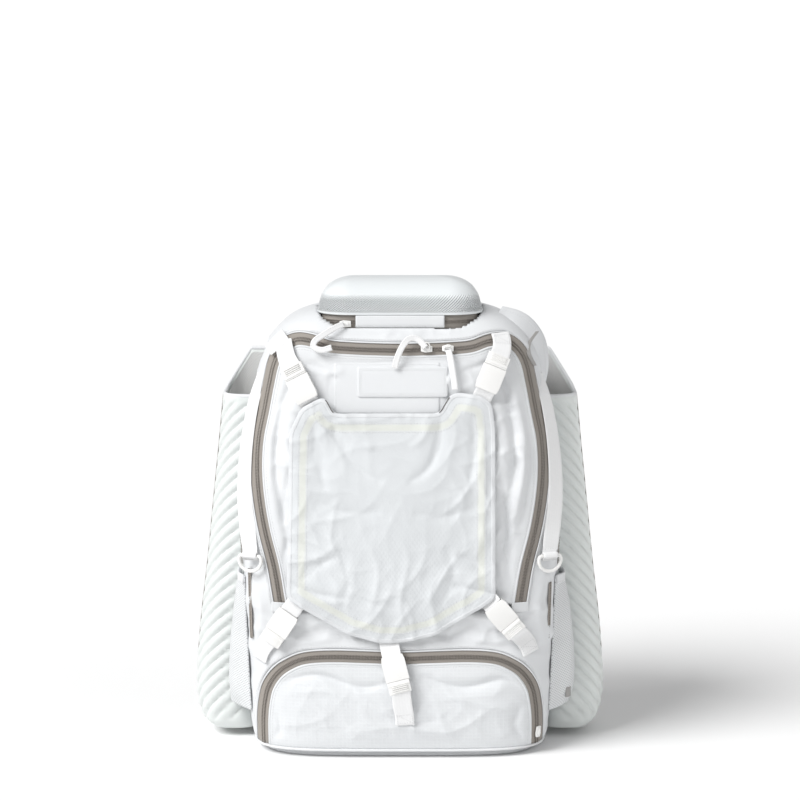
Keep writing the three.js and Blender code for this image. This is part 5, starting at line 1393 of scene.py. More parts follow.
@dataclass
class HelmetFlap:
    """The flap buckled over the front: its cloth, its bound edge and its stitched lines."""

    centre: float = -10.0
    half: float = 118.0
    bottom: float = 137.0
    top: float = 400.0
    corner_rise: float = 52.0
    wing_rise: float = 18.0
    standoff: float = 3.2
    thickness: float = 2.2
    low_edge: tuple = (
        (-1.0, 1.0), (-0.86, 0.78), (-0.42, 0.18), (-0.12, 0.0), (0.12, 0.0), (0.42, 0.18), (0.86, 0.78),
        (1.0, 1.0),
    )
    high_edge: tuple = (
        (-0.97, -1.2), (-0.86, 0.3), (-0.69, 0.93), (-0.63, 1.0), (-0.55, 0.0), (0.46, 0.0), (0.56, 1.1),
        (0.64, 1.3), (0.855, 1.1), (0.96, 0.6), (0.99, -1.0),
    )
    swells: tuple = (
        Swell(-98.6, 405, 28, 28, 4.5), Swell(90.2, 413, 28, 28, 4.5), Swell(-120, 178, 28, 28, 4.5),
        Swell(100.4, 188, 28, 28, 4.5), Swell(-3.7, 186, 56, 46, 6.0), Swell(0, 289, 93, 77, 3.0),
    )
    folds: tuple = (
        Crease(((-78, 398), (-68, 366), (-46, 338), (-18, 322)), 5.5, -3.2),
        Crease(((46, 398), (43, 366), (31, 338), (8, 322)), 5.5, -3.2),
        Crease(((-66, 396), (-48, 372), (-30, 360)), 5.0, 2.4),
        Crease(((36, 396), (26, 374), (12, 362)), 5.0, 2.2),
        Crease(((-98, 392), (-92, 350), (-84, 312)), 5.0, -2.8),
        Crease(((82, 400), (84, 356), (78, 316)), 5.0, -2.8),
        Crease(((94, 380), (96, 330), (92, 280)), 5.0, 2.0),
        Crease(((-96, 300), (-60, 288), (-20, 290)), 7.0, -2.2),
        Crease(((88, 296), (50, 284), (14, 288)), 7.0, -2.2),
        Crease(((-70, 246), (-60, 212), (-66, 176)), 6.0, -2.2),
        Crease(((52, 250), (60, 214), (46, 178)), 6.0, -2.2),
        Crease(((-112, 208), (-96, 226), (-70, 238)), 5.0, -3.0),
        Crease(((94, 216), (82, 232), (64, 240)), 5.0, -2.8),
    )
    tint: tuple[float, float] = (11.0, 20.0)

    def back(self, x: np.ndarray, z: np.ndarray) -> np.ndarray:
        """The flap's inner face as y."""
        swell = sum(s.height(x, z) for s in self.swells)
        fold = sum(c.height(x, z) for c in self.folds)
        calm = 1 - 0.55 * smoothstep(75, 45, np.abs(x)) * smoothstep(215, 250, z) * smoothstep(400, 370, z)
        fine = 0.4 * ripples(x, z, 60,
                             21) + (2.2 * crumple(x, z, 48, 22) + 0.8 * crumple(x, z, 21, 23)) * calm
        return BODY.cloth(x, z) - self.standoff - np.maximum(swell + fold + fine, -1.6)

    def front(self, x: np.ndarray, z: np.ndarray) -> np.ndarray:
        """The flap's outer face as y."""
        return self.back(x, z) - self.thickness

    def _edge(self, rows: Sequence[tuple[float, float]], level: float, rise: float) -> np.ndarray:
        """One of the flap's edges as x, z points."""
        return np.array([(self.centre + x * self.half, level + z * rise) for x, z in rows])

    def outline(self) -> tuple[np.ndarray, list[int]]:
        """The flap's rounded outline, and where its four corners are in it."""
        low = self._edge(self.low_edge, self.bottom, self.corner_rise)
        high = self._edge(self.high_edge, self.top, self.wing_rise)
        loop = softened(np.vstack([low, high[::-1]]), 1.0, 9, closed=True)
        marks = [int(np.argmin(np.linalg.norm(loop - c, axis=1)))
                 for c in (low[0], low[-1], high[-1], high[0])]
        return loop, marks

    def _inset(self, loop: np.ndarray, distance: float) -> np.ndarray:
        """The outline moved inwards."""
        return softened(self._match(loop, distance), 2.0, 5, closed=True)

    def build(self) -> None:
        """Builds the flap, its binding and its stitches."""
        loop, (a, b, c, d) = self.outline()
        columns, rows = 120, 146
        bottom, top = stretch(loop, a, b, columns), stretch(loop, c, d, columns)[::-1]
        right, left = stretch(loop, b, c, rows), stretch(loop, d, a, rows)[::-1]
        flat = coons(bottom, top, left, right)
        x, z = flat[..., 0], flat[..., 1]
        back = self.back(x, z)
        front = np.stack([x, back - self.thickness, z], axis=-1)
        inner = np.stack([x, back, z], axis=-1)
        piece = shell("helmet_flap_cloth", front, inner, flat, 0.6)
        away, _ = distance_to(np.vstack([loop, loop[:1]])[::3], x, z)
        low, high = self.tint
        tint = smoothstep(low, low + 1.5, away) * smoothstep(high, high - 1.5, away)
        values = np.zeros(len(piece.data.vertices), np.float32)
        values[: tint.size] = tint.ravel()
        piece.data.attributes.new("frame", "FLOAT", "POINT").data.foreach_set("value", values)
        dress(piece, FINISH.diamond, "ripstop", "helmet_flap")
        self._binding(loop)
        self._notch_shadow_lines(loop)
        for inset, word in ((2.8, "edge"), (10.5, "frame"), (20.5, "frame_second")):
            seam = self._inset(loop, inset)
            line, out = on_front(np.vstack([seam, seam[:1]]), 0.12, self.front)
            stitches(f"flap_{word}_stitches", line, out)

    def _notch_shadow_lines(self, loop: np.ndarray) -> None:
        """Painted shadow: thin dark lines laid down the notch's slanting sides, where the notch casts shade.
        """
        for word, low, high in (("left", -84.6, -74.6), ("right", 44.0, 56.5)):
            part = loop[(loop[:, 0] > low) & (loop[:, 0] < high) & (loop[:, 1] > 399) & (loop[:, 1] < 421)]
            y = self.front(part[:, 0], part[:, 1]) - 0.45
            path = resample(np.stack([part[:, 0], y, part[:, 1]], axis=1), 24)
            # each dark tube is painted shadow along one slanting side of the notch
            dress(tube(f"notch_line_{word}", path, 0.55, 8), FINISH.notch_shadow_paint, "webbing")

    def _binding(self, loop: np.ndarray) -> None:
        """The tape folded over the flap's edge."""
        edge = softened(loop, 2.0, 3, closed=True)
        inset = [self._match(edge, d) for d in (-0.5, -0.7, -0.5, 0.3, 1.6, 3.0, 3.9, 4.1)]
        lifts = (-1.4, -0.9, -0.2, 0.1, 0.25, 0.3, 0.25, 0.0)
        rings = []
        for line, lift in zip(inset, lifts):
            rings.append(np.stack([line[:, 0], self.front(line[:, 0], line[:, 1]) - lift, line[:, 1]],
                                  axis=1))
        under = [self._match(edge, d) for d in (3.9, 0.0)]
        for line in under:
            rings.append(np.stack([line[:, 0], self.front(line[:, 0], line[:, 1]) + 0.4, line[:, 1]],
                                  axis=1))
        verts = np.stack(rings, axis=1)
        count, sides = verts.shape[:2]
        faces = grid_faces(count, sides, wrap=True)
        faces += joined_ends(count, sides)
        piece = new_piece("flap_binding", verts.reshape(-1, 3), faces)
        along = lengths_to(edge)
        across = np.arange(sides) * 1.5
        uv = np.stack(np.broadcast_arrays(across[None, :], along[:, None]), axis=-1)
        set_uv(piece, uv.reshape(-1, 2))
        dress(piece, FINISH.hem, "ripstop")

    def _match(self, edge: np.ndarray, distance: float) -> np.ndarray:
        """The outline moved inwards, point for point."""
        tangent = np.roll(edge, -2, axis=0) - np.roll(edge, 2, axis=0)
        tangent = unit(tangent)
        return edge + distance * np.stack([-tangent[:, 1], tangent[:, 0]], axis=1)


@dataclass
class BadgePatch:
    """The bare patch in the flap's notch, with its stitched outline."""

    left: float = -48.0
    right: float = 54.0
    low: float = 418.0
    high: float = 452.0
    thickness: float = 1.0
    standoff: float = 0.5

    def surface(self, x: np.ndarray, z: np.ndarray) -> np.ndarray:
        """The patch's outer face as y."""
        return BODY.cloth(x, z) - self.standoff - self.thickness

    def build(self) -> None:
        """Builds the patch and its stitches."""
        corners = np.array([(self.left, self.low), (self.right, self.low), (self.right, self.high),
                            (self.left, self.high)])
        loop = softened(corners, 0.5, 9, closed=True)
        marks = [int(np.argmin(np.linalg.norm(loop - c, axis=1))) for c in corners]
        a, b, c, d = marks
        bottom, top = stretch(loop, a, b, 52), stretch(loop, c, d, 52)[::-1]
        flat = coons(bottom, top, stretch(loop, d, a, 20)[::-1], stretch(loop, b, c, 20))
        x, z = flat[..., 0], flat[..., 1]
        y = self.surface(x, z)
        front = np.stack([x, y, z], axis=-1)
        piece = shell("badge_cloth", front, front + [0, self.thickness + 1.0, 0], flat, 0.2)
        dress(piece, FINISH.plain, "ripstop", "badge_patch")
        middle = np.array([(self.left + self.right) / 2, (self.low + self.high) / 2])
        span = np.array([self.right - self.left, self.high - self.low])
        for k, inset in enumerate((2.4, 4.0)):
            seam = middle + (loop - middle) * (span - 2 * inset) / span
            line, out = on_front(np.vstack([seam, seam[:1]])[::3], 0.1, self.surface)
            stitches(f"badge_stitches_{k}", line, out, 2.2, 1.7, 0.55)


def fine_copy(name: str, node: str, width: float, segments: int = 2,
              angle: float = 25.0) -> bpy.types.Object:
    """A bevelled copy of a frame node's solid.

    Args:
        name: The new piece's name.
        node: The node to copy.
        width: The bevel's width in mm.
        segments: The bevel's steps.
        angle: Edges sharper than this many degrees are bevelled.

    Returns:
        The new object, with the bevel applied.
    """
    work = bmesh.new()
    work.from_mesh(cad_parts[node].data)
    bmesh.ops.remove_doubles(work, verts=work.verts, dist=2e-5)
    bmesh.ops.dissolve_limit(work, angle_limit=math.radians(3), verts=work.verts, edges=work.edges)
    mesh = bpy.data.meshes.new(name)
    work.to_mesh(mesh)
    work.free()
    made = bpy.data.objects.new(name, mesh)
    bpy.context.scene.collection.objects.link(made)
    bevel = made.modifiers.new("edges", "BEVEL")
    bevel.width, bevel.segments, bevel.limit_method = width * MM, segments, "ANGLE"
    bevel.angle_limit, bevel.harden_normals = math.radians(angle), False
    baked = evaluated(made)
    made.modifiers.clear()
    made.data = baked
    baked.shade_smooth()
    baked.set_sharp_from_angle(angle=math.radians(38))
    return made


@dataclass(frozen=True)
class Seat:
    """A frame seated on the front cloth: its middle, its length direction, its width and its outward one."""

    at: np.ndarray
    along: np.ndarray
    across: np.ndarray
    out: np.ndarray

    @staticmethod
    def on_cloth(x: float, z: float, turn: float, standoff: float) -> "Seat":
        """A seat at x, z whose length points at turn degrees from +X, standoff mm off the cloth."""
        angle = math.radians(turn)
        out = BODY.normal(x, z)
        along = np.array([math.cos(angle), 0.0, math.sin(angle)])
        along = along - (along @ out) * out
        along /= np.linalg.norm(along)
        across = np.cross(out, along)
        at = np.array([x, float(BODY.cloth(x, z)), z]) + out * standoff
        return Seat(at, along, across / np.linalg.norm(across), out)

    def on(self, along: float, across: float = 0.0, out: float = 0.0) -> np.ndarray:
        """A point of the frame."""
        return self.at + self.along * along + self.across * across + self.out * out


@dataclass
class Buckle:
    """One side-release buckle with the webbing sewn to the flap and the webbing that it pulls on."""

    name: str
    x: float
    z: float
    turn: float
    standoff: float
    sewn: tuple
    strap: tuple
    width: float = 22.0
    thickness: float = 1.6
    length: float = 29.0
    latch: float = 14.0
    slot: float = 5.0

    def _stations(self, seat: Seat, inner: tuple[float, float], rows: tuple) -> Run:
        """The webbing's stations, from inside the buckle out over the cloth."""
        seats = [Seat.on_cloth(*row[:2], row[3], row[2]) for row in rows]
        half = self.thickness / 2
        at = [seat.on(inner[0], 0, -half), seat.on(inner[1], 0, -half), *[s.at for s in seats]]
        across = [seat.across, seat.across, *[s.across for s in seats]]
        out = [seat.out, seat.out, *[s.out for s in seats]]
        return Run(np.array(at), np.array(across), np.array(out)).fine(1.6)

    def _cross_stitch(self, run: Run, start: float, length: float) -> None:
        """The stitched box that holds webbing down, start mm along it."""
        along, half = run.lengths(), self.width / 2 - 2.4
        corners = [(start, -half), (start, half), (start + length, half), (start + length, -half),
                   (start, -half),
                   (start + length, half)]
        line = resample(np.array(corners, float), 120)
        at = np.stack([np.interp(line[:, 0], along, run.at[:, k]) for k in range(3)], axis=1)
        across = np.stack([np.interp(line[:, 0], along, run.across[:, k]) for k in range(3)], axis=1)
        out = np.stack([np.interp(line[:, 0], along, run.out[:, k]) for k in range(3)], axis=1)
        stitches(f"{self.name}_box_{int(start)}", at + across * line[:, 1:] + out * (self.thickness + 0.1),
                 out,
                 2.6, 1.9, 0.6)

    def build(self) -> None:
        """Builds the buckle's halves and both runs of webbing."""
        seat = Seat.on_cloth(self.x, self.z, self.turn, self.standoff)
        for half in ("socket", "latch"):
            piece = fine_copy(f"{self.name}_{half}_fine", f"{self.name}_{half}", 0.8, 3)
            dress(piece, FINISH.plastic, "white_plastic", f"{self.name}_{half}")
        end = self.slot - 0.35
        tab = self._stations(seat, (end, -1.0), self.sewn)
        dress(band(f"{self.name}_tab_webbing", tab, self.width, self.thickness), FINISH.webbing, "webbing",
              f"{self.name}_tab")
        far = self.length + 0.35 + self.latch
        free = self._stations(seat, (far - end, far + 1.0), self.strap)
        dress(band(f"{self.name}_strap_webbing", free, self.width, self.thickness), FINISH.webbing,
              "webbing",
              f"{self.name}_strap")
        total = tab.lengths()[-1]
        self._cross_stitch(tab, max(total - 15, 8), 12)
        total = free.lengths()[-1]
        self._cross_stitch(free, max(total - 13, 8), 10)
        ribs = []
        for k in range(4):
            ribs.append([seat.on(self.length + 6.6 + k * 2.1, s, 3.5) for s in np.linspace(-9.5, 9.5, 9)])
        for k, rib in enumerate(ribs):
            piece = tube(f"{self.name}_grip_{k}", np.array(rib), 0.55, 8, out=np.tile(seat.out, (9, 1)))
            dress(piece, FINISH.plastic, "white_plastic")


BUCKLES = (
    Buckle("upper_left", -102.5, 414, 118, 7.5,
           ((-100.6, 410.5, 4.4, 118), (-95, 400, 1.7, 118), (-89, 388, 0.8, 118)),
           ((-126, 460, 4.4, 112), (-129, 471, 3.2, 104), (-130, 479, 2.4, 100))),
    Buckle("upper_right", 95.5, 425, 67, 7.5,
           ((93.9, 421.3, 4.8, 67), (89, 410, 2.2, 67), (84.5, 398, 0.8, 67)),
           ((114, 472, 3.8, 80), (114, 480, 3.0, 90), (112, 487, 2.4, 94))),
    Buckle("lower_left", -124.5, 172, 236, 7.5,
           ((-122.3, 175.3, 4.8, 236), (-116, 184.5, 2.2, 236), (-108, 196, 0.8, 236)),
           ((-150, 134, 3.4, 236), (-156, 124, 2.2, 240), (-160, 112, 1.6, 248))),
    Buckle("lower_right", 105, 181, -50, 7.5,
           ((102.4, 184.1, 4.8, -50), (95, 193, 2.2, -50), (87, 202.5, 0.8, -50)),
           ((136, 144, 3.6, -52), (144, 133, 2.4, -56), (149, 121, 1.8, -66))),
    Buckle("bottom", -9.5, 121, -76, 9.5,
           ((-12, 133, 3.0, -79), (-14, 145, 1.0, -82), (-15, 152, 0.8, -84)),
           ((3, 66, 7.5, -80), (5, 54, 4.5, -86), (5.5, 42, 2.5, -88))),
)


@dataclass
class Sliders:
    """The zips' sliders, and pulls of narrow webbing on the main and case sliders."""

    pull_width: float = 7.0
    thickness: float = 1.6
    main: tuple = (
        ("main_left", ((29, 474, 6.7), (20, 483, 7.7), (11, 484, 9), (3, 476, 9.5), (-3, 463, 7.5),
                       (-6, 451, 5))),
        ("main_right", ((54.5, 471, 5.3), (57, 461, 7), (59, 449, 7), (61, 437, 6.5), (62, 427, 6.2))),
    )
    case: tuple = (
        (-64, -100.5, 499), (-74, -104, 495), (-86, -107.5, 488), (-96, -110, 481), (-97, -111.5, 474),
        (-88, -112.5, 471), (-77, -113, 474),
    )

    def _run(self, points: np.ndarray) -> Run:
        """The pull's stations, its face turned to the front."""
        ahead = np.gradient(points, axis=0)
        ahead = unit(ahead)
        out = np.array([0.0, -1.0, 0.0]) + ahead * ahead[:, 1:2]
        out = unit(out)
        return Run(points, np.cross(out, ahead), out).fine(1.2)

    def _pull(self, name: str, points: np.ndarray) -> None:
        """One pull, with its stitches."""
        run = self._run(points)
        dress(band(f"{name}_pull_webbing", run, self.pull_width, self.thickness), FINISH.webbing, "webbing",
              f"{name}_pull")
        edge = run.at + run.out * (self.thickness + 0.05)
        for side in (-1, 1):
            stitches(f"{name}_pull_stitches_{'a' if side < 0 else 'b'}", edge + run.across * side * 2.3,
                     run.out,
                     2.6, 1.8, 0.5)

    def _loop(self, name: str, x: float, z: float) -> None:
        """The small wire loop that joins a slider to its pull."""
        angle = np.linspace(0, math.tau, 28, endpoint=False)
        y = float(BODY.cloth(x, z)) - 5.6
        path = np.stack([x + 4.6 * np.cos(angle), y - 0.8 * np.sin(angle), z + 1.5 + 4.2 * np.sin(angle)],
                        axis=1)
        dress(tube(f"{name}_loop", path, 0.85, 8, loop=True), FINISH.plastic, "white_plastic")

    def build(self) -> None:
        """Builds the sliders and pulls."""
        for name in ("main_left", "main_right", "case", "shoe"):
            piece = fine_copy(f"{name}_slider_fine", f"{name}_slider", 0.5, 2)
            dress(piece, FINISH.plastic, "white_plastic", f"{name}_slider")
        for name, rows in self.main:
            points = np.array([(x, float(BODY.cloth(x, z)) - off, z) for x, z, off in rows])
            self._pull(name, points)
            self._loop(name, *rows[0][:2])
        self._pull("case", np.array(self.case, float))


@dataclass
class RingHanger:
    """A D ring and the webbing that it hangs from."""

    side: Side
    width: float = 22.0
    thickness: float = 1.6
    wire: float = 4.0
    ring_width: float = 32.0
    height: float = 22.0
    spread: float = 171.0
    bar: float = 234.0
    facing: float = 24.0
    rows: tuple = (
        (72, 0.85, 58), (70, 0.79, 54), (67, 0.72, 50), (64, 0.65, 45), (61, 0.58, 38), (58, 0.515, 30),
    )

    def _strap(self, bar_y: float) -> None:
        """The webbing, from its upper end to the tunnel round the bar."""
        sign = self.side.value
        turn = math.radians(sign * self.facing)
        across = np.array([math.cos(turn), math.sin(turn), 0.0])
        out = np.array([math.sin(turn), -math.cos(turn), 0.0])
        at, sides, outs, share = [], [], [], []
        for angle, level, facing in self.rows:
            z = np.array(level * BODY.HEIGHT)
            lean = math.radians(sign * facing)
            side = np.array([math.cos(lean), math.sin(lean), 0.0])
            at.append(BODY.point(z, np.array(float(sign * angle)), -3.0 if level > 0.84 else 2.0))
            sides.append(side)
            outs.append(np.array([side[1], -side[0], 0.0]))
            share.append(1.0)
        radius = self.wire / 2 + 0.8
        end = np.array([sign * self.spread, bar_y, self.bar])
        for angle in np.linspace(-60, 210, 10):
            a = math.radians(angle)
            at.append(end + out * (-radius * math.cos(a - math.pi)) * -1
                      + np.array([0, 0, -radius * math.sin(a - math.pi)]))
            sides.append(across)
            lean = math.cos(a - math.pi)
            outs.append(out * lean + np.array([0, 0, -math.sin(a - math.pi)]))
            share.append(0.82)
        run = Run(np.array(at), np.array(sides), np.array(outs), np.array(share)).fine(1.4)
        piece = band(f"ring_webbing_{self.side.word}", run, self.width, self.thickness)
        dress(piece, FINISH.webbing, "webbing", f"ring_strap_{self.side.word}")
        low = end + out * (radius + self.thickness + 0.2) + np.array([0, 0, 9.0])
        line = np.stack([low + across * s for s in np.linspace(-8, 8, 8)])
        stitches(f"ring_stitches_{self.side.word}", line, np.tile(out, (8, 1)), 2.6, 1.9, 0.6)

    def _ring(self, bar_y: float) -> None:
        """The moulded ring."""
        half, low = (self.ring_width - self.wire) / 2, self.height - self.wire
        corners = np.array([
            (-half * 0.86, 0), (half * 0.86, 0), (half, -low * 0.14), (half, -low * 0.42),
            (half * 0.8, -low * 0.74),
            (half * 0.42, -low * 0.95), (0, -low), (-half * 0.42, -low * 0.95), (-half * 0.8, -low * 0.74),
            (-half, -low * 0.42), (-half, -low * 0.14),
        ])
        loop = softened(corners, 0.6, 5, closed=True)
        turn = math.radians(self.side.value * self.facing)
        across = np.array([math.cos(turn), math.sin(turn), 0.0])
        out = np.array([math.sin(turn), -math.cos(turn), 0.0])
        origin = np.array([self.side.value * self.spread, bar_y, self.bar])
        path = origin + loop[:, :1] * across + loop[:, 1:] * np.array([0, 0, 1.0])
        piece = tube(f"ring_{self.side.word}_moulded", path, self.wire / 2, 16, loop=True,
                     out=np.tile(out, (len(path), 1)))
        dress(piece, FINISH.plastic, "white_plastic", f"d_ring_{self.side.word}",
              body=f"ring_{self.side.word}")

    def build(self) -> None:
        """Builds the ring and its webbing."""
        low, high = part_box(f"d_ring_{self.side.word}")
        bar_y = (low[1] + high[1]) / 2 / MM
        self._strap(bar_y)
        self._ring(bar_y)


@dataclass
class SmallPieces:
    """The body's small sewn pieces: tabs, the badge's backing, side zips, seams, the wing and a strap end."""

    seam_turns: tuple[float, ...] = (-132.0, 132.0)

    def _patch(self, name: str, low: tuple[float, float], high: tuple[float, float], lift: float) -> None:
        """A rectangle of cloth on the front, from its low corner to its high one."""
        x, z = np.meshgrid(np.linspace(low[0], high[0], 40), np.linspace(low[1], high[1], 24))
        y = BODY.cloth(x, z) - lift
        front = np.stack([x, y, z], axis=-1)
        piece = shell(name, front, front + [0, 1.2, 0], front[..., [0, 2]], 0.3)
        dress(piece, FINISH.plain, "ripstop")
        edge = np.array([low, (high[0], low[1]), high, (low[0], high[1]), low], float)
        middle = (np.array(low) + high) / 2
        seam = resample(middle + (edge - middle) * (1 - 3.0 / np.abs(np.array(high) - low)), 90)
        line, out = on_front(seam, lift + 0.1, BODY.cloth)
        stitches(f"{name}_stitches", line, out, 2.8, 2.0, 0.6)

    def _side_zip(self, side: Side, name: str, turns: tuple[float, float],
                  levels: tuple[float, float]) -> None:
        """A thin zip down the body's side."""
        z = np.linspace(levels[0], levels[1], 60)
        turn = np.linspace(turns[0], turns[1], 60) * side.value
        at, far = BODY.point(z, turn, 0.9), BODY.point(z, turn + side.value * 4, 0.9)
        across = far - at
        across = unit(across)
        out = np.stack([across[:, 1] * side.value, -across[:, 0] * side.value, 0 * z], axis=1)
        out *= np.sign(out[:, :1] * side.value + 1e-9)
        run = Run(at, across, out)
        dress(band(f"{name}_tape", run, 7.0, 0.8), FINISH.tape, "zip_tape")
        rows = resample(at + out * 0.9, int(line_length(at) / 1.8))
        ups = np.stack([np.interp(np.linspace(0, 59, len(rows)), np.arange(60), out[:, k])
                        for k in range(3)], axis=1)
        teeth = BEADS.make(f"{name}_teeth", rows, np.cross(np.gradient(rows, axis=0), ups), ups,
                           (2.6, 1.1, 1.4),
                           FINISH.coil)
        dress(teeth, FINISH.coil, "zip_tape")

    def _seams(self) -> None:
        """The piped seams down the back's corners and round the foot."""
        z = np.linspace(24, 478, 150)
        for turn in self.seam_turns:
            path = BODY.point(z, np.full(z.shape, turn), 0.1)
            dress(tube(f"back_seam_{'left' if turn < 0 else 'right'}", path, 1.2, 8), FINISH.hem, "ripstop")
        turns = even_turns(260)
        path = BODY.point(np.full(turns.shape, 9.0), turns, 0.7)
        dress(tube("foot_piping", path, 1.6, 8, loop=True), FINISH.binding, "ripstop")

    def _wing(self) -> None:
        """The cloth wing on the right shoulder with its grey strip."""
        outer = spline([(119, 512), (140, 506), (156, 494), (168, 474), (172, 446), (168, 420)], 8)
        inner = spline([(104, 494), (122, 490), (136, 478), (144, 462), (152, 440), (158, 420)], 8)
        outer, inner = resample(outer, 48), resample(inner, 48)
        bottom = np.linspace(inner[0], outer[0], 12)
        top = np.linspace(inner[-1], outer[-1], 12)
        flat = coons(bottom, top, inner, outer)
        x, z = flat[..., 0], flat[..., 1]
        share = np.linspace(0, 1, 12)[None]
        y = -58 + 26 * share - 6 * np.sin(np.pi * share) + 0.9 * ripples(x, z, 40, 61)
        front = np.stack([x, y, z], axis=-1)
        piece = shell("shoulder_wing", front, front + [-0.8, 2.6, -0.8], flat, 0.6)
        dress(piece, FINISH.plain, "ripstop")
        seam = front[2:-2, 9] - [0, 0.15, 0]
        stitches("shoulder_wing_stitches", seam, np.tile([0.3, -0.95, 0.0], (len(seam), 1)), 2.8, 2.0, 0.6)
        rows = np.array([(153.5, 0.0, 449), (147, 0.0, 462), (147, 0.0, 473), (157, 0.0, 486)])
        rows[:, 1] = BODY.front(rows[:, 0], rows[:, 2]) - 1.8
        count = len(rows)
        strip = Run(rows, np.tile([0.9, 0.44, 0.0], (count, 1)),
                    np.tile([0.44, -0.9, 0.0], (count, 1))).fine(2.0)
        dress(band("shoulder_strip", strip, 5.0, 1.0), FINISH.reflective, "webbing")

    def _strap_end(self) -> None:
        """The loose strap end at the left shoulder."""
        seats = [Seat.on_cloth(x, z, 222, off) for x, z,
                 off in ((-128, 484, 2.2), (-137, 475, 2.8), (-146, 465, 4.2))]
        run = Run(np.array([s.at for s in seats]), np.array([s.across for s in seats]),
                  np.array([s.out for s in seats])).fine(1.6)
        dress(band("strap_end", run, 22.0, 1.6), FINISH.webbing, "webbing")
        line = np.stack([run.at[-4] + run.across[-4] * s + run.out[-4] * 1.7
                         for s in np.linspace(-9, 9, 9)])
        stitches("strap_end_stitches", line, np.tile(run.out[-4], (9, 1)), 2.6, 1.9, 0.6)

    def build(self) -> None:
        """Builds them all."""
        foot = BODY.main_zip[0][1]
        for side in Side:
            x = abs(BODY.main_zip[0][0]) * side.value
            self._patch(f"zip_end_{side.word}", (x - 9.5, foot - 10.5), (x + 9.5, foot + 1.0), 1.0)
            self._side_zip(side, f"side_zip_{side.word}", (74, 78), (392, 212))
        self._side_zip(Side.LEFT, "low_zip_left", (60, 61), (216, 134))
        self._side_zip(Side.RIGHT, "low_zip_right", (60, 61), (200, 134))
        self._patch("badge_backing", (-74, 399), (45, 456), 0.45)
        self._seams()
        self._wing()
        self._strap_end()


def rounded_loop(half_x: float, half_y: float, radius: float, per_corner: int) -> np.ndarray:
    """A rounded rectangle about the case's middle, as x, y points."""
    points = []
    for quarter in range(4):
        cx = (1 if quarter in (0, 3) else -1) * (half_x - radius)
        cy = (1 if quarter < 2 else -1) * (half_y - radius)
        for a in np.linspace(quarter * 90, quarter * 90 + 90, per_corner):
            points.append((cx + radius * math.cos(math.radians(a)),
                           cy + radius * math.sin(math.radians(a))))
    return np.array(points)


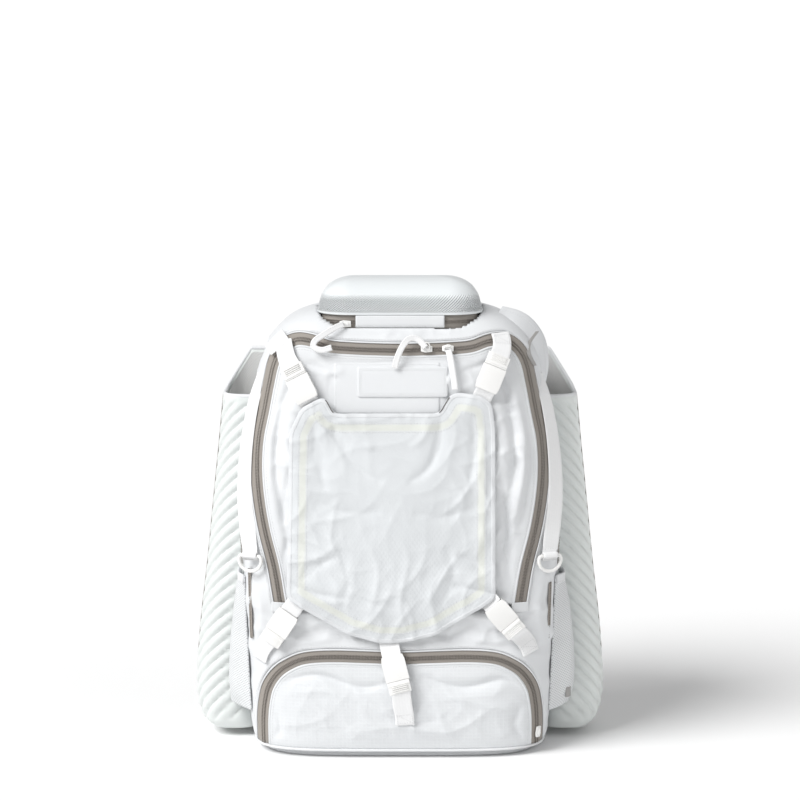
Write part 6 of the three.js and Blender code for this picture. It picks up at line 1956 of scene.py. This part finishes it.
@dataclass
class TopCase:
    """The moulded case on the top: its dome, its zip and the cloth hinge in front."""

    width: float = 184.0
    depth: float = 104.0
    height: float = 40.0
    corner: float = 36.0
    centre_y: float = -45.0
    shelf: float = 493.0
    zip_height: float = 16.0
    zip_inset: float = 2.5
    hinge_width: float = 100.0
    profile: tuple = (
        (0.0, -0.06), (0.3, 0.0), (0.52, 0.1), (0.72, 0.28), (0.87, 0.56), (0.96, 0.92), (1.0, 1.35),
    )

    def _loop(self, grow: float, count: int = 200) -> np.ndarray:
        """The case's outline grown by a distance, as even x, y points."""
        loop = rounded_loop(self.width / 2 + grow, self.depth / 2 + min(grow, 1.0),
                            max(self.corner + grow, 3.0), 24)
        loop[:, 1] += self.centre_y
        return resample(np.vstack([loop, loop[:1]]), count + 1)[:-1]

    def _dome(self) -> None:
        """The moulded dome, with a raised lip at its foot."""
        foot = self.shelf + self.zip_height
        rows = np.array(self.profile)
        curve = spline(np.stack([rows[:, 0] * self.height, rows[:, 1] * self.corner], axis=1), 9)
        levels = [(0.0, 2.5), (0.0, -1.2), (0.5, -2.4), (1.8, -2.9), (2.8, -2.5), (3.3, -2.0)]
        levels += [(h, d) for h, d in curve if h > 3.6]
        rings = []
        for height, draw in levels:
            loop = np.roll(self._loop(-draw), -50, axis=0)
            rings.append(np.column_stack([loop, np.full(len(loop), foot + height)]))
        top = rings[-1]
        middle = np.array([0, self.centre_y, 0])
        for s in np.linspace(0.9, 0.03, 14):
            rings.append((top - middle) * [s, s, 1] + middle)
        verts = np.array(rings)
        count, sides = verts.shape[:2]
        faces = grid_faces(count, sides, wrap=True)
        faces += end_faces(count, sides)
        piece = new_piece("case_dome", verts.reshape(-1, 3), faces)
        around = np.arange(sides) * (line_length(self._loop(0)) / sides)
        uv = np.stack(np.broadcast_arrays(around[None], verts[..., 2]), axis=-1)
        set_uv(piece, uv.reshape(-1, 2))
        dress(piece, FINISH.case, "moulded_foam", "case_shell")

    def _zip(self) -> None:
        """The standing tape and the teeth round the case's foot."""
        middle, top = self.zip_height / 2, self.zip_height - 0.35
        levels = (
            (0.35, -1.6), (0.35, 0), (middle - 2.4, 0), (middle - 1.6, 0.5), (middle, 0.75),
            (middle + 1.6, 0.5),
            (middle + 2.4, 0), (top, 0), (top, -1.6),
        )
        rings = []
        for height, out in levels:
            loop = self._loop(out - self.zip_inset)
            rings.append(np.column_stack([loop, np.full(len(loop), self.shelf + height)]))
        verts = np.stack(rings, axis=1)
        count, sides = verts.shape[:2]
        faces = grid_faces(count, sides, wrap=True)
        faces += joined_ends(count, sides)
        piece = new_piece("case_zip_tape", verts.reshape(-1, 3), faces)
        around = np.arange(count) * (line_length(self._loop(0)) / count)
        uv = np.stack(np.broadcast_arrays(np.array([h for h, _ in levels])[None], around[:, None]), axis=-1)
        set_uv(piece, uv.reshape(-1, 2))
        dress(piece, FINISH.tape, "zip_tape", "case_zip")
        for k, rise in enumerate((-1.05, 1.05)):
            loop = self._loop(0.9 - self.zip_inset, 300)
            at = np.column_stack([loop, np.full(len(loop), self.shelf + self.zip_height / 2 + rise)])
            along = np.roll(at, -1, axis=0) - np.roll(at, 1, axis=0)
            out = np.cross(along, [0, 0, 1.0])
            teeth = BEADS.make(f"case_teeth_{k}", at, np.tile([0, 0, 1.0], (len(at), 1)), out,
                               (2.4, 1.15, 1.4), FINISH.coil)
            dress(teeth, FINISH.coil, "zip_tape")

    def _hinge(self) -> None:
        """The cloth hinge over the middle of the case's zip."""
        x = np.linspace(-self.hinge_width / 2, self.hinge_width / 2, 60)
        z = np.linspace(0.12, 0.96, 12)
        swell = Profile((0.12, 0.35, 0.75, 0.96), (0.0, 1.2, 1.0, 0.0))
        gx, gz = np.meshgrid(x, z)
        face = self.centre_y - self.depth / 2 + self.zip_inset - 1.1 - 0.35
        y = face - 1.5 - swell(gz) - 0.5 * (1 - (gx / 50) ** 2) - 0.12 * ripples(gx, gz * 12, 22, 31)
        front = np.stack([gx, y, self.shelf + gz * self.zip_height], axis=-1)
        back = front.copy()
        back[..., 1] = face
        piece = shell("case_hinge_cloth", front, back, front[..., [0, 2]], 0.3)
        dress(piece, FINISH.plain, "ripstop", "case_flap")
        for k, share in enumerate((0.22, 0.86)):
            y = face - 1.65 - float(swell(share)) - 0.5 * (1 - (x / 50) ** 2)
            line = np.stack([x, y, np.full(60, self.shelf + share * self.zip_height)], axis=1)
            stitches(f"case_hinge_stitches_{k}", line, np.tile([0, -1.0, 0], (60, 1)), 3.0, 2.1, 0.5)

    def build(self) -> None:
        """Builds the case."""
        self._dome()
        self._zip()
        self._hinge()


@dataclass
class BatSleeve:
    """A ribbed moulded sleeve that a bat stands in, with its rim, its lining and its side zip."""

    side: Side
    ribs: int = 24
    depth: float = 3.4
    slope: float = 0.8
    lean: float = 0.55
    facets: int = 150
    rise: float = 48.0

    def _mouth(self, angle: np.ndarray) -> np.ndarray:
        """The rim's height at each angle round the sleeve: level in front, rising to the body behind."""
        at = SLEEVE.point(1, np.full(angle.shape, SLEEVE.MOUTH), angle, 0.0)
        x, y = at[:, 0], at[:, 1]
        behind = smoothstep(26, 44, y) * smoothstep(128, 152, x)
        return SLEEVE.MOUTH + self.rise * np.clip((209 - x) / 27, 0, 1) * behind

    def _wall(self, inset: float, foot: float, steps: int) -> tuple[np.ndarray, np.ndarray, np.ndarray]:
        """Rings of the sleeve's wall from its foot to its rim, with the angles and heights."""
        angle = np.linspace(-180, 180, self.facets, endpoint=False)
        share = np.linspace(0, 1, steps)[:, None]
        z = foot + (self._mouth(angle)[None] - foot) * share
        return SLEEVE.point(self.side.value, z, np.broadcast_to(angle, z.shape), inset), angle, z

    def build(self) -> None:
        """Builds the sleeve."""
        outer, angle, z = self._wall(0.0, SLEEVE.BASE, self.ribs * 12)
        inner, _, inner_z = self._wall(SLEEVE.WALL, SLEEVE.BASE + SLEEVE.WALL, 40)
        pitch = (SLEEVE.MOUTH - SLEEVE.BASE) / self.ribs
        spread = np.abs(outer[..., 0]).max(axis=1, keepdims=True) - np.abs(outer[..., 0])
        behind = outer[..., 1] - outer[..., 1].min(axis=1, keepdims=True)
        phase = (z - self.slope * spread + self.lean * behind - SLEEVE.BASE) / pitch
        front = smoothstep(-168, -150, angle) * (1 - smoothstep(60, 95, angle))
        share = front[None] * smoothstep(SLEEVE.BASE + 4, SLEEVE.BASE + 22,
                                         z) * smoothstep(SLEEVE.MOUTH - 2, SLEEVE.MOUTH - 12, z)
        inward = SLEEVE.point(self.side.value, z, np.broadcast_to(angle, z.shape), 1.0) - outer
        middle = outer[0].mean(axis=0)
        lids = [(outer[0] - middle) * s + middle for s in (0.05, 0.5, 0.9, 0.985)]
        well_middle = inner[0].mean(axis=0)
        wells = [(inner[0] - well_middle) * s + well_middle for s in (0.95, 0.5, 0.05)]
        rim = (outer[-1] + inner[-1]) / 2 + [0, 0, 1.4]
        rings = np.concatenate([np.array(lids), outer, rim[None], inner[::-1], np.array(wells)])
        count, sides = rings.shape[:2]
        before, after = len(lids), count - len(lids) - len(outer)
        attributes = {
            "phase": np.pad(phase, ((before, after), (0, 0))),
            "share": np.pad(share, ((before, after), (0, 0))),
        }
        faces = grid_faces(count, sides, wrap=True)
        faces += end_faces(count, sides)
        word = self.side.word
        piece = new_piece(f"bat_sleeve_{word}_moulded", rings.reshape(-1, 3), faces)
        mesh = piece.data
        for key, values in attributes.items():
            layer = mesh.attributes.new(key, "FLOAT", "POINT")
            layer.data.foreach_set("value", values.astype(np.float32).ravel())
        push = np.pad(inward, ((before, after), (0, 0), (0, 0)))
        layer = mesh.attributes.new("in", "FLOAT_VECTOR", "POINT")
        layer.data.foreach_set("vector", push.astype(np.float32).ravel())
        around = np.broadcast_to(np.radians(angle) * 45, rings.shape[:2])
        set_uv(piece, np.stack([around, rings[..., 2]], axis=-1).reshape(-1, 2))
        RIBS.press(piece, self.depth, 0.6, FINISH.foam)
        dress(piece, FINISH.foam, "moulded_foam", f"bat_sleeve_{word}")
        self._rim(outer[-1], inner[-1])
        self._lining(inner)
        self._side_zip(angle, z, outer)

    def _rim(self, outer: np.ndarray, inner: np.ndarray) -> None:
        """The bound edge round the sleeve's mouth."""
        middle = (outer + inner) / 2 + [0, 0, 0.6]
        out = outer - inner
        out = unit(out)
        piece = tube(f"sleeve_rim_{self.side.word}", middle, 2.9, 12, loop=True, flat=0.8, out=out)
        dress(piece, FINISH.binding, "moulded_foam")

    def _lining(self, inner: np.ndarray) -> None:
        """The grey cloth inside the sleeve."""
        middle = inner.mean(axis=1, keepdims=True)
        wall = inner[3:] + (middle[3:] - inner[3:]) * 0.025
        wall[-1, :, 2] -= 3.0
        faces = grid_faces(*wall.shape[:2], wrap=True)
        piece = new_piece(f"sleeve_lining_{self.side.word}", wall.reshape(-1, 3), [f[::-1] for f in faces],
                          closed=False)
        around = np.broadcast_to(np.linspace(0, 260, wall.shape[1]), wall.shape[:2])
        set_uv(piece, np.stack([around, wall[..., 2]], axis=-1).reshape(-1, 2))
        dress(piece, FINISH.lining, "ripstop")

    def _side_zip(self, angle: np.ndarray, z: np.ndarray, outer: np.ndarray) -> None:
        """The thin zip down the sleeve's outer side."""
        column = int(np.argmin(np.abs(angle - 12)))
        line = outer[60:-2, column]
        out = np.array([self.side.value * 0.97, 0.24, 0.0])
        rows = resample(line, int(line_length(line) / 2.0)) + out * 0.2
        ups = np.tile(out, (len(rows), 1))
        across = np.cross(np.gradient(rows, axis=0), ups)
        run = Run(rows, unit(across), ups)
        piece = band(f"sleeve_zip_tape_{self.side.word}", run, 8.0, 0.7)
        dress(piece, FINISH.tape, "zip_tape")
        teeth = BEADS.make(f"sleeve_teeth_{self.side.word}", rows + out * 0.9, across, ups, (3.2, 1.2, 1.4),
                           FINISH.coil)
        dress(teeth, FINISH.coil, "zip_tape")


@dataclass
class SidePocket:
    """A mesh pocket on the body's side, in front of the sleeve, with its elastic rim."""

    side: Side
    swell: float
    foot: float = 46.0
    rim: float = 204.0
    wall: float = 1.6
    arc: tuple = ((0.0, 0.0), (0.22, 0.5), (0.5, 1.0), (0.78, 0.85), (1.0, 0.25))
    lift: tuple = ((0.0, 0.15), (0.12, 0.75), (0.4, 1.0), (0.75, 0.9), (1.0, 0.55))
    start_turn: float = 70.0
    end_turn: float = -96.0
    start_lift: float = 0.7

    def _grid(self, grow: float, rows: int = 70, columns: int = 44) -> np.ndarray:
        """The pocket's face as rows by columns points."""
        arc = Profile(*zip(*self.arc))
        lift = Profile(*zip(*self.lift))
        share = np.linspace(0, 1, rows)
        z = self.foot + share * (self.rim - self.foot)
        start = BODY.point(z, np.full(rows, self.start_turn), self.start_lift)
        end = SLEEVE.point(1, z, np.full(rows, self.end_turn), 0.0)
        end[:, 1] -= 1.05 + self.wall
        across = np.linspace(0, 1, columns)
        points = start[:, None] + (end - start)[:, None] * across[None, :, None]
        out = self.swell * arc(across)[None] * lift(share)[:, None] + grow
        out = out + 0.5 * ripples(across[None] * 60, z[:, None], 34,
                                  41 + self.side.value) * arc(across)[None]
        points[..., 0] += out
        points[..., 1] -= out * 0.55
        points[..., 0] *= self.side.value
        return points

    def build(self) -> None:
        """Builds the pocket and its rim."""
        outer, inner = self._grid(self.wall), self._grid(0.0)
        steps = lengths_to(outer[35])
        uv = np.stack(np.broadcast_arrays(steps[None, :], outer[..., 2]), axis=-1)
        word = self.side.word
        piece = shell(f"side_pocket_{word}_mesh", outer, inner, uv, 0.2)
        dress(piece, FINISH.mesh, "mesh", f"side_pocket_{word}")
        edge = outer[-1]
        out = outer[-1] - inner[-1]
        out = unit(out)
        along = np.gradient(edge, axis=0)
        along = unit(along)
        up = np.cross(along, out)
        up *= np.sign(up[:, 2:3])
        run = Run(edge - up * 3.5 - out * 0.6, up, out).fine(2.0)
        dress(band(f"pocket_rim_{word}", run, 11.0, 2.2), FINISH.binding, "mesh")
        stitches(f"pocket_rim_stitches_{word}", run.at - run.across * 3.6 + run.out * 2.3, run.out)
        if self.side is Side.RIGHT:
            low = outer[8, 16:24]
            away = low - inner[8, 16:24]
            away = unit(away)
            run = Run(low + away * 0.3, np.tile([0, 0, 1.0], (8, 1)), away).fine(1.5)
            dress(band("pocket_tab", run, 12.0, 1.2), FINISH.reflective, "webbing")


def puffed(piece: bpy.types.Object, voxel: float, pressure: float, cap: float) -> bpy.types.Object:
    """Swells a closed piece as a stuffed one, with a cloth simulation that is kept in its mesh.

    Args:
        piece: The piece, a closed mesh at rest.
        voxel: The remesh's cell in mm.
        pressure: The air pressure inside it.
        cap: How far a point may move, in mm.

    Returns:
        The same object, remeshed and swollen.
    """
    scene = bpy.context.scene
    remesh = piece.modifiers.new("cells", "REMESH")
    remesh.mode, remesh.voxel_size, remesh.use_smooth_shade = "VOXEL", voxel * MM, True
    piece.data = evaluated(piece)
    piece.modifiers.clear()
    rest = np.empty(len(piece.data.vertices) * 3, np.float32)
    piece.data.vertices.foreach_get("co", rest)
    cloth = piece.modifiers.new("swell", "CLOTH")
    cloth.settings.quality = 5
    cloth.settings.mass = 0.25
    cloth.settings.tension_stiffness = cloth.settings.compression_stiffness = 18.0
    cloth.settings.bending_stiffness = 0.6
    cloth.settings.use_pressure = True
    cloth.settings.uniform_pressure_force = pressure
    cloth.settings.effector_weights.gravity = 0.0
    cloth.point_cache.frame_start, cloth.point_cache.frame_end = 1, 20
    for step in range(1, 21):
        scene.frame_set(step)
    seen = piece.evaluated_get(bpy.context.evaluated_depsgraph_get())
    moved = np.empty_like(rest)
    seen.data.vertices.foreach_get("co", moved)
    piece.modifiers.clear()
    scene.frame_set(1)
    shift = (moved - rest).reshape(-1, 3)
    far = np.linalg.norm(shift, axis=1, keepdims=True)
    shift *= np.minimum(1, cap * MM / np.maximum(far, 1e-9))
    piece.data.vertices.foreach_set("co", (rest.reshape(-1, 3) + shift).ravel())
    smooth = piece.modifiers.new("smooth", "SUBSURF")
    smooth.levels = smooth.render_levels = 1
    piece.data = evaluated(piece)
    piece.modifiers.clear()
    piece.data.shade_smooth()
    return piece


def own_places(piece: bpy.types.Object, columns: tuple[int, int] = (0, 2)) -> None:
    """Gives a remeshed piece its places on the cloth from two of its points' coordinates."""
    flat = np.empty(len(piece.data.vertices) * 3, np.float32)
    piece.data.vertices.foreach_get("co", flat)
    set_uv(piece, flat.reshape(-1, 3)[:, list(columns)] / MM)


@dataclass
class BackPad:
    """The padded mesh panel against the wearer's back, with its sewn channels."""

    half: float = 98.0
    thickness: float = 9.0
    foot: float = 66.0
    top: float = 436.0
    bow: float = 6.0
    channels: tuple = (
        Crease(((0, 92), (0, 250), (0, 412)), 5.0, -3.4),
        Crease(((-86, 180), (-40, 168), (0, 150)), 4.0, -2.8),
        Crease(((86, 180), (40, 168), (0, 150)), 4.0, -2.8),
        Crease(((-88, 262), (-40, 250), (0, 232)), 4.0, -2.8),
        Crease(((88, 262), (40, 250), (0, 232)), 4.0, -2.8),
        Crease(((-86, 344), (-40, 332), (0, 314)), 4.0, -2.8),
        Crease(((86, 344), (40, 332), (0, 314)), 4.0, -2.8),
    )

    def outline(self, grow: float = 0.0) -> tuple[np.ndarray, np.ndarray, np.ndarray, np.ndarray]:
        """The pad's bottom, top, left and right edges."""
        middle = (self.top + self.foot) / 2
        side = spline([(self.half * 0.84 + grow, self.foot - grow),
                       (self.half * 0.93 + grow, self.foot + 50),
                       (self.half + grow, middle), (self.half * 0.9 + grow, self.top - 50),
                       (self.half * 0.74 + grow, self.top + grow)], 18)
        left = side * [-1, 1]
        bottom = np.linspace(left[0], side[0], 60)
        top = np.linspace(left[-1], side[-1], 60)
        bottom[:, 1] -= self.bow * (1 - (bottom[:, 0] / self.half) ** 2)
        top[:, 1] += self.bow * (1 - (top[:, 0] / self.half) ** 2)
        bottom[:, 1] += self.bow * (1 - (bottom[0, 0] / self.half) ** 2)
        top[:, 1] -= self.bow * (1 - (top[0, 0] / self.half) ** 2)
        return bottom, top, resample(left, 100), resample(side, 100)

    def build(self) -> None:
        """Builds the pad, its channels and its piping."""
        flat = coons(*self.outline())
        x, z = flat[..., 0], flat[..., 1]
        back = BODY.back(x, z) + 0.9
        middle, half = (self.top + self.foot) / 2, (self.top - self.foot) / 2
        edge = (1 - 0.5 * (x / self.half) ** 4) * (1 - 0.5 * ((z - middle) / half) ** 6)
        front = np.stack([x, back + (self.thickness - 3.0) * edge, z], axis=-1)
        inner = np.stack([x, back, z], axis=-1)
        piece = shell("back_pad_cushion", front, inner, flat, 2.0)
        piece = puffed(piece, 4.5, 3.0, 5.0)
        mesh = piece.data
        co = np.empty(len(mesh.vertices) * 3, np.float32)
        mesh.vertices.foreach_get("co", co)
        points = co.reshape(-1, 3) / MM
        px, pz = points[:, 0].astype(float), points[:, 2].astype(float)
        rise = np.clip(points[:, 1] - BODY.back(px, pz) - 1.5, 0, None)
        press = sum(c.height(px, pz) for c in self.channels)
        points[:, 1] += np.maximum(press, -4.0) * np.clip(rise / 5.0, 0, 1)
        mesh.vertices.foreach_set("co", (points * MM).astype(np.float32).ravel())
        own_places(piece)
        dress(piece, FINISH.air_mesh, "mesh", "back_pad")
        bottom, top, left, right = self.outline(0.8)
        loop = np.vstack([bottom[:-1], right[:-1], top[::-1][:-1], left[::-1][:-1]])
        loop = softened(loop, 2.5, 5, closed=True)
        path = np.stack([loop[:, 0], BODY.back(loop[:, 0], loop[:, 1]) + 1.9, loop[:, 1]], axis=1)
        dress(tube("back_pad_piping", path, 2.0, 10, loop=True), FINISH.binding, "ripstop")


@dataclass
class Harness:
    """One padded shoulder strap with its webbing down to the foot of the back."""

    side: Side
    width: float = 62.0
    thickness: float = 10.0
    top_x: float = 56.0
    spread: float = 62.0
    webbing: float = 25.0
    rows: tuple = (
        (0.0, 90.8, 0.86, 0.8), (0.02, 112, 0.9, 0.86), (0.07, 132, 0.885, 0.95), (0.17, 148, 0.82, 1.0),
        (0.36, 155, 0.71, 1.0), (0.58, 152, 0.59, 0.94), (0.79, 142, 0.47, 0.84), (0.93, 129, 0.36, 0.72),
        (1.0, 118, 0.285, 0.6),
    )
    tail: tuple = (
        (1.0, 117.0, 0.2826), (1.02, 109.5, 0.225), (1.04, 104, 0.15), (1.06, 96.5, 0.09),
        (1.07, 94.5, 0.06),
    )

    def _run(self, rows: Sequence, share: Sequence[float]) -> Run:
        """Stations down the back, each facing square to its run."""
        points = np.array([(self.side.value * (self.top_x + r[0] * self.spread), r[1], r[2] * BODY.HEIGHT)
                           for r in rows])
        ahead = np.gradient(points, axis=0)
        ahead = unit(ahead)
        across = np.array([1.0, 0, 0]) - ahead * ahead[:, :1]
        across = unit(across)
        return Run(points, across, np.cross(ahead, across), np.array(share, float))

    def build(self) -> None:
        """Builds the strap, its binding and its webbing."""
        word = self.side.word
        run = self._run(self.rows, [r[3] for r in self.rows]).fine(5.0)
        angle = np.linspace(0, math.tau, 40, endpoint=False)
        flat_x = np.sign(np.cos(angle)) * np.abs(np.cos(angle)) ** 0.5
        flat_z = np.sign(np.sin(angle)) * np.abs(np.sin(angle)) ** 0.8
        half = (self.width / 2 - 2.5) * run.share
        ends = np.clip(np.minimum(run.lengths(), run.lengths()[-1] - run.lengths()) / 6.0, 0.25, 1) ** 0.5
        rings = (
            run.at[:, None]
            + run.across[:, None] * (flat_x[None, :, None] * (half * ends)[:, None, None])
            + run.out[:, None] * (flat_z[None, :, None]
                                  * ((self.thickness / 2 - 1.8) * ends)[:, None, None])
        )
        count, sides = rings.shape[:2]
        faces = grid_faces(count, sides, wrap=True)
        faces += end_faces(count, sides)
        piece = new_piece(f"shoulder_strap_{word}_cushion", rings.reshape(-1, 3), faces)
        piece = puffed(piece, 4.5, 3.0, 4.0)
        own_places(piece)
        dress(piece, FINISH.air_mesh, "ripstop", f"shoulder_strap_{word}")
        for sign in (-1, 1):
            edge = run.at + run.across * (sign * (self.width / 2 - 0.8) * run.share)[:, None]
            trim = tube(f"strap_binding_{word}_{'in' if sign < 0 else 'out'}", edge, 2.2, 10, out=run.out)
            dress(trim, FINISH.binding, "webbing")
        centre = Run(run.at + run.out * (self.thickness / 2 + 0.6), run.across, run.out)
        dress(band(f"strap_webbing_{word}", centre, self.webbing, 1.4), FINISH.webbing, "webbing")
        for sign in (-1, 1):
            line = centre.at + centre.across * (sign * 9.5) + centre.out * 1.5
            stitches(f"strap_stitches_{word}_{'in' if sign < 0 else 'out'}", line, centre.out)
        tail = self._run(self.tail, [1.0] * len(self.tail)).fine(2.5)
        dress(band(f"harness_tail_{word}", tail, self.webbing, 1.6), FINISH.webbing, "webbing",
              f"harness_webbing_{word}")


@dataclass
class GrabLoop:
    """The carrying loop at the top of the back."""

    height: float = 485.0
    lean: float = 24.0
    width: float = 25.0
    thickness: float = 3.0
    rows: tuple = ((-50, 0.3), (-40, 0.3), (-30, 10), (-14, 18), (0, 20), (14, 18), (30, 10), (40, 0.3),
                   (50, 0.3))

    def build(self) -> None:
        """Builds the loop and the two rows of stitches along its edges."""
        lean = math.radians(self.lean)
        out = np.array([0, math.cos(lean), math.sin(lean)])
        across = np.array([0, -math.sin(lean), math.cos(lean)])
        base = np.array([0, float(BODY.back(0, self.height)), self.height])
        at = np.array([base + [x, 0, 0] + out * off for x, off in self.rows])
        ahead = np.gradient(at, axis=0)
        ups = np.cross(ahead, np.tile(across, (len(at), 1)))
        ups *= np.sign(ups @ out)[:, None]
        ups = unit(ups)
        run = Run(at, np.tile(across, (len(at), 1)), ups).fine(2.0)
        dress(band("grab_loop_webbing", run, self.width, self.thickness, 0.3), FINISH.webbing, "webbing",
              "grab_loop")
        for sign in (-1, 1):
            line = run.at + run.across * (sign * 9.6) + run.out * (self.thickness + 0.1)
            stitches(f"grab_stitches_{'low' if sign < 0 else 'high'}", line, run.out)


@dataclass
class Stage:
    """The camera at the photograph's angle, the pale floor and the soft lights."""

    target: tuple[float, float, float] = (0.0, 0.0, 0.3983)
    distance: float = 3.3
    elevation: float = 8.0
    lens: float = 126.9

    def _camera(self) -> None:
        """The camera."""
        data = bpy.data.cameras.new("view")
        data.lens, data.sensor_width = self.lens, 36.0
        data.clip_start, data.clip_end = 0.05, 1000
        camera = bpy.data.objects.new("view", data)
        e = math.radians(self.elevation)
        back = Vector((0, -math.cos(e), math.sin(e)))
        camera.location = Vector(self.target) + back * self.distance
        camera.rotation_euler = (-back).to_track_quat("-Z", "Y").to_euler()
        bpy.context.scene.collection.objects.link(camera)
        bpy.context.scene.camera = camera

    def _sun(self, name: str, towards: Sequence[float], strength: float, spread: float) -> None:
        """One soft light from far off, shining along a direction."""
        data = bpy.data.lights.new(name, "SUN")
        data.energy, data.angle = strength, math.radians(spread)
        lamp = bpy.data.objects.new(name, data)
        lamp.rotation_euler = Vector(towards).to_track_quat("-Z", "Y").to_euler()
        bpy.context.scene.collection.objects.link(lamp)

    def _floor(self) -> None:
        """The pale floor, with a low wall far off that hides its edge."""
        far, low, high = 4e5, -0.3, 2.1e4
        square = ((-far, -far), (far, -far), (far, far), (-far, far))
        corners = np.array([(x, y, z) for z in (low, high) for x, y in square])
        walls = [(k, k + 4, (k + 1) % 4 + 4, (k + 1) % 4) for k in range(4)]
        piece = new_piece("floor", corners, [(0, 1, 2, 3), *walls], closed=False)
        desk = Desk("floor paint")
        desk.finish((0.94, 0.94, 0.94), None, Roughness=1.0, Specular_IOR_Level=0.0)
        piece.data.materials.append(desk.material)

    def build(self) -> None:
        """Builds the stage."""
        self._camera()
        self._floor()
        world = bpy.data.worlds.new("room")
        world.use_nodes = True
        back = world.node_tree.nodes["Background"]
        back.inputs["Color"].default_value = (1.0, 1.0, 1.0, 1.0)
        back.inputs["Strength"].default_value = 0.4
        bpy.context.scene.world = world
        self._sun("key", (0.8, 0.6, -0.9), 3.0, 34.0)
        self._sun("fill", (-0.8, 0.5, -0.5), 0.3, 60.0)
        bpy.context.scene.view_settings.view_transform = "Standard"


def main() -> None:
    """Builds the stage and every piece of the bag in order."""
    logging.basicConfig(level=logging.INFO, format="%(name)s: %(message)s")
    Stage().build()
    BodySkin().build()
    ZippedPanel("main_cloth", BODY.main_zip, BODY.main_arch, BODY.MAIN_FOLDS, "main_panel", "main_zip",
                0.31, 140, 150, FINISH.plain, 2.6).build()
    ZippedPanel("shoe_cloth", BODY.shoe_zip, BODY.shoe_arch, BODY.SHOE_FOLDS, "shoe_panel", "shoe_zip",
                0.22, 140, 60, FINISH.ripstop, 1.7).build()
    HelmetFlap().build()
    BadgePatch().build()
    for buckle in BUCKLES:
        buckle.build()
    Sliders().build()
    SmallPieces().build()
    TopCase().build()
    for side in Side:
        BatSleeve(side).build()
        RingHanger(side).build()
        Harness(side).build()
    SidePocket(Side.LEFT, 9.0).build()
    SidePocket(Side.RIGHT, 14.0).build()
    BackPad().build()
    GrabLoop().build()
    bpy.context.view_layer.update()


if __name__ == "__main__":
    main()
